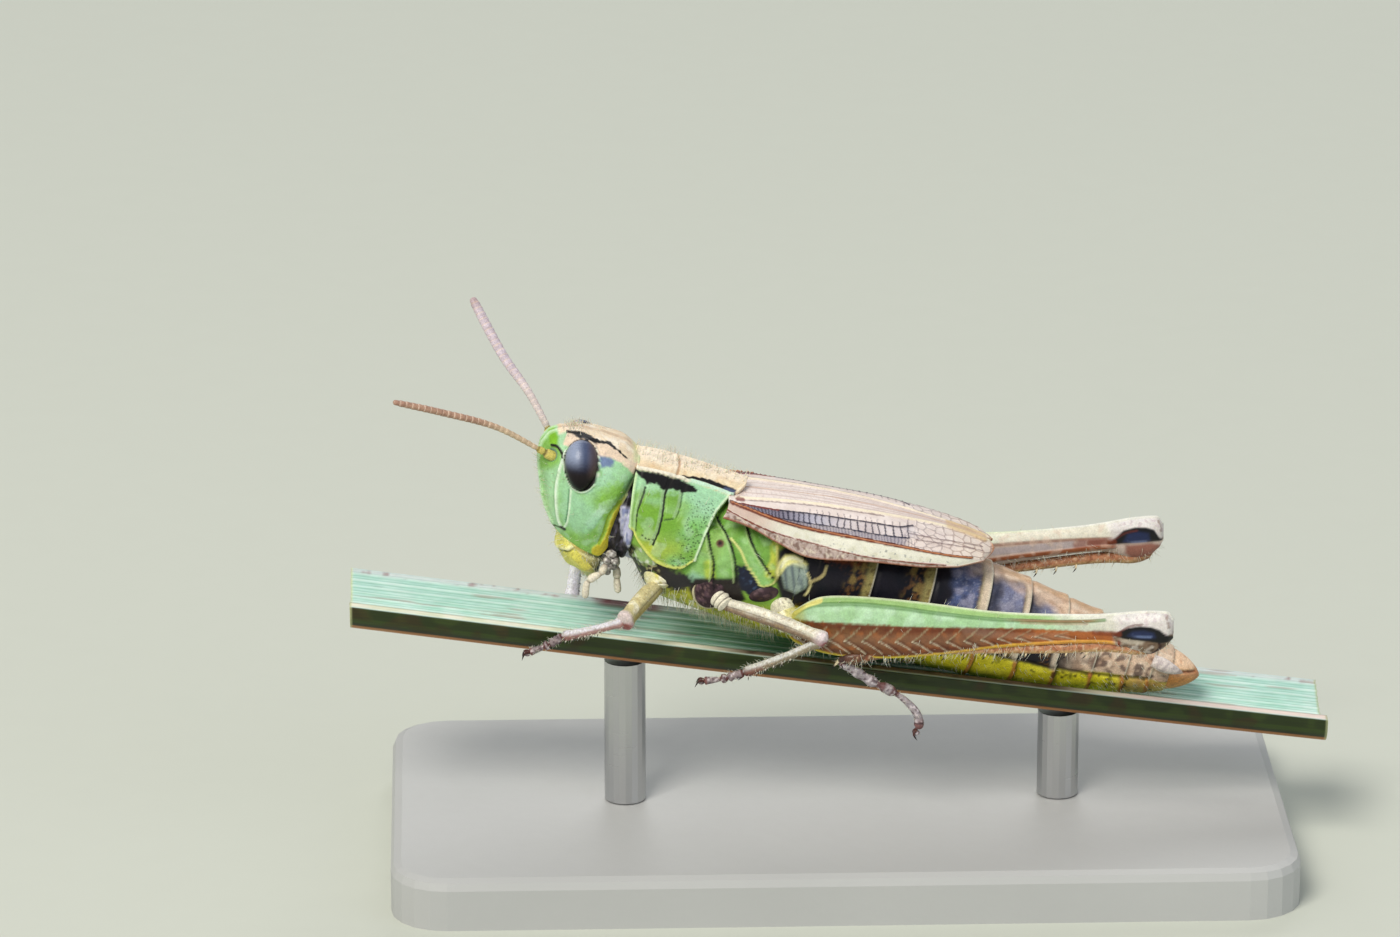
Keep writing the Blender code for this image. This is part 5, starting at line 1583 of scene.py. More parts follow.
    def build_palp(self, looks: Finishes, node: str, path: Path) -> None:
        """Shape and dress one feeler of the mouth, in short swollen segments."""
        profile = resized(self.palp_profile, self.palp_stout)
        c = Canvas(tube(path, profile, 60, 18, up=(1.0, 0.0, 0.0)), "E6DECB")
        for joint in self.palp_joints:
            c.paint(around(c.spots[:, LENGTH], joint, 0.035), "8A7A66", 0.7)
        c.paint(c.ramp(LENGTH, 0.18, 0.0), "6A5E52", 0.8)
        c.vary("B7A98E", 0.07, 0.45, 4.0, 0.3)
        place(c.finish(), node.replace("palp", "feeler"), Frame.HEAD, looks.leg, "chitin_tan", [node])

    def build_neck(self, looks: Finishes) -> None:
        """Shape and dress the folded skin between head and saddle, with its pale side plates."""

        def sleeve(u: Array, v: Array) -> Array:
            """Points of the sleeve."""
            c, s = squircle(2 * pi * v - pi / 2, 2.4)
            folds = 0.035 * np.sin(u * 5 * pi)
            x = -0.92 + 0.7 * u + 0.3 * s
            return np.column_stack((x, (0.98 + 0.36 * u + folds) * c, -0.15 + (1.2 + 0.1 * u + folds) * s))

        c = Canvas(warped_grid(44, 120, sleeve), "1B1920")
        c.vary("4A4650", 0.14, 0.8, 1.0, 0.1)
        c.vary("6E6A84", 0.1, 0.6, 2.0, 0.4)
        plate = c.within(((-0.6, 0.4), (-0.28, 0.3), (-0.22, -0.5), (-0.34, -0.9), (-0.52, -0.6),
            (-0.6, -0.1)), 0.05, ragged=0.04)
        c.paint(plate, "BFC0DC", 0.95)
        c.vary("6F79A8", 0.12, 0.8, 3.0, 0.1, plate)
        c.vary("EEF0F2", 0.1, 0.7, 4.0, 0.3, plate)
        c.lift += 0.05 * plate
        place(c.finish(), "neck_skin", Frame.HEAD, looks.skin, "membrane", ["neck"])

    def build_lumps(self, looks: Finishes) -> None:
        """Shape and dress the inner mouth parts, soft lumps that show behind the jaws."""
        lumps = [ball((x, y * side, z), (size, size * 1.1, size * 0.9), None, 24, 18)
            for side in SIDES.values() for x, y, z, size in self.lumps]
        c = Canvas(join(*lumps), "8F8A86")
        c.vary("E2E0DA", 0.09, 0.8, 4.0, 0.05)
        c.vary("3E3433", 0.07, 0.7, 5.0, 0.25)
        c.shine = c.shine - 0.08
        place(c.finish(), "inner_mouth_parts", Frame.HEAD, looks.jaw, "chitin_tan")

    def build(self, looks: Finishes) -> bpy.types.Object:
        """Shape and dress the whole head; returns its capsule."""
        bm = warped_grid(170, 230, self.form.points)
        slice_off(bm, self.cheek_point, self.cheek_normal)
        canvas = Canvas(bm, "8CC262", (4.8, 8.0))
        self.mark_capsule(canvas)
        capsule = place(canvas.finish(), "head_capsule", Frame.HEAD, looks.green, "chitin_green", ["head"])
        for name, side in SIDES.items():
            self.build_eye(looks, name, side)
        self.build_mouth(looks)
        self.build_neck(looks)
        self.build_lumps(looks)
        return capsule


@dataclass(frozen=True)
class Feeler:
    """One antenna's line, tones and stoutness."""

    name: str
    path: Path
    tone: str
    root_tone: str
    stout: float
    joint_depth: float
    freckles: float


@dataclass
class Antennae:
    """The two feelers, each a stalk, a pedicel and about two dozen flat segments."""

    segments: int = 25
    # Share of the length where the stalk ends, the pedicel ends, and the lash begins.
    stalk_end: float = 0.078
    pedicel_end: float = 0.122
    lash_start: float = 0.125
    step: float = 0.011
    feelers: tuple[Feeler, ...] = (
        Feeler("left", ((-2.4, -0.54, 1.72), (-2.66, -0.64, 1.8), (-4.1, -1.05, 2.75), (-5.66, -1.6, 3.4),
            (-7.04, -2.1, 3.9)), "B18C76", "DCC8A6", 1.0, 0.6, 0.4),
        Feeler("right", ((-2.34, 0.4, 1.68), (-2.56, 0.55, 2.02), (-3.17, 1.0, 3.1), (-3.93, 1.7, 4.06),
            (-4.77, 2.6, 5.48)), "CFC2CC", "DDD0C8", 1.32, 0.25, 0.15))
    profile: Path = ((0.0, 0.1, 0.1), (0.02, 0.145, 0.145), (0.065, 0.14, 0.14), (0.078, 0.085, 0.085),
        (0.09, 0.105, 0.105), (0.115, 0.1, 0.1), (0.125, 0.065, 0.065), (0.16, 0.072, 0.07),
        (0.32, 0.082, 0.078), (0.55, 0.108, 0.09), (0.85, 0.112, 0.09), (0.96, 0.1, 0.08),
        (0.99, 0.07, 0.06), (1.0, 0.004, 0.004))

    def build(self, looks: Finishes) -> None:
        """Shape and dress both feelers."""
        for feeler in self.feelers:
            c = Canvas(tube(feeler.path, resized(self.profile, feeler.stout), 9 * self.segments, 16),
                feeler.tone)
            along = c.spots[:, LENGTH]
            inside = np.clip((along - self.lash_start) / (1 - self.lash_start), 0, 1) * self.segments % 1
            lash = smooth((along - self.lash_start) / 0.01)
            c.lift += lash * (self.step * smooth(inside / 0.7) - self.step * smooth((inside - 0.88) / 0.12))
            c.paint(lash * smooth((inside - 0.8) / 0.12), "E2CDB8", 0.75)
            c.paint(lash * (1 - smooth(inside / 0.12)), "5A352C", feeler.joint_depth)
            c.vary("8A6656", 0.09, feeler.freckles, 2.0, 0.1, lash)
            c.paint(smooth((0.55 - along) / 0.25) * lash, feeler.root_tone, 0.6)
            c.paint(smooth((along - 0.9) / 0.08), "9A7468", 0.4)
            c.paint(1 - lash, "D9CB6C", 0.95)
            c.paint(around(along, self.stalk_end, 0.012), "4A3A20", 0.8)
            c.paint(around(along, self.pedicel_end, 0.01), "4A3A20", 0.8)
            c.vary("8E8040", 0.06, 0.6, 3.0, 0.3, 1 - lash)
            place(c.finish(), "feeler_" + feeler.name, Frame.HEAD, looks.feeler, "feeler_tan",
                ["antenna_" + feeler.name])


# ---------------------------------------------------------------- legs

HORN_PROFILE = ((0.0, 1.0), (0.4, 0.8), (0.8, 0.42), (1.0, 0.06))
BOTH_WAYS = (-1.0, 1.0)


def horn(path: Iterable[Array], radius: float) -> bmesh.types.BMesh:
    """A claw, spine or spur; its u runs from 2 to 3, which tells it from what it stands on."""
    line = np.array(path)
    up = tuple(float(i == int(np.argmin(np.abs(line[-1] - line[0])))) for i in range(3))
    return set_apart(tube(line, resized(HORN_PROFILE, radius), 8, 8, up=up), 2.0)


def is_horn(canvas: Canvas) -> Array:
    """A share of 1 on what horn() made, and 0 elsewhere."""
    return 1.0 * (canvas.spots[:, LENGTH] > 1.99)


def frame_along(start: Array, end: Array) -> tuple[Array, Array, Array]:
    """Directions forward, across and upwards for a limb between two points."""
    forward = (end - start) / np.linalg.norm(end - start)
    up = np.array((0.0, 0.0, 1.0)) if abs(forward[2]) < 0.9 else np.array((-1.0, 0.0, 0.0))
    across = np.cross(forward, up)
    across /= np.linalg.norm(across)
    return forward, across, np.cross(across, forward)


@dataclass
class Foot:
    """A foot of three short segments with pads, two claws and the soft lobe between them."""

    radius: float = 0.125
    claw: float = 0.26
    claw_radius: float = 0.042
    spur_radius: float = 0.035
    profile: Path = ((0.0, 0.7), (0.06, 1.0), (0.14, 0.85), (0.19, 1.05), (0.27, 0.85), (0.34, 1.1),
        (0.41, 0.6), (0.46, 1.0), (0.54, 1.0), (0.58, 0.52), (0.66, 0.62), (0.9, 0.85), (0.96, 0.9),
        (1.0, 0.1))

    def build(self, looks: Finishes, name: str, path: Path, tone: str, node: str) -> None:
        """Shape and dress one foot.

        Args:
            looks: the finishes.
            name: the piece's name.
            path: the foot's line from ankle to tip.
            tone: its ground colour.
            node: the plain node that it stands for.
        """
        ankle, tip = np.array(path[0]), np.array(path[-1])
        forward, across, above = frame_along(np.array(path[-2]), tip)
        pieces = [tube(path, resized(self.profile, self.radius), 110, 20, 2.2)]
        for way in BOTH_WAYS:
            claw = (tip - 0.03 * forward + 0.05 * way * across,
                tip + 0.45 * self.claw * forward + 0.12 * way * across + 0.05 * above,
                tip + self.claw * forward + 0.17 * way * across - 0.1 * above)
            spur = (ankle + 0.07 * way * across - 0.06 * above,
                ankle + 0.18 * forward + 0.14 * way * across - 0.16 * above)
            pieces += [horn(claw, self.claw_radius), horn(spur, self.spur_radius)]
        lobe = ball(tuple(tip + 0.07 * forward - 0.02 * above), (0.1, 0.1, 0.075), None, 20, 12)
        c = Canvas(join(pieces[0], lobe, *pieces[1:]), tone)
        body = 1 - is_horn(c)
        for joint, width in ((0.42, 0.05), (0.56, 0.05), (0.0, 0.06)):
            c.paint(body * around(c.spots[:, LENGTH], joint, 0.03, width / 2), "5A2420", 0.85)
        c.paint(body * c.ramp(LENGTH, 0.86, 0.95), "6E342C", 0.8)
        c.vary("4A3038", 0.1, 0.7, 2.0, 0.15)
        c.vary("E2D8DC", 0.09, 0.7, 3.0, 0.3)
        c.paint(is_horn(c), "4A2620")
        c.paint(c.ramp(LENGTH, 2.3, 2.8), "0E0B0C")
        place(c.finish(), name, Frame.WORLD, looks.leg, "leg_brown", [node])


@dataclass(frozen=True)
class Limb:
    """One walking leg's joints and tones."""

    name: str
    seat: tuple[float, float, float]
    knee: tuple[float, float, float]
    ankle: tuple[float, float, float]
    toe: tuple[float, float, float]
    thigh_top: str
    thigh_low: str
    shin_top: str
    shin_low: str
    stout: float = 1.0
    calf: float = 1.0
    stain: float = 1.0


@dataclass
class WalkingLegs:
    """Fore and middle legs, with their hips."""

    limbs: tuple[Limb, ...] = (
        Limb("fore_left", (-5.3, -1.3, 8.42), (-6.25, -2.9, 7.96), (-8.02, -1.86, 7.14),
            (-8.98, -1.84, 6.66), "D0C494", "A09052", "E0DDE6", "9A6658", stain=0.7),
        Limb("fore_right", (-5.3, 1.3, 8.42), (-7.46, 2.64, 8.78), (-7.7, 2.1, 6.82), (-6.3, 2.12, 6.42),
            "E4E0EC", "C8C2D8", "F2F0FA", "E0DCEC", 1.2, 1.4, 0.25),
        *(Limb("mid_" + name, *mirrored(((-3.4, 1.72, 8.02), (-0.58, 2.92, 7.32), (-2.84, 2.02, 6.02),
            (-3.98, 1.9, 5.74)), side), "DDD8C6", "7A6048", "D2D2CC", "7E6E4C", 0.78)
          for name, side in SIDES.items()))
    thigh: Path = ((0.0, 0.05, 0.05), (0.02, 0.17, 0.18), (0.08, 0.205, 0.22), (0.3, 0.235, 0.265),
        (0.6, 0.23, 0.26), (0.84, 0.215, 0.24), (0.92, 0.245, 0.285), (0.975, 0.22, 0.27),
        (1.0, 0.05, 0.08))
    shin: Path = ((0.0, 0.05, 0.05), (0.03, 0.13, 0.14), (0.09, 0.155, 0.16), (0.16, 0.12, 0.13),
        (0.5, 0.115, 0.125), (0.85, 0.13, 0.14), (0.95, 0.15, 0.15), (1.0, 0.08, 0.08))
    spines: int = 6
    first_spine: float = 0.42
    spine_run: float = 0.52
    mid_ball: tuple[float, float, float] = (2.46, 1.46, -1.42)
    mid_ball_radii: tuple[float, float, float] = (0.52, 0.34, 0.6)
    hind_ridge: tuple[float, float, float] = (3.97, 1.5, -1.02)
    hind_tilt: float = 30.0
    spine_radius: float = 0.024

    def build_thigh(self, looks: Finishes, limb: Limb) -> None:
        """Shape and dress a femur: a pale ridge above, a browner flank, a reddish knee."""
        seat, knee = np.array(limb.seat), np.array(limb.knee)
        forward, _, above = frame_along(seat, knee)
        middle = (seat + knee) / 2 + 0.06 * above
        path = np.array((seat - 0.1 * forward, middle, knee + 0.1 * forward))
        c = Canvas(tube(path, resized(self.thigh, limb.stout), 120, 48, 2.5), limb.thigh_top)
        over = c.over()
        c.paint(1 - smooth((over - 0.42 + 0.05 * c.coarse) / 0.2), limb.thigh_low, 0.9)
        c.paint(around(over, 0.56, 0.05, 0.02) * (1 - c.ramp(LENGTH, 0.7, 0.9)), "5A3A2C", 0.6)
        c.vary("F2EFDE", 0.25, 0.5, 1.0, 0.2, smooth((over - 0.5) / 0.2))
        c.vary("A88E60", 0.1, 0.45, 2.0, 0.3)
        c.paint(c.ramp(LENGTH, 0.86, 0.96, 0.03), "DCCBD6", 0.7)
        c.paint(c.ramp(LENGTH, 0.9, 1.0, 0.02) * (1 - smooth((over - 0.3) / 0.3)), "8A3A30", 0.9)
        c.paint(c.ramp(LENGTH, 0.06, 0.0), "8E7A4A", 0.8)
        for joint in (0.035, 0.075):
            c.paint(around(c.spots[:, LENGTH], joint, 0.012), "4A3A2C", 0.75)
        c.lift += 0.02 * around(over, 0.98, 0.1) - 0.015 * around(over, 0.55, 0.2)
        place(c.finish(), "thigh_" + limb.name, Frame.WORLD, looks.leg, "leg_cream",
            [limb.name.replace("_", "_femur_")])

    def build_shin(self, looks: Finishes, limb: Limb) -> None:
        """Shape and dress a tibia with two rows of small spines below."""
        knee, ankle = np.array(limb.knee), np.array(limb.ankle)
        forward, across, above = frame_along(knee, ankle)
        middle = (knee + ankle) / 2 - 0.03 * above
        path = np.array((knee, middle, ankle))
        pieces = [tube(path, resized(self.shin, limb.calf), 90, 32, 2.3, up=tuple(above))]
        for i in range(self.spines):
            share = self.first_spine + self.spine_run * i / (self.spines - 1)
            for way in BOTH_WAYS:
                root = knee + (ankle - knee) * share - 0.08 * above + 0.06 * way * across
                tip = root - 0.16 * above + 0.07 * way * across + 0.08 * forward
                pieces.append(horn((root, tip), self.spine_radius))
        c = Canvas(join(*pieces), limb.shin_top)
        over = c.over()
        c.paint(1 - smooth((over - 0.4 + 0.06 * c.coarse) / 0.25), limb.shin_low, 0.85)
        c.paint(c.ramp(LENGTH, 0.55, 0.95, 0.05) * (1 - smooth((over - 0.5) / 0.3)), "7A3A32",
            0.7 * limb.stain)
        c.paint(c.ramp(LENGTH, 0.88, 0.98, 0.02), "5A2C2C", 0.8 * limb.stain)
        c.paint(c.ramp(LENGTH, 0.05, 0.0), "8A4A3C", 0.7)
        c.vary("EFEFF2", 0.08, 0.5, 3.0, 0.25, smooth((over - 0.5) / 0.2))
        c.vary("8A7A60", 0.07, 0.5 * limb.stain, 4.0, 0.3)
        c.paint(is_horn(c), "D8CFC0")
        c.paint(c.ramp(LENGTH, 2.35, 2.65), "1A1412")
        place(c.finish(), "shin_" + limb.name, Frame.WORLD, looks.leg, "leg_cream",
            [limb.name.replace("_", "_tibia_")])

    def build_fore_hip(self, looks: Finishes, name: str, side: float) -> None:
        """Shape and dress a front hip: a pale, lobed cup over the femur's root."""
        path = mirrored(((0.85, 0.8, -1.25), (0.92, 1.12, -1.52), (1.05, 1.38, -1.86)), side)
        profile = ((0.0, 0.2, 0.24), (0.15, 0.34, 0.36), (0.55, 0.36, 0.38), (0.8, 0.3, 0.33),
            (0.88, 0.25, 0.27), (0.94, 0.26, 0.28), (1.0, 0.04, 0.04))
        c = Canvas(tube(path, profile, 60, 44, 2.3, up=(-1.0, 0.0, 0.0)), "DED9A8")
        c.paint(c.ramp(LENGTH, 0.45, 0.1, 0.06), "8A5A48", 0.85)
        c.vary("F4F1D8", 0.18, 0.8, 1.0, 0.1)
        c.vary("C9C23A", 0.16, 0.7, 2.0, 0.2)
        c.paint(around(c.spots[:, LENGTH], 0.87, 0.03), "4A3A24", 0.8)
        place(c.finish(), "hip_fore_" + name, Frame.BODY, looks.leg, "leg_brown", ["fore_coxa_" + name])

    def build_mid_hip(self, looks: Finishes, name: str, side: float) -> None:
        """Shape and dress a middle hip: a dark glossy ball with a pale rim, open to the rear."""
        (x, y, z), (long, wide, tall) = self.mid_ball, self.mid_ball_radii
        hub = ball((x, y * side, z), (long, wide, tall), None, 48, 32)
        path = mirrored(((2.62, 1.55, -1.52), (2.85, 1.72, -1.6), (3.02, 1.84, -1.68)), side)
        ring = tube(path, ((0.0, 0.2, 0.2), (0.25, 0.27, 0.28), (0.42, 0.24, 0.25), (0.55, 0.27, 0.28),
            (0.72, 0.22, 0.23), (0.85, 0.25, 0.26), (1.0, 0.1, 0.1)), 40, 36)
        c = Canvas(join(hub, set_apart(ring, 2.0)), "33242A")
        inner = np.hypot((c.spots[:, ALONG] - x) / long, (c.spots[:, UP] - z) / tall)
        c.vary("5E4650", 0.18, 0.7, 5.0, 0.1)
        c.vary("8A6E6A", 0.07, 0.5, 6.0, 0.35)
        c.paint(smooth((inner - 0.86) / 0.05), "CFC6A4")
        c.line(((2.52, -0.9), (2.47, -1.1), (2.52, -1.28)), 0.035, "120D10", 0.03, lift=-0.04)
        c.paint(1.0 * (c.spots[:, LENGTH] > 1.99), "E6E0CC")
        for joint in (2.42, 2.72):
            c.paint(around(c.spots[:, LENGTH], joint, 0.06), "4E443A", 0.9)
        place(c.finish(), "hip_mid_" + name, Frame.BODY, looks.dark, "leg_brown", ["mid_coxa_" + name])

    def build_hind_hip(self, looks: Finishes, name: str, side: float) -> None:
        """Shape and dress a hind hip: a dark ridge tilted up to the rear, and the pale knobs below."""
        (x, y, z), tilt = self.hind_ridge, self.hind_tilt
        ridge = ball((x, y * side, z), (0.6, 0.34, 0.33), Matrix.Rotation(radians(-tilt), 3, "Y"), 48, 32)
        knob = ball((4.6, 1.62 * side, -1.34), (0.36, 0.34, 0.36), None, 36, 24)
        root = ball((4.8, 1.75 * side, -1.6), (0.42, 0.4, 0.42), None, 36, 24)
        c = Canvas(join(ridge, set_apart(knob, 2.0), set_apart(root, 4.0)), "3A2A30")
        kind = c.spots[:, LENGTH]
        c.vary("6E565C", 0.16, 0.7, 7.0, 0.1)
        edge = np.abs((c.spots[:, UP] - z) * cos(radians(tilt)) - (c.spots[:, ALONG] - x) * 0.5)
        c.paint(smooth((edge - 0.27) / 0.03) * (kind < 1.99), "CFC6A4")
        c.paint(1.0 * (kind > 1.99), "E4E0C4")
        c.paint(1.0 * (kind > 3.99), "D6D08A")
        c.vary("F4F0DE", 0.15, 0.7, 8.0, 0.1, 1.0 * (kind > 1.99))
        c.vary("5E4A3A", 0.1, 0.7, 9.0, 0.4)
        place(c.finish(), "hip_hind_" + name, Frame.BODY, looks.dark, "leg_brown", ["hind_coxa_" + name])

    def build(self, looks: Finishes) -> None:
        """Shape and dress the six hips and every walking leg."""
        for name, side in SIDES.items():
            self.build_fore_hip(looks, name, side)
            self.build_mid_hip(looks, name, side)
            self.build_hind_hip(looks, name, side)
        foot = Foot()
        for limb in self.limbs:
            self.build_thigh(looks, limb)
            self.build_shin(looks, limb)
            ankle, toe = np.array(limb.ankle), np.array(limb.toe)
            middle = (ankle + toe) / 2 + np.array((0.0, 0.0, -0.05))
            foot.build(looks, "foot_" + limb.name, (limb.ankle, tuple(middle), limb.toe), "8C7E80",
                limb.name.replace("_", "_tarsus_"))


@dataclass
class JumpingLegs:
    """Hind legs: ridged femora with a fishbone pattern, folded spiny tibiae, long feet."""

    # Where each femur starts and ends; the right one is held a little more to the rear.
    ends: tuple[tuple[float, Path], ...] = ((-1.0, ((-1.45, -1.95, 7.42), (9.15, -4.25, 7.95))),
        (1.0, ((-1.45, 1.95, 7.82), (9.66, 4.2, 7.86))))
    ankle: tuple[float, float, float] = (-0.12, 2.42, 6.52)
    toes: Path = ((0.7, 2.36, 5.92), (1.56, 2.28, 5.4), (2.05, 2.22, 4.92), (2.21, 2.2, 4.52),
        (2.13, 2.2, 4.26))
    # Share along, half thickness, rise above and drop below the middle.
    form: Path = ((-0.045, 0.1, 0.28, 0.22), (-0.02, 0.24, 0.5, 0.44), (0.01, 0.34, 0.7, 0.58),
        (0.05, 0.41, 0.85, 0.72), (0.1, 0.45, 0.89, 0.82), (0.17, 0.46, 0.87, 0.87),
        (0.24, 0.46, 0.82, 0.87), (0.3, 0.45, 0.76, 0.83), (0.377, 0.42, 0.67, 0.74),
        (0.46, 0.38, 0.56, 0.62), (0.52, 0.34, 0.49, 0.53), (0.6, 0.3, 0.45, 0.45), (0.7, 0.27, 0.44, 0.37),
        (0.8, 0.25, 0.455, 0.33), (0.85, 0.27, 0.495, 0.36), (0.88, 0.3, 0.53, 0.46),
        (0.915, 0.34, 0.565, 0.62), (0.95, 0.36, 0.58, 0.66), (0.98, 0.35, 0.575, 0.52),
        (0.998, 0.32, 0.54, 0.36), (1.01, 0.16, 0.36, 0.2))
    length: float = 10.53
    start: float = 0.03
    # Heights of the tibia under the femur's middle, at shares along it.
    folds: tuple[tuple[str, Path], ...] = (
        ("left", ((0.975, -0.36), (0.9, -0.48), (0.81, -0.46), (0.7, -0.53), (0.54, -0.57), (0.4, -0.62),
            (0.25, -0.72), (0.1, -0.97))),
        ("right", ((0.985, -0.42), (0.92, -0.58), (0.81, -0.56), (0.7, -0.6), (0.54, -0.68), (0.4, -0.76),
            (0.25, -0.86), (0.1, -1.05))))
    chevrons: tuple[float, ...] = (-0.018, 0.031, 0.078, 0.122, 0.169, 0.215, 0.262, 0.308, 0.355, 0.401,
        0.448, 0.494, 0.54, 0.587, 0.64, 0.695)
    spines: int = 13
    last_spine: float = 0.78
    spine_run: float = 0.66
    spine_radius: float = 0.032
    spurs: tuple[float, float] = (0.3, 0.2)
    spur_radius: float = 0.04

    def directions(self, side: float) -> tuple[Array, Array, Array]:
        """The femur's base, its full axis, and the way out from the body."""
        base, knee = (np.array(end) for end in dict(self.ends)[side])
        axis = knee - base
        out = side * np.array((-axis[1], axis[0], 0.0)) / np.hypot(axis[0], axis[1])
        return base, axis, out

    def locate(self, side: float, share: Array, out: Array, height: Array) -> Array:
        """World points for shares along the femur, distances outwards and heights."""
        base, axis, away = self.directions(side)
        t = self.start + (1 - self.start) * np.atleast_1d(share)
        return base + axis * t[:, None] + away * np.atleast_1d(out)[:, None] \
            + np.array((0.0, 0.0, 1.0)) * np.atleast_1d(height)[:, None]

    def seen(self, side: float) -> Callable[[Array], Array]:
        """What turns world points into (length along, distance out, height) of the femur."""
        base, axis, away = self.directions(side)

        def view(places: Array) -> Array:
            """Points in the femur's own frame."""
            right = places - base
            t = right[:, :2] @ axis[:2] / (axis[:2] @ axis[:2])
            share = (t - self.start) / (1 - self.start)
            return np.column_stack((share * self.length, right @ away, right[:, 2] - axis[2] * t))

        return view

    def drawn(self, *points: tuple[float, float]) -> Path:
        """A path in shares along and heights, as a path in millimetres."""
        return tuple((share * self.length, height) for share, height in points)

    def mark_outer(self, c: Canvas) -> None:
        """Paint the femur's outer face: green above, rust with pale fishbone ribs below."""
        at = self.drawn
        out = smooth((c.spots[:, AWAY] + 0.02) / 0.1)
        pale = c.ramp(ALONG, 0.6 * self.length, 0.86 * self.length, 0.3)
        c.paint(out, "A9CFA4")
        c.vary("9CC88C", 0.5, 0.5, 1.0, 0.0, out)
        c.vary("C0E2C0", 0.35, 0.6, 2.0, 0.1, out)
        c.paint(out * pale, "D4D0C4", 0.95)
        # Strip between the two upper ridges.
        strip = c.within(at((-0.03, 0.52), (0.047, 0.78), (0.173, 0.79), (0.373, 0.57), (0.515, 0.4),
            (0.7, 0.35), (0.83, 0.38), (0.83, 0.8), (0.7, 0.8), (0.5, 0.9), (0.2, 1.3), (0.0, 1.2)), 0.03)
        c.paint(out * strip * (1 - pale), "98BE6E", 0.85)
        c.paint(out * strip * pale, "E0DDD4", 0.9)
        second = at((-0.02, 0.42), (0.012, 0.62), (0.047, 0.73), (0.11, 0.775), (0.173, 0.76), (0.27, 0.68),
            (0.373, 0.545), (0.515, 0.385), (0.6, 0.345), (0.7, 0.325), (0.78, 0.34), (0.827, 0.38))
        c.line(second, (0.06, 0.045), "4E7F3C", 0.035, opacity=0.75, only=out, lift=0.03)
        dry = out * c.ramp(ALONG, 5.6, 6.6) * (1 - c.ramp(ALONG, 8.2, 8.7))
        c.line(second, 0.035, "8A5E3A", 0.03, opacity=0.8, only=dry)
        c.line(at((0.6, 0.28), (0.7, 0.26), (0.78, 0.27)), 0.03, "B08A6E", 0.03, opacity=0.5, only=out)
        # Rust field.
        top = ((-0.03, 0.3), (0.047, 0.27), (0.13, 0.245), (0.215, 0.225), (0.3, 0.18), (0.376, 0.165),
            (0.488, 0.15), (0.627, 0.115), (0.736, 0.075), (0.83, 0.04), (0.875, 0.03))
        low = ((0.875, -0.32), (0.829, -0.25), (0.736, -0.26), (0.628, -0.34), (0.543, -0.42),
            (0.459, -0.56), (0.377, -0.68), (0.301, -0.77), (0.216, -0.83), (0.13, -0.81), (0.075, -0.73),
            (0.02, -0.58), (-0.03, -0.4))
        field = c.within(at(*top, *low), 0.035, ragged=0.02) * out
        c.paint(field, "7C4526")
        c.paint(field * c.ramp(ALONG, 4.0, 0.5, 0.2), "6A5632", 0.5)
        c.vary("6B3216", 0.22, 0.6, 3.0, 0.0, field)
        c.vary("A9622F", 0.28, 0.6, 4.0, 0.1, field)
        c.paint(field * c.ramp(ALONG, 5.2, 7.2, 0.3), "AE6430", 0.8)
        c.paint(field * c.near(at((-0.03, 0.22), (0.13, 0.17), (0.3, 0.1), (0.49, 0.08), (0.63, 0.05)),
            0.08, 0.1, ragged=0.04), "5E2812", 0.6)
        c.paint(field * c.near(at((0.02, -0.28), (0.25, -0.26), (0.5, -0.2)), 0.22, 0.16), "8A6A50", 0.45)
        for share in self.chevrons:
            fade = 1.0 - 0.45 * max(0.0, (share - 0.35) / 0.35)
            squash = 1.0 if share < 0.45 else max(0.35, 1.0 - (share - 0.45) * 2.9)
            apex = -0.28 + 0.2 * max(0.0, (share - 0.4) / 0.3)
            rib = at((share + 0.04, apex + 0.4 * squash), (share + 0.018, apex + 0.17 * squash),
                (share, apex))
            low_rib = at((share, apex), (share + 0.02, apex - 0.12 * squash),
                (share + 0.042, apex - 0.3 * squash), (share + 0.055, apex - 0.44 * squash))
            c.line(rib, (0.015, 0.03), "A79E7C", 0.025, ragged=0.015, opacity=0.6 * fade, only=field,
                lift=0.02)
            c.line(low_rib, (0.028, 0.012), "DDD2B6", 0.022, ragged=0.012, opacity=0.9 * fade, only=field,
                lift=0.02)
            shade = tuple((x + 0.07, y) for x, y in low_rib)
            c.line(shade, 0.06, "4E2210", 0.05, opacity=0.45 * fade, only=field, lift=-0.018)
        c.paint(field * c.near(at((0.45, 0.08), (0.6, -0.12), (0.72, -0.1)), 0.12, 0.1, ragged=0.03),
            "B8A48E", 0.18)
        # Lower ridge, and the flank under it.
        carina = at((-0.035, -0.3), (0.0, -0.48), (0.034, -0.62), (0.075, -0.75), (0.13, -0.83),
            (0.216, -0.85), (0.301, -0.8), (0.377, -0.71), (0.459, -0.585), (0.543, -0.44), (0.628, -0.36),
            (0.736, -0.275), (0.829, -0.26), (0.875, -0.33))
        under = c.within(at((-0.04, -0.3), (0.034, -0.62), (0.13, -0.84), (0.3, -0.81), (0.46, -0.59),
            (0.543, -0.44), (0.736, -0.28), (0.875, -0.34), (0.875, -1.2), (-0.04, -1.2)), 0.02) * out
        c.paint(under, "A5603A")
        c.paint(under * c.ramp(ALONG, 4.0, 2.0), "B7A23A", 0.7)
        c.line(carina, 0.075, "DDB23C", 0.03, only=out, lift=0.045)
        c.paint(c.near(carina, 0.06, 0.03) * out * c.ramp(ALONG, 4.6, 2.6), "D9CF3E", 0.9)
        c.paint(c.near(carina, 0.07, 0.03) * out * c.ramp(ALONG, 5.6, 7.0), "E3A04A", 0.8)
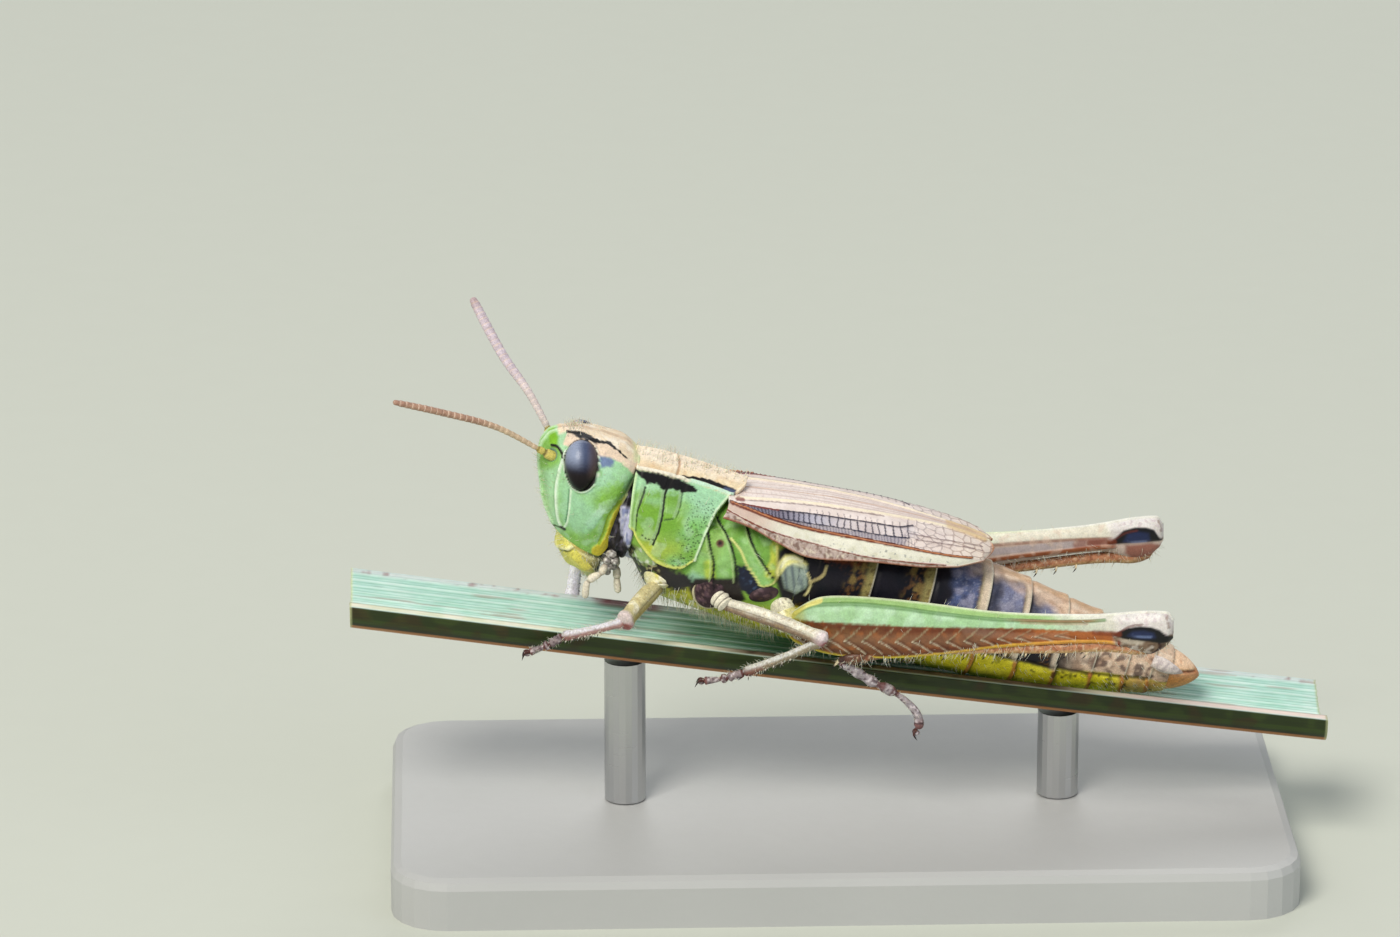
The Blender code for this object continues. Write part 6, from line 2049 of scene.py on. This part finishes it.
        # Root of the femur.
        c.line(at((-0.04, 0.15), (-0.02, 0.42), (0.01, 0.66), (0.05, 0.82)), 0.07, "E4DE86", 0.05, only=out)
        c.area(at((-0.06, 0.5), (0.0, 0.75), (0.012, 0.3), (-0.06, -0.1)), "A9A63A", 0.6, 0.15, only=out)

    def mark_knee(self, c: Canvas, face: Array, rise: float) -> None:
        """Paint a knee: pale on top, a black crescent raised by a given height, and a lower lobe."""
        at = self.drawn
        c.paint(face * c.ramp(ALONG, 0.845 * self.length, 0.875 * self.length), "D6D1CE", 0.9)
        c.line(at((0.86, 0.44), (0.92, 0.5), (0.97, 0.5)), 0.1, "EDEAE7", 0.12, only=face, opacity=0.6)
        c.vary("C4B4B8", 0.12, 0.6, 8.0, 0.2, face * c.ramp(ALONG, 8.9, 9.3))
        lower = c.within(at((0.845, 0.06), (0.88, 0.02), (0.93, 0.06), (0.99, 0.02), (1.03, -0.05),
            (1.03, -1.0), (0.86, -1.0), (0.86, -0.3)), 0.03) * face
        c.paint(lower, "7C6652")
        c.vary("CFC6BC", 0.16, 0.6, 9.0, 0.2, lower)
        c.vary("4A382E", 0.1, 0.7, 10.0, 0.3, lower)
        c.line(at((0.955, -0.64), (0.978, -0.4), (0.975, -0.15)), 0.05, "3A1E18", 0.04, only=face)
        c.line(at((0.868, -0.2), (0.872, -0.45), (0.91, -0.64)), 0.05, "7A3A24", 0.05, only=face)
        c.area(at((0.865, -0.16), (0.9, -0.1), (0.94, -0.14), (0.93, -0.3), (0.88, -0.3)), "C9BFAE", 0.7,
            only=face)
        dark = c.within(at((0.85, -0.04), (0.868, 0.1), (0.893, 0.21 + rise), (0.925, 0.275 + rise),
            (0.955, 0.255 + rise), (0.978, 0.17 + rise), (0.992, 0.05), (1.014, -0.1), (1.006, -0.2),
            (0.98, -0.23), (0.95, -0.18), (0.915, -0.15), (0.885, -0.13)), 0.03) * face
        c.paint(dark, "08070C")
        c.lift += 0.03 * dark
        c.shine = c.shine - 0.14 * dark
        c.area(at((0.89, -0.02), (0.905, 0.11 + rise), (0.935, 0.15 + rise), (0.962, 0.09 + rise),
            (0.968, -0.06), (0.94, -0.1), (0.91, -0.08)), "22305C", 0.7, only=face)
        # Painted highlight along the bottom of the blue.
        c.line(at((0.905, 0.0), (0.93, -0.03), (0.955, -0.03)), 0.02, "7F92BE", 0.03, only=face,
            opacity=0.55)
        c.line(at((0.865, 0.04), (0.895, 0.24), (0.93, 0.31)), 0.03, "5E2A24", 0.03, only=face, opacity=0.7)
        c.paint(face * c.near(at((0.8, 0.02), (0.868, 0.0)), 0.1, 0.06), "7A3318", 0.7)
        c.line(at((0.994, 0.5), (0.998, 0.38), (1.0, 0.22)), 0.03, "7A5A4A", 0.03, only=face, opacity=0.6,
            ragged=0.03)

    def mark_inner(self, c: Canvas) -> None:
        """Paint the femur's inner face: cream above, then rosy bands."""
        at = self.drawn
        inside = smooth((0.02 - c.spots[:, AWAY]) / 0.1)
        c.paint(inside, "CDB7A6")
        band = c.within(at((-0.1, 0.3), (0.4, 0.3), (0.55, 0.24), (0.7, 0.2), (0.86, 0.13), (0.9, 0.3),
            (1.1, 0.3), (1.1, 2.0), (-0.1, 2.0)), 0.04) * inside
        c.paint(band, "E6E2D0")
        c.paint(band * c.ramp(ALONG, 6.2, 4.5, 0.2), "CBE3C0", 0.9)
        c.line(at((0.0, 0.28), (0.4, 0.28), (0.55, 0.22), (0.7, 0.18), (0.86, 0.1)), 0.05, "8A5A46", 0.05,
            only=inside, opacity=0.7)
        c.line(at((0.0, 0.0), (0.4, 0.02), (0.7, 0.02), (0.86, 0.0)), 0.14, "B7ADB2", 0.08, only=inside,
            opacity=0.7)
        c.line(at((0.0, -0.26), (0.45, -0.24), (0.6, -0.2), (0.73, -0.17), (0.87, -0.14)), 0.08, "9C5A36",
            0.06, only=inside, lift=0.03)
        c.paint(c.near(at((0.77, 0.0), (0.86, -0.02)), 0.2, 0.12) * inside, "9A5230", 0.6)
        c.vary("DCC2AE", 0.25, 0.4, 12.0, 0.1, inside)

    def build_thigh(self, looks: Finishes, name: str, side: float) -> None:
        """Shape and dress a femur."""
        first, last = self.form[0][0], self.form[-1][0]

        def points(u: Array, v: Array) -> Array:
            """Points of the femur; v runs from its underside over its outer face."""
            share = first + (last - first) * u
            half, rise, drop = spline(self.form, share).T
            c, s = squircle(2 * pi * v - pi / 2, 2.5)
            return self.locate(side, share, c * half, np.where(s > 0, s * rise, s * drop))

        c = Canvas(warped_grid(300, 110, points), "B9DDA6", view=self.seen(side))
        self.mark_outer(c)
        self.mark_inner(c)
        outer, inner = smooth((c.spots[:, AWAY] + 0.02) / 0.1), smooth((0.02 - c.spots[:, AWAY]) / 0.1)
        self.mark_knee(c, outer, 0.0)
        self.mark_knee(c, inner * c.ramp(UP, -0.1, -0.04), 0.12)
        patch = c.within(self.drawn((0.9, -0.12), (0.97, -0.1), (1.01, -0.25), (0.99, -0.65), (0.93, -0.7),
            (0.9, -0.4)), 0.08) * inner
        c.paint(inner * c.ramp(ALONG, 9.0, 9.4) * c.ramp(UP, -0.02, -0.12), "D8C4B8", 0.9)
        c.paint(patch, "8E4832", 0.85)
        # Top ridge.
        crest = (1 - smooth((np.abs(c.spots[:, AWAY]) - 0.03) / 0.07)) * (c.spots[:, UP] > 0)
        c.lift += 0.035 * crest * c.ramp(ALONG, 0.0, 0.4)
        c.paint(crest, "DFE8C4", 0.75)
        c.paint(crest * c.ramp(ALONG, 5.5, 8.0), "EAE8E2", 0.8)
        place(c.finish(), "jumping_thigh_" + name, Frame.WORLD, looks.green, "leg_green",
            ["hind_femur_" + name])

    def build_shin(self, looks: Finishes, name: str, side: float, fold: Path) -> None:
        """Shape and dress a tibia with its two rows of spines."""
        shares, heights = np.array(fold).T
        outs = np.linspace(0.0, 0.06, len(fold))
        path = self.locate(side, shares, outs, heights)
        path[-1] = mirrored((self.ankle,), side)[0]
        profile = ((0.0, 0.1, 0.1), (0.02, 0.22, 0.22), (0.06, 0.24, 0.24), (0.12, 0.17, 0.17),
            (0.3, 0.155, 0.16), (0.6, 0.15, 0.15), (0.88, 0.165, 0.165), (0.97, 0.19, 0.18),
            (1.0, 0.1, 0.1))
        pieces = [tube(path, profile, 200, 32, 2.3)]
        _, axis, away = self.directions(side)
        toward = -axis / np.linalg.norm(axis)
        down = np.array((0.0, 0.0, -1.0))
        for i in range(self.spines):
            share = self.last_spine - self.spine_run * i / (self.spines - 1)
            height = np.interp(share, shares[::-1], heights[::-1])
            for way in (1.0, -1.0):
                root = self.locate(side, share - 0.01 * (way < 0), 0.08 * way, height - 0.1)[0]
                tip = root + 0.22 * down + 0.14 * toward + 0.1 * way * away
                bend = root + 0.12 * down + 0.04 * toward + 0.06 * way * away
                pieces.append(horn((root, bend, tip), self.spine_radius))
        ankle = path[-1]
        for way in (1.0, -1.0):
            for long in self.spurs:
                tip = ankle + long * toward * 0.7 + long * down * 0.8 + 0.18 * way * away * (0.4 + long)
                pieces.append(horn((ankle + 0.1 * way * away, tip), self.spur_radius))
        c = Canvas(join(*pieces), "B9815E")
        over = c.over()
        c.paint(1 - smooth((over - 0.25) / 0.25), "D2B27A", 0.7)
        # Painted shade: darker towards the ankle, where the shin lies under the femur.
        c.paint(c.ramp(LENGTH, 0.62, 0.9, 0.1), "4A3026", 0.85)
        c.line(((0.0, 0.3), (1.0, 0.3)), 0.05, "8F9452", 0.05, Plane.SHARES, opacity=0.6)
        c.vary("8A4A2E", 0.12, 0.6, 2.0, 0.1)
        c.vary("E3CBA8", 0.1, 0.6, 3.0, 0.3)
        c.paint(c.ramp(LENGTH, 0.09, 0.02), "8F5A3C", 0.8)
        c.paint(c.ramp(LENGTH, 0.95, 0.99), "3E2A28", 0.9)
        c.paint(is_horn(c), "E2D2AE")
        c.paint(c.ramp(LENGTH, 2.35, 2.6), "100C0C")
        place(c.finish(), "jumping_shin_" + name, Frame.WORLD, looks.leg, "leg_tan", ["hind_tibia_" + name])

    def build(self, looks: Finishes) -> None:
        """Shape and dress both hind legs."""
        foot = Foot(radius=0.15, claw=0.24)
        for name, fold in self.folds:
            side = SIDES[name]
            self.build_thigh(looks, name, side)
            self.build_shin(looks, name, side, fold)
            path = mirrored((self.ankle, *self.toes), side)
            foot.build(looks, "jumping_foot_" + name, path, "A39A9E", "hind_tarsus_" + name)


# ---------------------------------------------------------------- perch


@dataclass
class Blade:
    """A cut length of grass blade, channelled along its middle, veined on its upper face."""

    half_length: float = 14.1
    rim_height: float = 6.0
    fall: float = 0.1365
    bow: float = 0.0003
    thickness: float = 0.35
    # The underside across the blade: place, and drop below the rims.
    channel: Path = ((-1.6, 0.0), (-1.52, 0.38), (-1.24, 0.7), (-0.66, 0.9), (0.0, 0.92), (0.66, 0.74),
        (1.2, 0.48), (1.7, 0.22))
    vein_spacing: float = 0.12
    face_width: float = 4.2
    # Shares round the blade: its upper face, each rim, and where the far rim and the underside end.
    face_share: float = 0.46
    rim_share: float = 0.04
    rim_end: float = 0.5
    under_end: float = 0.96
    rim_bulge: float = 0.1

    def section(self) -> tuple[Array, Array]:
        """Many points of the underside, and of the upper face over them, as (place, height)."""
        under = curved(tuple((y, -drop) for y, drop in self.channel), 10)
        along = np.gradient(under, axis=0)
        along /= np.linalg.norm(along, axis=1)[:, None]
        return under, under + np.column_stack((-along[:, 1], along[:, 0])) * self.thickness

    def form(self, u: Array, v: Array) -> Array:
        """Points of the blade; v runs over its upper face, round the far rim and back below."""
        under, upper = self.section()
        top = np.clip(v / self.face_share, 0, 1)
        far = np.clip((v - self.face_share) / self.rim_share, 0, 1)
        low = np.clip((v - self.rim_end) / self.face_share, 0, 1)
        near = np.clip((v - self.under_end) / self.rim_share, 0, 1)
        count = np.linspace(0, 1, len(under))
        points = np.empty((len(u), 2))
        for k in range(2):
            above = np.interp(top, count, upper[:, k])
            below = np.interp(1 - low, count, under[:, k])
            turning = np.where(v < self.rim_end, above + (below - above) * far, below)
            points[:, k] = np.where(v < self.face_share, above, turning)
            points[:, k] += np.where(v > self.under_end, (upper[0, k] - below) * near, 0.0)
        points[:, 0] += self.rim_bulge * np.sin(pi * far) - self.rim_bulge * np.sin(pi * near)
        x = self.half_length * (2 * u - 1)
        height = self.rim_height - self.fall * x + self.bow * x * x
        return np.column_stack((x, points[:, 0], height + points[:, 1]))

    def mark(self, c: Canvas) -> None:
        """Paint the veins, the pale rims, a painted shadow under the insect, the outer wall darkened as
        painted shade, and its brown edge.
        """
        x, y, v = c.place[:, 0], c.place[:, 1], c.spots[:, GIRTH]
        upper = smooth(v / 0.012) * (1 - smooth((v - 0.455) / 0.012))
        across = v / self.face_share
        shade = np.exp(-((x + 0.5) / 5.0) ** 2)
        c.paint(upper, "BFE2D6")
        c.vary("A4D4C2", 1.2, 0.6, 1.0, 0.0, upper)
        c.vary("DCEDE8", 0.9, 0.5, 2.0, 0.1, upper)
        c.paint(upper * smooth((0.5 - across) / 0.35) * smooth((-3.0 - x) / 4.0), "E4E4E0", 0.8)
        # Painted shadow of the insect on the upper face, deepest under its middle.
        c.paint(upper * shade * smooth((across - 0.06) / 0.3), "3F9468", 0.8)
        c.paint(upper * smooth((across - 0.55) / 0.4) * (1 - shade), "A4CFC6", 0.5)
        phase = across * self.face_width / self.vein_spacing + 0.03 * c.coarse
        rib = around(phase % 1, 0.5, 0.16, 0.12)
        second = 1 - smooth((np.abs((phase / 2) % 1 - 0.5) * 2 - 0.2) / 0.2)
        c.paint(upper * rib * (1 - second), "3C9A78", 0.36)
        c.paint(upper * second, "E6F4EE", 0.3)
        c.lift += upper * (0.018 * second - 0.01 * rib)
        # Lilac far edge and brown scars.
        c.paint(upper * smooth((across - 0.93) / 0.04), "D9D6DC", 0.6)
        c.vary("8A4A50", 0.24, 0.6, 5.0, 0.35, upper * smooth((across - 0.93) / 0.04))
        c.paint(upper * smooth((across - 0.9) / 0.05) * smooth((x + 7.2) / 0.5) * smooth((-4.8 - x) / 0.6),
            "7E3E44", 0.85)
        scars = smooth((mottle(np.column_stack((x * 0.18, y * 3.0, 0 * x)), 0.34, 9.0) - 0.62) / 0.2)
        c.paint(upper * scars, "9C8074", 0.5)
        c.lift -= 0.012 * upper * scars
        # Near rim: pale, with a straw line, then the outer wall, darkened as painted shade.
        rim = np.maximum(1 - smooth(v / 0.012), smooth((v - 0.975) / 0.012))
        c.paint(rim, "DFDDC8")
        c.vary("C9D0AE", 0.6, 0.6, 6.0, 0.0, rim)
        c.paint(rim * smooth((x - 7.0) / 2.0), "E2CFC6", 0.9)
        c.paint(rim * smooth((x + 4.5) / 2.0) * smooth((8.0 - x) / 2.0), "4A2C1C", 0.92)
        c.vary("2A1E12", 0.5, 0.6, 16.0, 0.1, rim * smooth((x + 4.0) / 1.0) * smooth((7.0 - x) / 1.5))
        under = smooth((v - 0.495) / 0.01) * (1 - smooth((v - 0.97) / 0.01))
        # Painted shade: the outer wall, facing away from the light, is painted nearly black green.
        c.paint(under, "2A380E")
        c.paint(under * (1 - smooth((np.abs(y + 1.5) - 0.02) / 0.05)), "55701E", 0.6)
        c.vary("46581C", 0.5, 0.5, 7.0, 0.1, under)
        c.vary("4A2A16", 0.5, 0.5, 8.0, 0.2, under)
        c.paint(under * smooth((y + 1.75) / 0.4) * (1 - smooth((y + 0.95) / 0.5)), "1E2A10", 0.75)
        c.paint(under * (1 - smooth((np.abs(y + 1.12) - 0.22) / 0.06)), "C07E40", 0.9)
        c.paint(under * smooth((y + 0.3) / 0.3), "6E8F4E", 0.9)
        grain = smooth(np.sin(v * 900 + 0.6 * c.coarse) * 0.5 + 0.5)
        c.paint(under * grain, "1A2410", 0.25)
        # Cut ends: pale pith.
        ends = smooth((np.abs(x) - self.half_length + 0.02) / 0.02)
        c.paint(ends, "C9CF9C", 0.8)
        c.shine = 0.42 + 0.04 * c.coarse

    def build(self, looks: Finishes) -> bpy.types.Object:
        """Shape and dress the blade."""
        c = Canvas(warped_grid(320, 200, self.form), "BFE0DA")
        self.mark(c)
        return place(c.finish(), "grass_blade", Frame.WORLD, looks.leaf, "blade_green", ["perch_blade"])


# ---------------------------------------------------------------- hairs


@dataclass(frozen=True)
class Coat:
    """Hairs on one piece: how many, how long, which way they lean, and where they stand."""

    skin: str
    slot: str
    frame: Frame
    count: int
    length: tuple[float, float]
    lean: tuple[float, float, float]
    where: Callable[[Array, Array], Array]
    radius: float = 0.0085
    stray: float = 0.22


def everywhere(places: Array, normals: Array) -> Array:
    """Hairs all over a piece."""
    return np.ones(len(places))


def on_head(places: Array, normals: Array) -> Array:
    """Hairs mostly on the crown and down the face."""
    crown = smooth((places[:, 2] - 2.2) / 0.2) * smooth((places[:, 0] + 2.3) / 0.3)
    face = smooth((-2.4 - places[:, 0]) / 0.2) * smooth((2.0 - places[:, 2]) / 0.3)
    return 0.05 + 1.3 * crown + 0.9 * face + 0.5 * smooth((-0.4 - places[:, 2]) / 0.3)


def on_saddle(places: Array, normals: Array) -> Array:
    """Hairs mostly on the disc."""
    return 0.04 + 1.6 * smooth((places[:, 2] - 1.48) / 0.12) + 0.5 * smooth((-0.7 - places[:, 2]) / 0.2)


def on_chest(places: Array, normals: Array) -> Array:
    """Hairs mostly below."""
    return 0.01 + smooth((-1.45 - places[:, 2]) / 0.5) * smooth((4.9 - places[:, 0]) / 0.4)


def on_abdomen(places: Array, normals: Array) -> Array:
    """Hairs along the lower flank and over the last rings."""
    return (0.03 + 0.8 * smooth((-1.1 - places[:, 2]) / 0.5) + 1.2 * smooth((places[:, 0] - 13.4) / 1.5)) \
        * smooth((places[:, 0] - 4.6) / 0.3)


def below(places: Array, normals: Array) -> Array:
    """Hairs mostly on the underside."""
    return 0.1 + 1.2 * smooth((-0.35 - normals[:, 2]) / 0.3)


WALKING = ("fore_left", "fore_right", "mid_left", "mid_right")


@dataclass
class Coats:
    """Every coat of hairs, grown on finished pieces."""

    coats: tuple[Coat, ...] = (
        Coat("head_capsule", "chitin_green", Frame.HEAD, 330, (0.16, 0.3), (-0.15, 0.0, 0.35), on_head,
            0.0095),
        Coat("lip", "chitin_yellow", Frame.HEAD, 110, (0.16, 0.28), (-0.5, 0.0, -0.5), everywhere),
        Coat("jaw_left", "chitin_yellow", Frame.HEAD, 70, (0.1, 0.2), (-0.2, 0.0, -0.6), everywhere),
        Coat("jaw_right", "chitin_yellow", Frame.HEAD, 50, (0.1, 0.2), (-0.2, 0.0, -0.6), everywhere),
        Coat("saddle_shield", "chitin_green", Frame.BODY, 230, (0.2, 0.36), (0.05, 0.0, 0.9), on_saddle,
            0.0095),
        Coat("chest", "chitin_green", Frame.BODY, 900, (0.24, 0.44), (0.35, 0.0, -0.7), on_chest, 0.0075),
        Coat("abdomen_rings", "chitin_dark", Frame.BODY, 620, (0.12, 0.24), (0.6, 0.0, -0.2), on_abdomen),
        Coat("jumping_thigh_left", "leg_green", Frame.WORLD, 300, (0.14, 0.32), (0.15, 0.0, -0.2), below),
        Coat("jumping_thigh_right", "leg_green", Frame.WORLD, 300, (0.16, 0.3), (0.15, 0.0, -0.2), below),
        Coat("jumping_shin_left", "leg_tan", Frame.WORLD, 420, (0.16, 0.34), (-0.3, 0.0, -0.4), everywhere),
        Coat("jumping_shin_right", "leg_tan", Frame.WORLD, 320, (0.14, 0.26), (-0.3, 0.0, -0.3),
            everywhere),
        *(Coat("thigh_" + name, "leg_cream", Frame.WORLD, 90, (0.08, 0.15), (0.0, 0.0, -0.1), below)
          for name in WALKING),
        *(Coat("shin_" + name, "leg_cream", Frame.WORLD, 170, (0.1, 0.17), (-0.3, 0.0, -0.1), everywhere)
          for name in WALKING),
        *(Coat(name, "leg_brown", Frame.WORLD, 90, (0.07, 0.13), (0.1, 0.0, 0.0), everywhere, 0.008)
          for name in ("foot_fore_left", "foot_mid_left", "jumping_foot_left", "jumping_foot_right")))
    joints: int = 4
    sides: int = 3
    bend: float = 0.22
    taper: float = 0.85
    lean_spread: tuple[float, float] = (0.6, 1.3)
    sunk: float = 0.02
    patch: float = 0.003

    def __post_init__(self) -> None:
        """Make the template hair, a closed thin tube."""
        self.random = np.random.default_rng(SEED)
        bm = tube(((0.0, 0.0, 0.0), (0.0, 0.0, 1.0)), ((0.0, 0.1, 0.1), (1.0, 0.03, 0.03)),
            self.joints, self.sides, up=(1.0, 0.0, 0.0))
        u_layer, v_layer = bm.verts.layers.float["u"], bm.verts.layers.float["v"]
        bm.verts.index_update()
        self.shares = np.array([(v[u_layer], v[v_layer]) for v in bm.verts])
        self.faces = [[v.index for v in face.verts] for face in bm.faces]
        bm.free()

    def roots(self, mesh: bpy.types.Mesh, coat: Coat) -> tuple[Array, Array, Array]:
        """Choose where the hairs stand: their places and normals in the frame, and the skin's shares."""
        count = len(mesh.vertices)
        flat = {kind: np.empty(count * 3) for kind in ("co", "normal")}
        for kind, values in flat.items():
            mesh.vertices.foreach_get(kind, values)
        shares = np.empty((count, 2))
        for k, name in enumerate("uv"):
            values = np.empty(count)
            mesh.attributes[name].data.foreach_get("value", values)
            shares[:, k] = values
        inverse = np.array(coat.frame.matrix.inverted())
        places = flat["co"].reshape(-1, 3) @ inverse[:3, :3].T + inverse[:3, 3]
        normals = flat["normal"].reshape(-1, 3) @ (inverse[:3, :3].T * MM)
        weights = coat.where(places, normals) * (shares[:, 0] <= 1.001)
        chosen = self.random.choice(count, coat.count, replace=False, p=weights / weights.sum())
        return places[chosen], normals[chosen], np.clip(shares[chosen], 0, 1)

    def grow(self, looks: Finishes, coat: Coat) -> bpy.types.Object:
        """Grow one coat as a single piece."""
        places, normals, shares = self.roots(bpy.data.objects[coat.skin].data, coat)
        count = len(places)
        jitter = self.random.normal(0.0, coat.stray, (count, 3))
        way = normals + np.array(coat.lean) * self.random.uniform(*self.lean_spread, (count, 1)) + jitter
        way /= np.linalg.norm(way, axis=1)[:, None]
        fall = np.array(coat.lean) + jitter + 1e-3
        fall -= way * np.sum(fall * way, axis=1)[:, None]
        fall /= np.linalg.norm(fall, axis=1)[:, None]
        aside = np.cross(way, fall)
        length = self.random.uniform(*coat.length, count)[:, None, None]
        along = self.shares[None, :, 0, None]
        angle = 2 * pi * self.shares[None, :, 1, None]
        thick = coat.radius * (1 - self.taper * along)
        points = (places - self.sunk * normals)[:, None] + way[:, None] * along * length \
            + fall[:, None] * (self.bend * along ** 2 * length + thick * np.cos(angle)) \
            + aside[:, None] * thick * np.sin(angle)
        matrix = np.array(coat.frame.matrix)
        points = points.reshape(-1, 3) @ matrix[:3, :3].T + matrix[:3, 3]
        step = len(self.shares)
        faces = [[i * step + k for k in face] for i in range(count) for face in self.faces]
        mesh = bpy.data.meshes.new("hairs_" + coat.skin)
        mesh.from_pydata(points.tolist(), [], faces)
        mesh.shade_smooth()
        mesh.materials.append(looks.seta)
        corners = np.empty(len(mesh.loops), dtype=int)
        mesh.loops.foreach_get("vertex_index", corners)
        spots = shares[corners // step] * (1 - self.patch) + self.shares[corners % step] * self.patch
        mesh.uv_layers.new(name="OFBake").data.foreach_set("uv", spots.ravel())
        piece = bpy.data.objects.new(mesh.name, mesh)
        bpy.context.scene.collection.objects.link(piece)
        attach(piece, "root")
        LOG.info("%s: %d hairs", mesh.name, count)
        return piece

    def build(self, looks: Finishes) -> None:
        """Grow every coat."""
        for coat in self.coats:
            self.grow(looks, coat)


# ---------------------------------------------------------------- studio


@dataclass
class Studio:
    """Pale paper floor, soft light from above and the camera."""

    bearing: float = -2.0
    elevation: float = 19.0
    distance: float = 0.201
    lens: float = 180.0
    target: tuple[float, float, float] = (-0.001, 0.0, 0.0115)
    # How far the view is shifted to the right of the target, as a share of the distance.
    aside: float = 0.015
    floor_side: float = 6.0
    sky: float = 0.37
    sky_colour: str = "F3F5F8"
    # Name, place, side, power and colour.
    lights: tuple[tuple[str, tuple[float, float, float], float, float, str], ...] = (
        ("key_light", (-0.16, -0.26, 0.36), 0.2, 1.8, "FFF9F0"),
        ("fill_light", (0.34, -0.22, 0.2), 0.3, 0.28, "EAF2FF"),
        ("back_light", (0.05, 0.34, 0.3), 0.25, 0.45, "FFFFFF"))
    sensor: float = 36.0
    nearest: float = 0.001

    def build_floor(self, finish: StudioFloor) -> None:
        """Lay the floor."""
        bm = bmesh.new()
        bmesh.ops.create_grid(bm, x_segments=2, y_segments=2, size=self.floor_side / 2)
        mesh = bpy.data.meshes.new("studio_floor")
        bm.to_mesh(mesh)
        bm.free()
        floor = bpy.data.objects.new("studio_floor", mesh)
        mesh.materials.append(finish.build())
        bpy.context.scene.collection.objects.link(floor)
        floor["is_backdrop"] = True

    def add_light(self, name: str, spot: tuple[float, float, float], side: float, watts: float,
            hex_colour: str) -> None:
        """Hang a square soft light that faces the model.

        Args:
            name: the light's name.
            spot: where it hangs, in metres.
            side: its side, in metres.
            watts: its power, in watts.
            hex_colour: its colour.
        """
        data = bpy.data.lights.new(name, "AREA")
        data.size, data.energy, data.color = side, watts, linear(hex_colour)
        lamp = bpy.data.objects.new(name, data)
        lamp.location = spot
        lamp.rotation_euler = (Vector(self.target) - Vector(spot)).to_track_quat("-Z", "Y").to_euler()
        bpy.context.scene.collection.objects.link(lamp)
        lamp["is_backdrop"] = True

    def build(self) -> None:
        """Set up floor, sky, lights, camera and colours."""
        scene = bpy.context.scene
        self.build_floor(StudioFloor())
        world = bpy.data.worlds.new("soft_room")
        world.use_nodes = True
        back = world.node_tree.nodes["Background"]
        back.inputs["Color"].default_value = (*linear(self.sky_colour), 1.0)
        back.inputs["Strength"].default_value = self.sky
        scene.world = world
        for light in self.lights:
            self.add_light(*light)
        turn, tilt = radians(self.bearing), radians(self.elevation)
        back_way = Vector((sin(turn) * cos(tilt), -cos(turn) * cos(tilt), sin(tilt)))
        right = Vector((cos(turn), sin(turn), 0.0))
        up = right.cross(-back_way)
        aim = Vector(self.target) - right * (self.aside * self.distance)
        data = bpy.data.cameras.new("camera")
        data.lens, data.sensor_width, data.clip_start = self.lens, self.sensor, self.nearest
        camera = bpy.data.objects.new("camera", data)
        turned = Matrix((right, up, back_way)).transposed().to_4x4()
        turned.translation = aim + back_way * self.distance
        camera.matrix_world = turned
        scene.collection.objects.link(camera)
        scene.camera = camera
        scene.view_settings.view_transform = "Standard"
        LOG.info("studio ready")


def write_size(key: str, sizes: dict[str, list[list[float]]]) -> None:
    """Measure everything built so far and note it under a name."""
    low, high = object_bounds()
    sizes[key] = [[float(n) for n in low], [float(n) for n in high]]


def dress_stand(nodes: dict[str, bpy.types.Object], looks: Finishes) -> None:
    """Give the plain stand its finishes: a lacquered board and two steel rods."""
    for name, finish in (("stand_base", looks.board), ("stand_rod_front", looks.steel),
        ("stand_rod_rear", looks.steel)):
        mesh = nodes[name].data
        mesh.materials.clear()
        mesh.materials.append(finish)


def main() -> None:
    """Load the model, dress it and light it."""
    logging.basicConfig(level=logging.INFO, format="%(name)s: %(message)s")
    for thing in list(bpy.data.objects):
        bpy.data.objects.remove(thing)
    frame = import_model()
    sizes: dict[str, list[list[float]]] = {}
    write_size("cad_box", sizes)
    looks = Finishes()
    for assembly in (Pronotum(), Thorax(), Abdomen(), Tegmen(), Head(), Antennae(), WalkingLegs(),
        JumpingLegs(), Blade(), Coats()):
        assembly.build(looks)
    dress_stand(frame["nodes"], looks)
    Studio().build()
    write_size("visual_box", sizes)


if __name__ == "__main__":
    main()
